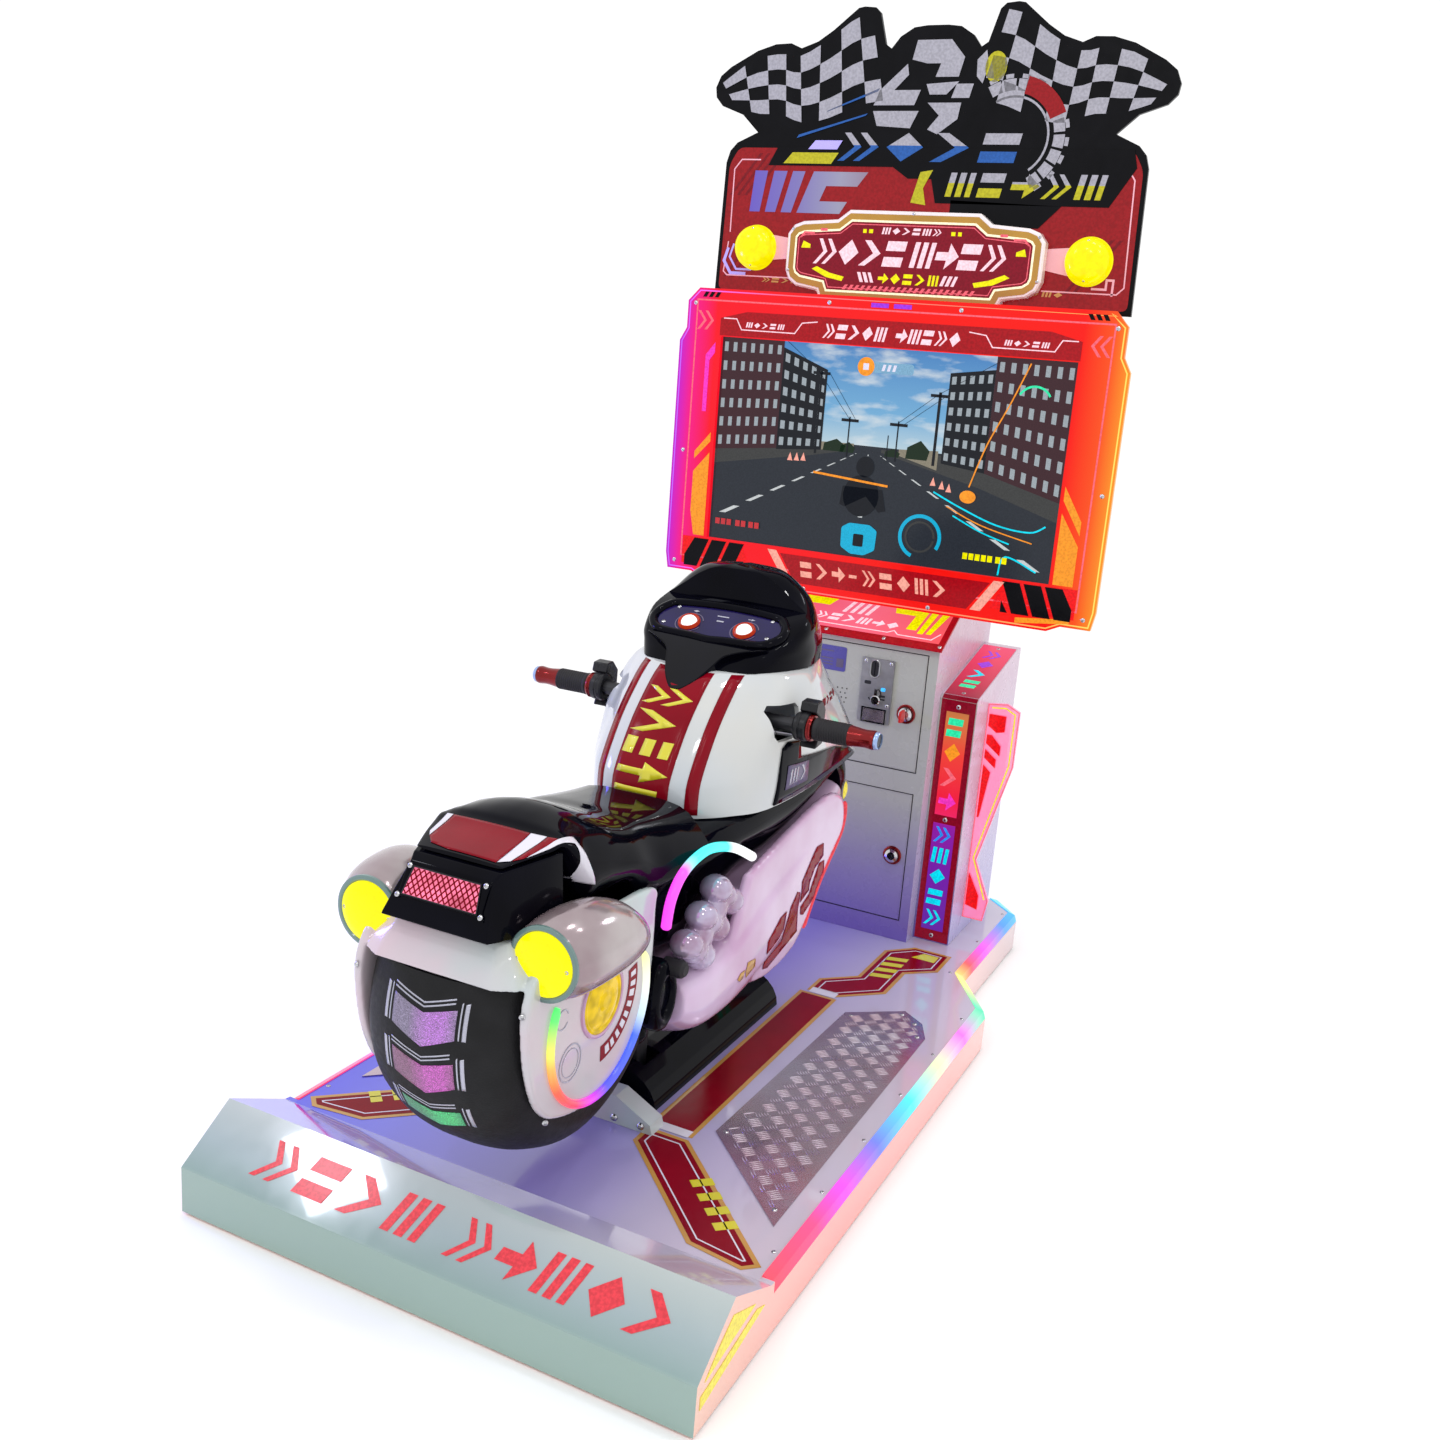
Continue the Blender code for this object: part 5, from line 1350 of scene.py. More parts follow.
def handlebars():
    dress("handlebar", "dark_steel")

    def grip(side, name):
        body = "throttle" if side > 0 else "steering"
        bore = 0.0116

        def sleeve(title, line, material, owner, *slot, sides=48):
            bm = turned(line, (0, 0.667, 0.667), (side, 0, 0), sides, True)
            finish_mesh(title + name, bm, material, owner, 35, *slot)
        collar = [(0.1665, bore), (0.1665, 0.019), (0.169, 0.0214), (0.173, 0.022), (0.1745, 0.0208),
            (0.177, 0.0208), (0.1785, 0.022), (0.1855, 0.0214), (0.1875, 0.0195), (0.1875, bore)]
        sleeve("bar_collar_", collar, "satin_black", "steering", "gloss_black", ["switch_collar_" + name])
        ring = [(0.188, bore), (0.188, 0.019), (0.1895, 0.0202), (0.1915, 0.019), (0.193, 0.0202),
            (0.1955, 0.019), (0.1955, bore)]
        sleeve("bar_ring_", ring, "red_anodised", "steering")
        ribs = [(0.1975, bore), (0.1975, 0.0165), (0.199, 0.0176), (0.202, 0.0176), (0.2035, 0.0166)]
        x = 0.205
        while x < 0.25:
            ribs += [(x, 0.0164), (x + 0.001, 0.017), (x + 0.0022, 0.017), (x + 0.003, 0.0164)]
            x += 0.004
        ribs += [(0.253, 0.0164), (0.253, bore)]
        node = "throttle_grip" if side > 0 else "grip_left"
        sleeve("grip_rubber_", ribs, "rubber", body, "rubber", [node])
        end = [(0.2532, bore), (0.2532, 0.016), (0.256, 0.0156), (0.27, 0.0138), (0.278, 0.0134),
            (0.286, 0.0142), (0.29, 0.0146), (0.293, 0.014), (0.293, bore)]
        sleeve("grip_end_", end, "red_anodised", body)
        cap = [(0.2937, bore), (0.2937, 0.0136), (0.2975, 0.0134), (0.2995, 0.012), (0.2999, bore)]
        sleeve("grip_cap_", cap, "blue_cap", body, sides=40)
        bm = skin([[(side * x, y, z) for y, z in mm(((677.5, 632), (704, 636), (706, 690), (690, 706),
            (672, 704), (668, 690), (686, 680), (690, 655), (684, 646)))] for x in (0.169, 0.196)])
        rounded(finish_mesh("lever_bracket_" + name, bm, "satin_black", "steering", 40), 0.002, 3)
    both(grip)


def motorcycle_materials():
    surface("tyre", (0.007, 0.007, 0.008), 0.5, specular=0.2, mottle=0.3, mottle_scale=30, grain=420,
        grain_depth=0.0007)
    surface("label_silver", (0.42, 0.42, 0.5), 0.25, metallic=0.4, mottle=0.1)
    surface("dash_mark", (0.1, 0.08, 0.16), 0.3, mottle=0.15)
    glitter("glitter_upper", (0.75, 0.15, 1), (0.2, 0.17, 0.26), 1)
    glitter("glitter_middle", (0.85, 0.08, 0.8), (0.22, 0.1, 0.18), 1)
    glitter("glitter_lower", (0.05, 0.95, 0.25), (0.08, 0.28, 0.16), 0.9)
    glow_round("wheel_neon", RING, [
        (0, (0.9, 1, 0.1)), (0.035, (1, 0.45, 0.05)), (0.09, (1, 0.1, 0.03)), (0.17, (1, 0.02, 0.12)),
        (0.235, (0.7, 0, 0.9)), (0.28, (0.05, 0.05, 1)), (0.4, (0.02, 0.12, 1)), (0.44, (0.6, 0.8, 1)),
        (0.52, (1, 1, 0.75)), (0.58, (1, 0.95, 0.3)), (0.9, (0.02, 1, 0.15)), (0.95, (0.1, 1, 0.15)),
        (1, (0.9, 1, 0.1))], 1.1, (0.06, 0.06, 0.06))
    glow_along("flank_neon", "Y", REAR + 0.333, REAR + 0.605, [
        (0, (0.9, 0.02, 0.8)), (0.14, (1, 0.05, 0.9)), (0.2, (0.3, 0.8, 1)), (0.26, (0.02, 0.9, 0.9)),
        (0.6, (0.02, 0.95, 0.9)), (0.68, (0.9, 1, 1)), (1, (1, 1, 1))], 1.2, (0.2, 0.2, 0.2))


def motorcycle():
    motorcycle_materials()
    rear_wheel()
    turn_pods()
    tail_box()
    seat()
    shell = tank()
    tank_trim(shell)
    hollow_tank(shell)
    windscreen()
    belly()
    engine()
    nose()
    handlebars()


# ---------- coin cabinet ----------
def cabinet_material():
    """White paint with painted light: painted violet shade low down on the front, where the deck's blue light
    falls, and painted pink light from the lit panels on its sides.
    """
    made, nodes, links, shader = tree("cabinet_paint_and_painted_light")
    axes = position(nodes, links)
    height = spread(nodes, links, axes["Z"], 0, 1, 0.1, 0.75)
    # painted shade: the front darkens to violet towards the bottom, standing in for shade and the blue light
    # off the deck
    front = ramp(nodes, links, height, [(0, (0.16, 0.11, 0.4)), (0.16, (0.24, 0.2, 0.42)),
        (0.42, (0.37, 0.37, 0.36)), (1, (0.42, 0.43, 0.38))])
    # painted light: the sides take the pink of the lit panels beside them
    flank = ramp(nodes, links, height, [
        (0, (0.42, 0.4, 0.66)), (0.5, (0.56, 0.47, 0.6)), (1, (0.66, 0.48, 0.58))])
    facing = components(nodes, links, "ShaderNodeNewGeometry", "True Normal")
    front_on = spread(nodes, links, facing["Y"], 1, 0, -0.7, -0.5)
    links.new(mixed(nodes, links, front_on, flank, front), shader.inputs["Base Color"])
    links.new(spread(nodes, links, noise(nodes, links, 24), 0.22, 0.34), shader.inputs["Roughness"])
    bump(nodes, links, shader, noise(nodes, links, 700), 0.00005)
    return made


def cabinet_materials():
    M["cabinet"] = cabinet_material()
    surface("cast_metal", (0.34, 0.34, 0.36), 0.34, metallic=0.75, mottle=0.12, mottle_scale=60)
    glow_along("surround_lit", "X", -0.446, 0.446, [(0, (0.5, 0.01, 0.75)), (0.035, (0.95, 0.005, 0.3)),
        (0.09, (1, 0.004, 0.02)), (0.5, (1, 0.006, 0.004)), (0.9, (1, 0.006, 0.002)), (0.96, (1, 0.1, 0.01)),
        (1, (1, 0.36, 0.02))], 0.86, (0.25, 0.004, 0.004))
    glow_along("edge_line", "X", -0.446, 0.446, [
        (0, (0.35, 0.1, 1)), (0.06, (0.95, 0.1, 0.95)), (0.25, (1, 0.12, 0.2)), (0.7, (1, 0.25, 0.12)),
        (0.93, (1, 0.55, 0.08)), (1, (1, 0.8, 0.1))], 1, (0.4, 0.1, 0.1))
    for name, color, strength, base in (
            ("lit_crimson", (0.52, 0.004, 0.012), 0.75, (0.12, 0.002, 0.004)),
            ("deep_crimson", (0.3, 0.003, 0.022), 0.7, (0.1, 0.002, 0.006)),
            ("lit_red", (1, 0.006, 0.01), 0.85, (0.35, 0.004, 0.004)),
            ("lit_rose", (1, 0.16, 0.22), 0.9, (0.4, 0.05, 0.06)),
            ("lit_peach", (1, 0.42, 0.33), 0.9, (0.4, 0.16, 0.12)),
            ("lit_pink_white", (1, 0.62, 0.72), 1, (0.5, 0.4, 0.4)),
            ("lit_orange", (1, 0.34, 0.02), 0.9, (0.4, 0.12, 0.01)),
            ("lit_yellow", (0.98, 0.93, 0), 0.85, (0.45, 0.42, 0)),
            ("lit_magenta", (0.95, 0.04, 0.55), 0.9, (0.4, 0.02, 0.25)),
            ("lit_violet", (0.42, 0.04, 0.85), 0.8, (0.15, 0.02, 0.4)),
            ("lit_blue", (0.02, 0.3, 0.98), 0.9, (0.02, 0.12, 0.4)),
            ("lit_cyan", (0, 0.78, 0.95), 0.9, (0, 0.3, 0.4)),
            ("lit_green", (0.03, 0.92, 0.45), 0.85, (0.02, 0.4, 0.2))):
        glow(name, color, strength, base)
    glow_along("shelf_lit", "X", -0.17, 0.17, [
        (0, (0.95, 0.1, 0.2)), (0.5, (1, 0.16, 0.26)), (1, (1, 0.1, 0.12))], 0.85, (0.3, 0.05, 0.06))
    glow_along("box_front", "Z", 0.09, 0.57, [(0, (0.09, 0.02, 0.42)), (0.3, (0.14, 0.01, 0.45)),
        (0.5, (0.26, 0.01, 0.42)), (0.52, (0.98, 0.02, 0.16)), (0.62, (1, 0.01, 0.04)),
        (0.8, (0.98, 0.06, 0.03)), (0.95, (0.7, 0.22, 0.05)), (1, (0.5, 0.2, 0.05))], 0.82, (0.2, 0.02, 0.05))
    glow_along("box_top", "Y", REAR + 1.37, REAR + 1.62, [
        (0, (0.3, 0.004, 0.03)), (0.25, (0.62, 0.01, 0.06)), (0.7, (0.95, 0.03, 0.12)), (1, (1, 0.05, 0.18))],
        0.8, (0.25, 0.02, 0.04))
    fin = surface("fin_acrylic", (0.9, 0.24, 0.46), 0.06, coat=0.5, mottle=0.04)
    shader = fin.node_tree.nodes["Principled BSDF"]
    shader.inputs["Alpha"].default_value = 0.55
    shader.inputs["Emission Color"].default_value = (1, 0.2, 0.42, 1)
    shader.inputs["Emission Strength"].default_value = 0.35


FRONT = 1.325


def cabinet():
    rounded(dress("cabinet_shell", "cabinet"), 0.0012, 2)
    for node in ("coin_door", "cash_door", "rear_service_door"):
        rounded(dress(node, "cabinet"), 0.0006, 2)
    dress("coin_box", "steel")
    dress("loudspeaker", "satin_black")
    face = upright(FRONT)
    seams = ring_outline(bar(-0.1524, 0.4326, 0.1524, 0.6684),
        0.0014) + ring_outline(bar(-0.1524, 0.1246, 0.1524, 0.3904), 0.0014)
    plates("door_seams", seams, face, "hole", **SEAM)
    label = smooth_corners(bar(-0.074, 0.608, -0.015, 0.657), 0.005)
    plates("door_label", [label], face, "label_grey", body="coin_hatch")
    small = [bar(-0.035, 0.616, -0.02, 0.633)] + [bar(-0.068, z, -0.042, z + 0.0025)
        for z in (0.618, 0.624, 0.63, 0.645)]
    plates("door_label_marks", small, face, "dash_mark", 2, body="coin_hatch")
    holes = bmesh.new()
    for row in range(4):
        for column in range(5):
            spot = (-0.05 + column * 0.0098 + (row % 2) * 0.003, FRONT - 0.0001, 0.548 + row * 0.0092)
            turned([(0, 0.0014), (0.0003, 0.0014)], spot, (0, -1, 0), 12, into=holes)
    finish_mesh("speaker_holes", holes, "hole", "coin_hatch", None)
    for name, foot, head, hatch in (("door_folds", 0.4362, 0.6648, "coin_hatch"),
            ("cash_door_folds", 0.1282, 0.3868, "cash_hatch")):
        fold = ring_outline(bar(-0.1488, foot, 0.1488, head), 0.001)
        plates(name, fold, face, "cabinet", body=hatch, **SEAM)
    coin_plate()
    lock_trim()


def smooth_corners(outline, radius, steps=4):
    """Outline with rounded corners."""
    result = []
    count = len(outline)
    for i in range(count):
        before, here, after = Vector(outline[i - 1]), Vector(outline[i]), Vector(outline[(i + 1) % count])
        first, second = (before - here).normalized(), (after - here).normalized()
        start, end = here + first * radius, here + second * radius
        for s in range(steps + 1):
            t = s / steps
            result.append(tuple(start * (1 - t) ** 2 + here * 2 * t * (1 - t) + end * t * t))
    return result


def coin_plate():
    """Die-cast coin entry: oval slot frame, lamp, reject lever guide, return opening and corner screws."""
    rounded(dress("coin_entry_plate", "cast_metal"), 0.001, 3)
    rounded(dress("reject_lever", "chrome"), 0.0008, 2)
    rounded(dress("return_flap", "steel"), 0.0006, 2)
    top = 1.3206
    face = upright(top)

    def oval(x, z, wide, tall, steps=8):
        line = []
        for k in range(2 * steps + 2):
            angle = math.pi * k / steps if k <= steps else math.pi * (k - 1) / steps
            lift = (tall - wide) * (1 if k <= steps else -1)
            line.append((x + wide * math.cos(angle), z + lift + wide * math.sin(angle)))
        return line

    def put(name, outlines, material, lift=0.0001, thickness=0.0003):
        plates(name, outlines, face, material, body="coin_hatch", lift=lift, thickness=thickness)
    outer, inner = oval(0.048, 0.626, 0.0105, 0.019), oval(0.048, 0.626, 0.0078, 0.0162)
    rings = []
    for (a, b), (c, d) in zip(outer, inner):
        rings.append([Vector(face(a, b, 0)), Vector(face(a, b, 0.0016)),
            Vector(face((a + c) / 2, (b + d) / 2, 0.003)), Vector(face(c, d, 0.0018)), Vector(face(c, d, 0))])
    finish_mesh("coin_slot_frame", skin(rings, closed=True), "cast_metal", "coin_hatch", 40)
    put("coin_slot_recess", [inner], "dark_steel", thickness=0.0002)
    put("coin_slot_cut", [bar(0.0468, 0.6135, 0.0492, 0.6385)], "hole", 0.0004, 0.0002)
    put("reject_guide", arc_band((0.052, 0.575), 0.0125, 0.0145, -150, 60, 18), "dark_steel",
        thickness=0.0012)
    marks = [smooth_corners(bar(0.029, 0.594, 0.043, 0.601), 0.003), bar(0.062, 0.572, 0.074, 0.576),
        bar(0.062, 0.566, 0.074, 0.569)]
    put("coin_plate_marks", marks, "dark_steel")
    put("coin_lamp", [smooth_corners(bar(0.0645, 0.584, 0.0735, 0.591), 0.002)], "led_blue", 0.0002, 0.001)
    put("return_rim", ring_outline(bar(0.0285, 0.5185, 0.0795, 0.549), 0.003), "chrome", thickness=0.0016)
    screws("coin_plate_screws", [(x, top, z) for x, z in mm(((28.5, 640), (80, 640), (80, 556)))], (0, -1, 0),
        "coin_hatch", 0.0038, 0.0018)


def lock_trim():
    for node, hatch, body, centre in (("coin_door_lock", "coin_hatch", "coin_lock", (0.119, 0.547)),
            ("cash_door_lock", "cash_hatch", "cash_lock", (0.123, 0.258))):
        rounded(dress(node, "chrome"), 0.0004, 2)
        ring = mm([(0.1, 14.2), (0.1, 19), (1.4, 19), (2.4, 17.4), (2.4, 14.2)])
        at = (centre[0], FRONT, centre[1])
        finish_mesh(node + "_ring", turned(ring, at, (0, -1, 0), 40, True), "red_anodised", hatch, 35)
        slot = plane((centre[0], FRONT - 0.009, centre[1]), (1, 0, 0), (0, 0, 1))
        plates(node + "_keyway", [bar(-0.0011, -0.005, 0.0011, 0.005)], slot, "hole", body=body, **SEAM)
    side = plane((0.119, FRONT, 0.547), (0, 1, 0), (0, 0, 1))
    head = smooth_corners(mm([(-37, -11), (-16, -12.5), (-10, -4), (-10, 4), (-16, 12.5), (-37, 11)]), 0.0035)
    raised = lambda a, b, level: side(a, b, level - 0.0025)
    rounded(finish_mesh("coin_key_head", extrude([head], raised, 0.005), "fob", "coin_lock", 30), 0.0012, 3)


def shelf():
    """Lit sloped panel between the coin door and the display."""
    rounded(dress("shelf_light_panel", "lit_crimson"), 0.0008, 2)
    up = Vector((0, 0.095, 0.056)).normalized()
    out = Vector((0, -up.z, up.y))
    place = plane(Vector((0, FRONT, 0.688)) + out * 0.0044, (1, 0, 0), up)
    plates("shelf_field", [bar(-0.168, 0.002, 0.168, 0.096)], place, "shelf_lit")
    yellow = mm([[(52, 88), (120, 88), (112, 30), (92, 30), (98, 72), (56, 72)],
        [(126, 88), (139, 88), (128, 22), (117, 22)], [(148, 88), (162, 88), (144, 24), (134, 24)],
        [(-160, 88), (-70, 88), (-82, 66), (-118, 66), (-126, 52), (-154, 52)]])
    plates("shelf_yellow", yellow, place, "lit_yellow", 2)
    pale = glyph_row(["double", "block", "chevron", "bars", "arrow", "diamond"], -0.098, 0.03, 0.024, 0.026,
        0.02, 0.3)
    pale += [[(x, 0.052), (x + 0.008, 0.052), (x + 0.02, 0.086), (x + 0.012, 0.086)]
        for x in (-0.05, -0.034, -0.018, -0.002)]
    plates("shelf_marks", pale, place, "lit_pink_white", 2)
    line = mm([(-160, 12), (60, 12), (72, 20), (82, 10), (150, 10), (163, 30)])
    plates("shelf_line", band(line, 0.0022), place, "lit_pink_white", 2)
    screws("shelf_screws", [place(a, b) for a, b in mm(((-173, -6), (173, -6), (-60, -6), (60, -6),
        (-173, 99), (173, 99)))], out, "machine", 0.004, 0.0016)


def side_panels(side, name):
    """Light box and clear fin beside the cabinet."""
    rounded(dress("light_box_" + name, "cabinet"), 0.001, 2)
    face = upright(1.363)
    low, high = 0.176, 0.245
    start = 0.193 if side > 0 else -0.228

    def put(shapes):
        return mirrored(shapes, side < 0)
    plates("box_border_" + name, put([bar(low, 0.085, high, 0.5825)]), face, "deep_crimson")
    plates("box_window_" + name, put(mm([bar(188, 108, 233, 332), bar(188, 349, 233, 559)])), face,
        "box_front", 2)
    rows = mm([("block", 510, "lit_green"), ("diamond", 460, "lit_orange"), ("chevron", 409, "lit_rose"),
        ("arrow", 360, "lit_magenta"), ("double", 293, "lit_blue"), ("bars", 250, "lit_cyan"),
        ("diamond", 206, "lit_cyan"), ("block", 162, "lit_cyan"), ("double", 118, "lit_cyan")])
    for index, (kind, z, color) in enumerate(rows):
        tall = 0.037 if z > 0.34 else 0.032
        plates("box_mark_%s_%d" % (name, index), glyph(kind, start, z, 0.035, tall, 0.1), face, color, 3)
    up = Vector((0, 0.243, 0.062)).normalized()
    top = plane((0, 1.372, 0.59), (1, 0, 0), up)
    plates("box_top_" + name, put([bar(low, 0.002, high, 0.248)]), top, "box_top")
    for index, (kind, b, color) in enumerate((("block", 0.04, "lit_green"), ("chevron", 0.088, "lit_cyan"),
            ("diamond", 0.136, "lit_violet"), ("double", 0.184, "lit_violet"))):
        plates("box_top_mark_%s_%d" % (name, index), glyph(kind, start, b, 0.036, 0.034, 0.1), top, color, 2)
    edge = plane((0, 1.363, 0.583), (1, 0, 0), (0, 0.009, 0.007))
    plates("box_edge_" + name, put([bar(low, 0.0002, high, 0.0112)]), edge, "deep_crimson")
    screws("box_screws_" + name, [(side * 0.2105, 1.363, z) for z in (0.096, 0.3405, 0.57)], (0, -1, 0),
        "machine", 0.0048, 0.002)
    out = Vector((0, -up.z, up.y))
    screws("box_top_screws_" + name, [Vector(top(side * 0.2105, b)) for b in (0.014, 0.236)], out, "machine",
        0.0042, 0.0016)
    rounded(dress("acrylic_fin_" + name, "fin_acrylic"), 0.001, 2)
    sheet = upright(1.44)
    blocks = mm([[(252, 550), (286, 550), (286, 518), (270, 514), (252, 526)],
        [(252, 508), (262, 508), (282, 488), (282, 468), (252, 490)],
        [(252, 478), (276, 460), (276, 442), (252, 460)], [(252, 446), (268, 432), (256, 336), (252, 336)],
        [(251, 218), (276, 172), (276, 142), (251, 148)]])
    plates("fin_blocks_" + name, put(blocks), sheet, "lit_red")
    line = mm([(256, 563), (283, 566), (303, 556), (303, 452), (256, 250), (288.5, 166)])
    plates("fin_line_" + name, band(put([line])[0], 0.0024), sheet, "lit_yellow")
    rim = [(side * a, b) for a, b in mm(((248, 120.5), (289.6, 120.5), (296.5, 165.2), (261.5, 245),
        (311.5, 450), (311.5, 561.5), (285, 574.5), (248, 569.5)))]
    plates("fin_rim_" + name, ring_outline(rim, 0.0018), sheet, "lit_rose", 2)
    rear = upright(1.446, -1)
    plates("fin_back_blocks_" + name, mirrored(blocks, side > 0), rear, "lit_red")


# ---------- display ----------
GLASS_Y = 1.3604


def window_point(u, v):
    """Point of the picture: u from left to right and v from the top down, both 0 to 1."""
    return (-0.354 + 0.708 * u, 1.227 - 0.397 * v)


def picture(points):
    return [window_point(u, v) for u, v in points]


def pane(left, foot, right, top):
    return picture(bar(left, foot, right, top))


def building(left, right, top_left, top_right, foot_left, foot_right, floors, columns, wide=0.5, tall=0.5):
    """Front of a building in the picture and its windows."""
    wall = picture([(left, foot_left), (right, foot_right), (right, top_right), (left, top_left)])
    windows = []
    for floor in range(floors):
        for column in range(columns):
            corners = []
            for du, dv in ((-wide, tall), (wide, tall), (wide, -tall), (-wide, -tall)):
                s = (column + 0.5 + du * 0.5) / columns
                t = (floor + 0.5 + dv * 0.5) / floors
                top = top_left + (top_right - top_left) * s
                foot = foot_left + (foot_right - foot_left) * s
                corners.append((left + (right - left) * s, top + (foot - top) * t))
            windows.append(picture(corners))
    return wall, windows


def screen_picture():
    """Street drive: sky, buildings, road with lane marks, a small bike, cones and plain gauges."""
    dress("screen", "screen_glass")
    face = upright(GLASS_Y)
    level = [1]

    def paint(name, shapes, material):
        plates("view_" + name, shapes, face, material, lift=LIFT * level[0] * 0.5, thickness=0.00015)
        level[0] += 1
    paint("sky", [pane(0, 0.6, 1, 0)], "view_sky")
    paint("road", [pane(0, 1, 1, 0.46)], "view_road")
    paint("pavement", [picture([(0, 0.62), (0.3, 0.53), (0.42, 0.485), (0.42, 0.47), (0, 0.47)]),
        picture([(1, 0.72), (0.78, 0.6), (0.5, 0.485), (0.5, 0.47), (1, 0.47)])], "view_grey")
    trees = [picture([(u - w, 0.5), (u + w, 0.5), (u + w * 1.2, 0.5 - h * 0.5), (u + w * 0.3, 0.5 - h),
        (u - w * 0.9, 0.5 - h * 0.6)]) for u, w, h in ((0.36, 0.03, 0.06), (0.4, 0.02, 0.05),
        (0.53, 0.02, 0.04), (0.6, 0.03, 0.09), (0.19, 0.03, 0.17), (0.76, 0.025, 0.17))]
    far_wall = [picture([(0.32, 0.5), (0.42, 0.48), (0.42, 0.455), (0.32, 0.46)]),
        picture([(0.55, 0.49), (0.66, 0.54), (0.66, 0.45), (0.55, 0.46)])]
    paint("far_wall", far_wall, "view_cream")
    paint("trees", trees, "view_green")
    blocks = [building(0, 0.19, 0, 0, 0.55, 0.515, 6, 7, 0.42, 0.5),
        building(0.79, 1, 0, 0, 0.53, 0.63, 6, 7, 0.42, 0.5)]
    towers = [building(0.19, 0.325, 0.03, 0.12, 0.52, 0.5, 6, 5, 0.5, 0.5),
        building(0.67, 0.79, 0.09, 0.06, 0.505, 0.53, 6, 5, 0.5, 0.5)]
    paint("brick_walls", [wall for wall, windows in blocks], "view_brick")
    paint("dark_walls", [wall for wall, windows in towers], "view_dark")
    paint("windows", [shape for wall, windows in blocks + towers for shape in windows], "view_window")
    posts = [pane(u, 0.52, u + w, top) for u, top, w in ((0.305, 0.12, 0.006), (0.645, 0.18, 0.008),
        (0.4, 0.33, 0.004), (0.54, 0.33, 0.004), (0.515, 0.4, 0.003))]
    posts += [pane(u - 0.022, top + 0.014, u + 0.028, top) for u,
        top in ((0.305, 0.13), (0.645, 0.19), (0.4, 0.34), (0.54, 0.34))]
    wires = [[(0.3, 0.13), (0.4, 0.34)], [(0.33, 0.13), (0.42, 0.345)], [(0.645, 0.19), (0.54, 0.34)],
        [(0.67, 0.19), (0.56, 0.34)], [(0.645, 0.19), (0.8, 0.02)], [(0.3, 0.13), (0.2, 0)]]
    for wire in wires:
        posts += band([window_point(u, v) for u, v in wire], 0.0009)
    paint("posts", posts, "view_dark")
    lanes = []
    for (u1, v1), (u2, v2), count in (((0.43, 0.5), (0, 0.9), 9), ((0.5, 0.5), (1, 0.99), 10),
            ((0.465, 0.5), (0.455, 1), 6)):
        for k in range(count):
            s, e = (k / count) ** 1.8, ((k + 0.55) / count) ** 1.8
            w = 0.0015 + 0.01 * s
            lanes.append(picture([(u1 + (u2 - u1) * s - w, v1 + (v2 - v1) * s),
                (u1 + (u2 - u1) * s + w, v1 + (v2 - v1) * s), (u1 + (u2 - u1) * e + w, v1 + (v2 - v1) * e),
                (u1 + (u2 - u1) * e - w, v1 + (v2 - v1) * e)]))
    paint("lanes", lanes, "view_white")
    cones = [picture([(u - 0.008, v + 0.012), (u + 0.008, v + 0.012), (u, v - 0.028)]) for u,
        v in ((0.235, 0.555), (0.255, 0.553), (0.275, 0.55), (0.655, 0.6), (0.68, 0.612), (0.7, 0.622))]
    paint("cones", cones, "lit_peach")

    def round_shape(u, v, ru, rv, steps=20):
        return picture([(u + ru * math.cos(math.tau * k / steps), v - rv * math.sin(math.tau * k / steps))
            for k in range(steps)])
    paint("bike_shadow", [round_shape(0.455, 0.93, 0.022, 0.06), round_shape(0.455, 0.7, 0.052, 0.1),
        round_shape(0.46, 0.56, 0.026, 0.05), picture([(0.4, 0.66), (0.515, 0.66), (0.53, 0.76), (0.51, 0.77),
        (0.47, 0.7), (0.41, 0.76), (0.395, 0.75)])], "view_dark")
    tail = picture([(0.41, 0.955), (0.44, 0.985), (0.48, 0.985), (0.51, 0.955), (0.512, 0.86), (0.49, 0.835),
        (0.43, 0.835), (0.408, 0.86)])
    paint("bike_tail", [smooth_corners(tail, 0.004)], "view_cyan")
    paint("bike_light", [smooth_corners(pane(0.445, 0.945, 0.475, 0.885), 0.003)], "view_dark")
    dial = window_point(0.635, 0.86)
    paint("dial", arc_band(dial, 0.036, 0.043, -30, 250, 40), "view_cyan")
    paint("dial_ring", arc_band(dial, 0.026, 0.03, 0, 350, 30), "view_grey")

    def trails(*lines):
        shapes = []
        for points, width in lines:
            line = smooth_line([(*window_point(u, v), 0) for u, v in points], 6)
            shapes += band([tuple(p)[:2] for p in line], width)
        return shapes
    teal = trails(([(0.66, 0.64), (0.74, 0.7), (0.84, 0.76), (0.93, 0.775), (0.97, 0.74)], 0.003),
        ([(0.72, 0.74), (0.8, 0.8), (0.88, 0.84)], 0.0026), ([(0.86, 0.99), (0.875, 0.9), (0.96, 0.955)],
        0.003))
    paint("trails_teal", teal, "lit_cyan")
    warm = trails(([(0.31, 0.61), (0.42, 0.625), (0.53, 0.64)], 0.0042),
        ([(0.7, 0.7), (0.8, 0.77), (0.94, 0.825)], 0.0022), ([(0.88, 0.02), (0.84, 0.2), (0.79, 0.4),
        (0.755, 0.6)], 0.0026))
    paint("trails_warm", warm, "lit_orange")
    paint("score_pill", [smooth_corners(pane(0.43, 0.115, 0.57, 0.065), 0.007)], "view_pale")
    paint("score_disc", [round_shape(0.435, 0.09, 0.024, 0.044)], "lit_orange")
    slants = [picture([(u, 0.105), (u + 0.008, 0.105), (u + 0.012, 0.075), (u + 0.004, 0.075)])
        for u in (0.48, 0.495, 0.51)]
    paint("score_mark", [pane(0.427, 0.105, 0.443, 0.075)] + slants, "decal_white")
    ticks = [pane(u, 0.925, u + 0.014, 0.895) for u in (0.02, 0.038, 0.056, 0.084, 0.102, 0.126, 0.144)]
    paint("timer", ticks, "fob")
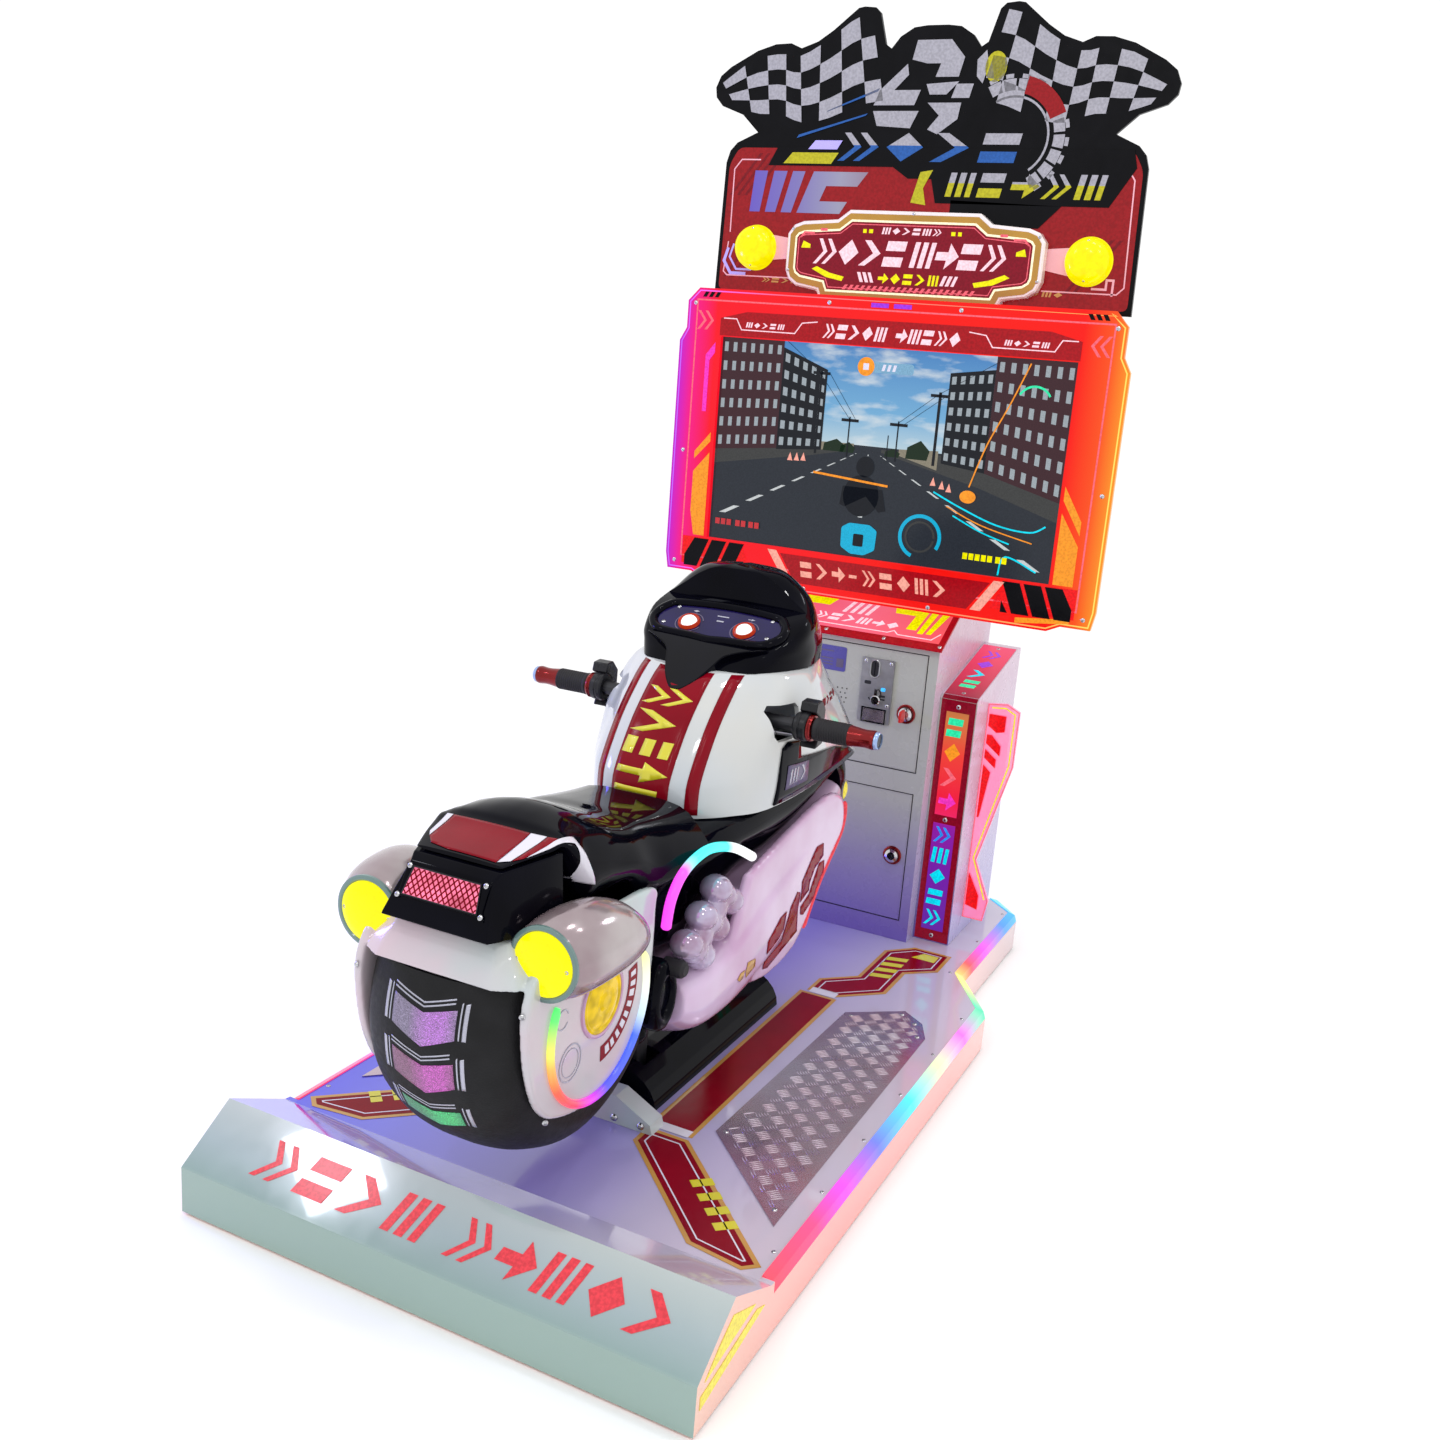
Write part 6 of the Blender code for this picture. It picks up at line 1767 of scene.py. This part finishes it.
    ticks = [pane(u, 0.935, u + 0.013, 0.905) for u in (0.76, 0.777, 0.794, 0.811, 0.828, 0.85, 0.867)]
    paint("counter", ticks, "lit_yellow")
    paint("sun", [round_shape(0.755, 0.645, 0.022, 0.03)], "lit_orange")
    paint("gauge", arc_band(window_point(0.9, 0.2), 0.03, 0.034, 30, 150, 20), "lit_green")


def view_materials():
    made, nodes, links, shader = tree("view_sky")
    axes = position(nodes, links)
    high = ramp(nodes, links, spread(nodes, links, axes["Z"], 0, 1, 1.04, 1.23), [
        (0, (0.55, 0.72, 0.8)), (0.35, (0.16, 0.45, 0.75)), (1, (0.03, 0.22, 0.58))])
    scale = nodes.new("ShaderNodeMapping")
    scale.inputs["Scale"].default_value = (7, 1, 22)
    links.new(nodes.new("ShaderNodeTexCoord").outputs["Object"], scale.inputs["Vector"])
    clouds = nodes.new("ShaderNodeTexNoise")
    clouds.inputs["Scale"].default_value = 1.6
    clouds.inputs["Detail"].default_value = 8.0
    links.new(scale.outputs["Vector"], clouds.inputs["Vector"])
    cover = spread(nodes, links, clouds.outputs["Fac"], 0, 0.85, 0.5, 0.68)
    links.new(mixed(nodes, links, cover, high, (0.8, 0.86, 0.88)), shader.inputs["Emission Color"])
    shader.inputs["Base Color"].default_value = (0.02, 0.03, 0.04, 1)
    shader.inputs["Emission Strength"].default_value = 0.8
    shader.inputs["Roughness"].default_value = 0.12
    for name, color in (("road", (0.03, 0.036, 0.048)), ("grey", (0.06, 0.062, 0.062)),
            ("cream", (0.3, 0.27, 0.2)), ("green", (0.012, 0.03, 0.014)), ("brick", (0.06, 0.022, 0.03)),
            ("dark", (0.01, 0.012, 0.018)), ("window", (0.4, 0.46, 0.5)), ("white", (0.7, 0.74, 0.74)),
            ("cyan", (0.01, 0.52, 0.82)), ("pale", (0.25, 0.5, 0.72))):
        glow("view_" + name, color, 0.85, base=shade(color, 0.15), cells=500.0, dim=0.8)
    surface("screen_glass", (0.012, 0.016, 0.022), 0.08, mottle=0.1)


RIM = mm([(0, 745), (360, 745), (385, 757), (440, 757), (446, 790), (446, 1215), (432, 1240), (432, 1292),
    (408, 1317), (0, 1317)])


def surround():
    """Lit acrylic frame of the display: printed bars, hatch corners, edge lines and screws."""
    rounded(dress("screen_surround", "surround_lit"), 0.0016, 3)
    face = upright(1.35)
    outer = RIM[:-1] + [RIM[-2]] + mirrored([RIM[-2:0:-1]])[0]
    edge = ring_outline(inset(outer, 0.004), 0.0024)
    plates("surround_edge", edge, face, "edge_line")
    plates("surround_frame", ring_outline(bar(-0.412, 0.786, 0.412, 1.296), 0.003), face, "lit_rose")
    header = mm([(-357, 1229), (-357, 1262), (-300, 1276), (300, 1276), (357, 1262), (357, 1229)])
    plates("header_bar", [header], face, "lit_crimson", 2)
    title = glyph_row(["double", "block", "chevron", "diamond", "bars"], -0.135, 0.026, 1.238, 0.023, 0.026,
        0.22)
    title += glyph_row(["arrow", "bars", "block", "double", "diamond"], 0.01, 0.026, 1.238, 0.023, 0.026,
        0.22)
    small = []
    for start in (-0.3, 0.218):
        small += glyph_row(["bars", "diamond", "chevron", "block", "bars"], start, 0.017, 1.247, 0.014, 0.01)
    line = mm([(-350, 1262), (-322, 1262), (-310, 1242), (-196, 1242), (-182, 1262), (-150, 1266)])
    lines = band(line, 0.002) + band(mirrored([line])[0], 0.002)
    plates("header_marks", title + small + lines, face, "lit_pink_white", 3)
    chevrons = [[(a, 1.256), (a + 0.014, 1.274), (a + 0.02, 1.274), (a + 0.006, 1.256), (a + 0.02, 1.238),
        (a + 0.014, 1.238)] for a in (0.372, 0.388)]
    plates("surround_chevrons", both_sides(chevrons), face, "lit_rose", 2)
    hatch = [[(a, 0.768), (a + 0.033, 0.768), (a + 0.009, 0.826), (a - 0.024, 0.826)] for a in (0.292, 0.332)]
    hatch += mm([[(372, 768), (402, 768), (402, 790), (381, 826), (348, 826)],
        [(270, 790), (284, 768), (270, 768)]])
    hatch += [[(a, 1.3), (a + 0.008, 1.3), (a + 0.002, 1.31), (a - 0.006, 1.31)]
        for a in (0.366, 0.379, 0.392)]
    plates("surround_hatch", both_sides(hatch), face, "decal_black", 2)
    backing = mm([[(248, 772), (408, 772), (408, 828), (276, 828)]])
    plates("hatch_backing", both_sides(backing), face, "lit_red")
    bars = mm([[(361, 832), (398, 832), (398, 905), (361, 962)],
        [(361, 985), (398, 925), (398, 950), (361, 1010)]])
    plates("side_bars_right", bars, face, "lit_orange", 2)
    left = mm([[(-361, 832), (-385, 832), (-395, 880), (-395, 960), (-361, 1000)],
        [(-361, 1022), (-395, 985), (-395, 1000), (-361, 1040)]])
    plates("side_bars_left", left, face, "lit_orange", 2)
    violet = mm([[(-365, 1215), (-385, 1190), (-385, 1080), (-376, 1080), (-376, 1180), (-365, 1195)]])
    plates("side_mark_left", violet, face, "lit_magenta", 2)
    plates("banner", mm([[(-187, 819), (245, 819), (205, 764), (-150, 764)]]), face, "lit_crimson", 2)
    marks = glyph_row(["block", "chevron", "arrow"], -0.14, 0.034, 0.778, 0.028, 0.03, -0.15)
    marks += [bar(-0.036, 0.79, -0.02, 0.796)]
    marks += glyph_row(["double", "block", "diamond", "bars", "chevron"], -0.008, 0.036, 0.778, 0.029, 0.03,
        -0.15)
    plates("banner_marks", marks, face, "lit_peach", 3)
    slashes = mm([[(-215, 824), (-196, 824), (-154, 764), (-173, 764)],
        [(252, 824), (272, 824), (232, 764), (212, 764)]])
    plates("banner_slashes", slashes, face, "lit_peach", 3)
    plates("surround_slots", mm([bar(-45, 1299, -10, 1307), bar(0, 1299, 35, 1307)]), face, "lit_violet", 2)
    plates("surround_foot_bar", mm([[(300, 752), (400, 764), (400, 772), (300, 762)]]), face, "lit_orange")
    spots = [(x, 1.35, z) for x, z in mm(((-415, 1288), (-130, 1303), (130, 1303), (415, 1288), (-422, 1000),
        (428, 1000), (-425, 775), (425, 775), (-130, 755), (130, 755)))]
    screws("surround_screws", spots, (0, -1, 0), "machine", 0.0042, 0.0018)
    rear = upright(1.36, -1)
    plates("surround_edge_back", edge, rear, "edge_line")
    rounded(dress("monitor_chassis", "satin_black"), 0.003, 3)
    rear = upright(1.438, -1)
    slots = [bar(x + 0.018 * k, z, x + 0.018 * k + 0.01, z + 0.06) for z in (0.88, 1.115)
        for x in (-0.325, 0.185) for k in range(8)]
    plates("chassis_vents", slots, rear, "hole", **SEAM)
    rounded(dress("monitor_frame", "dark_steel"), 0.0015, 2)
    bolts = [(x, 1.4635, z) for x in (-0.15, 0.15) for z in (0.76, 0.975, 1.275, 1.585)]
    screws("frame_bolts", bolts, (0, 1, 0), "machine", 0.006, 0.003)


BOARD = mm([(0, 1312), (417, 1312), (411, 1560), (404, 1582), (390, 1597), (347, 1616), (382, 1648),
    (428, 1664), (443, 1680), (445.5, 1698), (436, 1719), (415, 1735), (360, 1763), (322, 1774), (290, 1775),
    (268, 1766), (235, 1777), (205, 1796), (158, 1833), (146, 1835), (124, 1833), (114, 1824), (98, 1770),
    (86, 1762), (70, 1782), (45, 1797), (20, 1800), (0, 1800)])


def cloth(top, foot, columns, rows, odd):
    """Chequers of a waving flag between its top and foot edges."""
    upper = smooth_line([(*p, 0) for p in top], 8)
    lower = smooth_line([(*p, 0) for p in foot], 8)

    def point(s, t):
        line = []
        for edge in (upper, lower):
            place = s * (len(edge) - 1)
            k = min(int(place), len(edge) - 2)
            line.append(edge[k].lerp(edge[k + 1], place - k))
        return tuple(line[0].lerp(line[1], t))[:2]
    checks = []
    for column in range(columns):
        for row in range(rows):
            if (column + row) % 2 == odd:
                s0, s1, t0, t1 = column / columns, (column + 1) / columns, row / rows, (row + 1) / rows
                middle = (s0 + s1) / 2
                checks.append([point(s0, t0), point(s0, t1), point(middle, t1), point(s1, t1), point(s1, t0),
                    point(middle, t0)])
    return checks


def marquee():
    dress("marquee_board", "decal_black")
    face = upright(1.43)
    panel = smooth_corners(mm([(-409, 1320), (409, 1320), (403, 1556), (384, 1588), (-384, 1588),
        (-403, 1556)]), 0.012)
    plates("marquee_field", [panel], face, "marquee_red")
    stripes = [[(a, 1.345), (a + 0.006, 1.345), (a + 0.08, 1.44), (a + 0.074, 1.44)]
        for a in (-0.4, -0.385, 0.29, 0.305)]
    stripes += [[(a, 1.5), (a + 0.006, 1.5), (a + 0.066, 1.578), (a + 0.06, 1.578)]
        for a in mm((-398, -382, -366, -350, 250, 266, 282, 298, 314))]
    plates("marquee_stripes", stripes, face, "marquee_dark", 2)
    line = band(mm([(-335, 1566), (-376, 1566), (-391, 1548), (-391, 1430)]), 0.0024)
    line += band(mm([(-393, 1412), (-400, 1355), (-392, 1348), (-250, 1348)]), 0.0024)
    line += band(mm([(335, 1566), (372, 1566), (391, 1540), (398, 1360), (386, 1348), (250, 1348)]), 0.0024)
    line += band(mm([(378, 1345), (378, 1372), (366, 1372), (366, 1356), (340, 1356)]), 0.004)
    plates("marquee_lines", line, face, "decal_pink", 3)
    hexagon = mm([(-392, 1400), (-400, 1375), (-384, 1352), (-350, 1352)])
    plates("marquee_bracket", band(hexagon, 0.006) + band([(a + 0.012, b + 0.008) for a, b in hexagon],
        0.004), face, "decal_lilac", 4)
    slabs = mm([[(-352, 1470), (-330, 1470), (-318, 1546), (-345, 1546)],
        [(-318, 1470), (-296, 1470), (-276, 1546), (-304, 1546)],
        [(-284, 1470), (-262, 1470), (-238, 1546), (-264, 1546)],
        [(-250, 1470), (-160, 1470), (-146, 1492), (-204, 1492), (-192, 1520), (-128, 1520), (-108, 1546),
        (-220, 1546)]])
    plates("marquee_slabs", slabs, face, "marquee_lilac", 3)
    # painted light: pale pink beams from the strobe lamps towards the badge, drawn on the board in the same
    # pink as the printed lines
    beams = mm([[(240, 1420), (300, 1425), (300, 1375), (240, 1386)],
        [(-240, 1420), (-300, 1428), (-300, 1380), (-240, 1386)]])
    plates("marquee_beams", beams, face, "decal_pink", 2)
    backing = mm([[(-318, 1556), (-60, 1556), (-28, 1536), (18, 1536), (30, 1494), (352, 1494), (392, 1560),
        (384, 1590), (-300, 1590)], [(60, 1470), (110, 1455), (230, 1455), (268, 1494), (60, 1500)]])
    plates("marquee_backing", backing, face, "decal_black", 4)
    row_one = glyph_row(["double", "diamond", "chevron", "block"], -0.168, 0.092, 1.566, 0.08, 0.05, 0.22)
    upper, lower = split_marks(row_one, 1.594)
    row_two = glyph_row(["bars", "block", "arrow", "double", "bars"], 0.052, 0.06, 1.506, 0.052, 0.042, 0.22)
    top_two, foot_two = split_marks(row_two, 1.53)
    blade = mm([[(-236, 1586), (-176, 1586), (-166, 1602), (-222, 1602)]])
    top = mm([(130, 1822), (165, 1812), (215, 1778), (268, 1752), (310, 1756), (368, 1745), (430, 1706)])
    foot = mm([(92, 1672), (140, 1664), (205, 1640), (255, 1634), (300, 1648), (350, 1650), (400, 1664)])
    checks = cloth(top, foot, 8, 4, 0) + mirrored(cloth(top, foot, 8, 4, 1))
    checks = [shape_inside(shape) for shape in checks]
    gear = []
    for k in range(11):
        start = -62 + k * 17
        if k not in (5, 6):
            gear += arc_band((0.16, 1.61), 0.078, 0.098, start, start + 14, 5)
            gear += arc_band((0.16, 1.61), 0.099, 0.106, start + 3, start + 11, 3)
    gear += arc_band((0.16, 1.61), 0.066, 0.07, -55, 120, 24)
    crest = mm([[(-35, 1775), (30, 1775), (58, 1745), (50, 1712), (6, 1712), (14, 1735), (-12, 1735),
        (-42, 1742)], [(-100, 1690), (-50, 1735), (-46, 1716), (-72, 1690), (-20, 1690), (-30, 1664),
        (-110, 1664)], [(-10, 1700), (52, 1704), (30, 1682), (-2, 1682)],
        [(40, 1676), (74, 1676), (80, 1700), (48, 1700)], [(-110, 1654), (-20, 1654), (-34, 1624),
        (-100, 1628)], [(-4, 1668), (60, 1668), (56, 1640), (20, 1614), (0, 1622), (20, 1646)],
        [(82, 1740), (98, 1756), (104, 1730), (96, 1700), (84, 1712)]])
    plates("marquee_white", upper + top_two + checks + gear + crest, face, "marquee_white", 5)
    plates("marquee_lilac_bar", blade, face, "decal_lilac", 5)
    streaks = mm([[(-262, 1606), (-258, 1612), (-120, 1650), (-124, 1646)],
        [(-205, 1652), (-200, 1656), (-100, 1694), (-104, 1688)]])
    plates("marquee_blue", lower + streaks, face, "marquee_blue", 5)
    yellow = mm([[(-286, 1560), (-186, 1560), (-172, 1580), (-268, 1580)],
        [(-18, 1494), (12, 1490), (4, 1520), (20, 1552), (-4, 1548)]])
    yellow += [[(0.118 + 0.02 * math.cos(math.tau * k / 20), 1.728 + 0.026 * math.sin(math.tau * k / 20))
        for k in range(20)]]
    plates("marquee_yellow", foot_two + yellow, face, "marquee_yellow", 5)
    plates("marquee_segment", arc_band((0.16, 1.61), 0.074, 0.104, 24, 78, 10), face, "marquee_red", 6)
    tabs = [mark for start in (-0.312, 0.19) for mark in glyph_row(["double", "block", "chevron", "bars",
        "diamond"], start, 0.021, 1.338, 0.018, 0.009, 0.22)]
    plates("marquee_tabs", tabs, face, "decal_gold", 4)
    rear = upright(1.438, -1)
    plates("marquee_back", mm([[(-405, 1345), (405, 1345), (395, 1550), (376, 1578), (-376, 1578),
        (-395, 1550)]]), rear, "satin_black", lift=0.0001, thickness=0.0008)


def shape_inside(shape):
    """Corners that fall beyond the board's outline move towards the middle of their shape."""
    outline = BOARD + mirrored([BOARD[-2:0:-1]])[0]
    middle = Vector((sum(p[0] for p in shape) / len(shape), sum(p[1] for p in shape) / len(shape)))
    result = []
    for point in shape:
        place = Vector(point)
        for _ in range(12):
            if inside(tuple(place + (place - middle) * 0.12), outline):
                break
            place = place.lerp(middle, 0.12)
        result.append(tuple(place))
    return result


def split_marks(shapes, height):
    """The part of each outline above a level line and the part below it."""
    above, below = [], []
    for shape in shapes:
        for keep, store in ((1, above), (-1, below)):
            result = []
            for (x1, z1), (x2, z2) in zip(shape, shape[1:] + shape[:1]):
                if (z1 - height) * keep >= 0:
                    result.append((x1, z1))
                if (z1 - height) * (z2 - height) < 0:
                    t = (height - z1) / (z2 - z1)
                    result.append((x1 + (x2 - x1) * t, height))
            if len(result) > 2 and max(p[1] for p in result) - min(p[1] for p in result) > 0.0005:
                store.append(result)
    return above, below


def badge():
    """Raised sign in front of the marquee: white body, gold and pale rings, lit crimson face."""
    rounded(dress("badge_sign", "badge_body"), 0.003, 4)
    face = upright(1.405)
    half = mm([(176, 1308), (184, 1326), (228, 1333), (246, 1345), (253.5, 1362), (253.5, 1430), (241, 1446),
        (222, 1453), (152, 1458), (128, 1476)])
    outer = half + mirrored([half[::-1]])[0]
    plates("badge_gold", [inset(outer, 0.0065)], face, "badge_gold")
    plates("badge_pale", [inset(outer, 0.0175)], face, "badge_pale", 2)
    plates("badge_face", [inset(outer, 0.0215)], face, "deep_crimson", 3)
    plates("badge_inner_line", ring_outline(inset(outer, 0.025), 0.0016), face, "lit_rose", 4)
    marks = glyph_row(["double", "diamond", "chevron", "block"], -0.19, 0.047, 1.376, 0.045, 0.046, 0.22)
    marks += glyph_row(["bars", "arrow", "block", "double"], 0.006, 0.046, 1.376, 0.044, 0.046, 0.22)
    marks += glyph_row(["bars", "diamond", "chevron", "block", "bars", "double"], -0.058, 0.02, 1.434, 0.017,
        0.012, 0.22)
    marks += glyph_row(["bars"], -0.098, 0.03, 1.346, 0.03, 0.018, -0.4) + glyph_row(["bars"], 0.068, 0.03,
        1.346, 0.03, 0.018, 0.4)
    plates("badge_marks", marks, face, "lit_pink_white", 4)
    yellow = glyph_row(["arrow", "diamond", "block", "chevron", "bars"], -0.058, 0.025, 1.345, 0.021, 0.019,
        0.1)
    corners = mm([bar(77, 1435, 85, 1442), bar(90, 1435, 97, 1442),
        [(203, 1404), (222, 1404), (218, 1417), (203, 1411)],
        [(132, 1346), (166, 1352), (196, 1366), (186, 1371), (158, 1360), (128, 1354)]])
    plates("badge_yellow", yellow + both_sides(corners), face, "lit_yellow", 4)
    dots = both_sides(mm([[(196, 1430), (216, 1430), (224, 1422), (224, 1426), (218, 1434), (196, 1434)],
        bar(170, 1436, 184, 1441)]))
    dots += [[(a, 1.331), (a + 0.006, 1.331), (a + 0.012, 1.34), (a + 0.006, 1.34)]
        for a in [-0.13 + 0.012 * k for k in range(22)]]
    plates("badge_foot_bars", dots, face, "lit_rose", 4)
    spots = mm([(0, 1405, 1471.5), (-242, 1405, 1438.5), (242, 1405, 1438.5), (-247, 1405, 1362),
        (247, 1405, 1362)])
    screws("badge_screws", spots, (0, -1, 0), "machine", 0.003, 0.0014)
    for side, name in SIDES:
        low, high = design_box("strobe_lamp_" + name)
        depth = high.y - low.y
        centre = (side * 0.33, high.y, 1.402)
        lens = [(0, 0.04), (0, 0.043), (0.003, 0.043), (0.0045, 0.0412), (depth * 0.45, 0.0406),
            (depth * 0.7, 0.0375), (depth * 0.88, 0.0285), (depth * 0.97, 0.015), (depth, 0.002)]
        finish_mesh("strobe_dome_" + name, turned(lens, centre, (0, -1, 0), 56), "strobe_yellow", "machine",
            50, "lamp_yellow", ["strobe_lamp_" + name])
        screws("strobe_screws_" + name, [(side * 0.33, low.y + depth * 0.26, 1.402 + dz)
            for dz in (0.034, -0.034)], (0, -1, 0), "machine", 0.0024, 0.0016)


def display_materials():
    for name, color, strength, base in (
            ("marquee_red", (0.4, 0.012, 0.018), 0.45, (0.3, 0.008, 0.012)),
            ("marquee_dark", (0.26, 0.01, 0.02), 0.4, (0.2, 0.006, 0.012)),
            ("marquee_white", (0.55, 0.54, 0.6), 0.35, (0.45, 0.44, 0.5)),
            ("marquee_blue", (0.03, 0.15, 0.55), 0.4, (0.03, 0.12, 0.4)),
            ("marquee_yellow", (0.75, 0.7, 0.03), 0.4, (0.5, 0.46, 0.02))):
        glow(name, color, strength, base)
    glow_along("marquee_lilac", "X", -0.35, -0.1, [(0, (0.16, 0.1, 0.8)), (0.4, (0.3, 0.26, 0.7)),
        (0.75, (0.52, 0.52, 0.66)), (1, (0.45, 0.3, 0.36))], 0.55, (0.15, 0.13, 0.25))
    # pink print for the marquee lines, also used for the painted light beams from the strobes
    surface("decal_pink", (0.8, 0.4, 0.46), 0.2, mottle=0.06)
    surface("badge_body", (0.82, 0.74, 0.74), 0.14, coat=0.5, mottle=0.03)
    surface("badge_gold", (0.4, 0.2, 0.008), 0.18, coat=0.5, mottle=0.1)
    glow("badge_pale", (1, 0.92, 0.62), 1.1, base=(0.5, 0.45, 0.3))
    glow("strobe_yellow", (1, 0.9, 0), 0.85, base=(0.55, 0.48, 0), dim=0.88, cells=90)


def rear_side():
    """Louvres pressed into the service door."""
    rear = upright(1.66, -1)
    louvres = bmesh.new()
    for z in [0.5 + 0.016 * k for k in range(7)]:
        for x in (-0.05, 0.05):
            rings = []
            for a, tall, out in mm(((-34, 1, 0.2), (-30, 4, 1.6), (30, 4, 1.6), (34, 1, 0.2))):
                rings.append([rear(x + a, z - tall, 0), rear(x + a, z - tall, out * 0.4),
                    rear(x + a, z + tall, out), rear(x + a, z + tall, 0)])
            skin(rings, into=louvres)
    finish_mesh("rear_louvres", louvres, "cabinet", "rear_hatch", 30)


for build in (stage, platform, pedestal, motorcycle, cabinet_materials, view_materials, display_materials,
        cabinet, shelf):
    build()
both(side_panels)
for build in (screen_picture, surround, marquee, badge, rear_side):
    build()
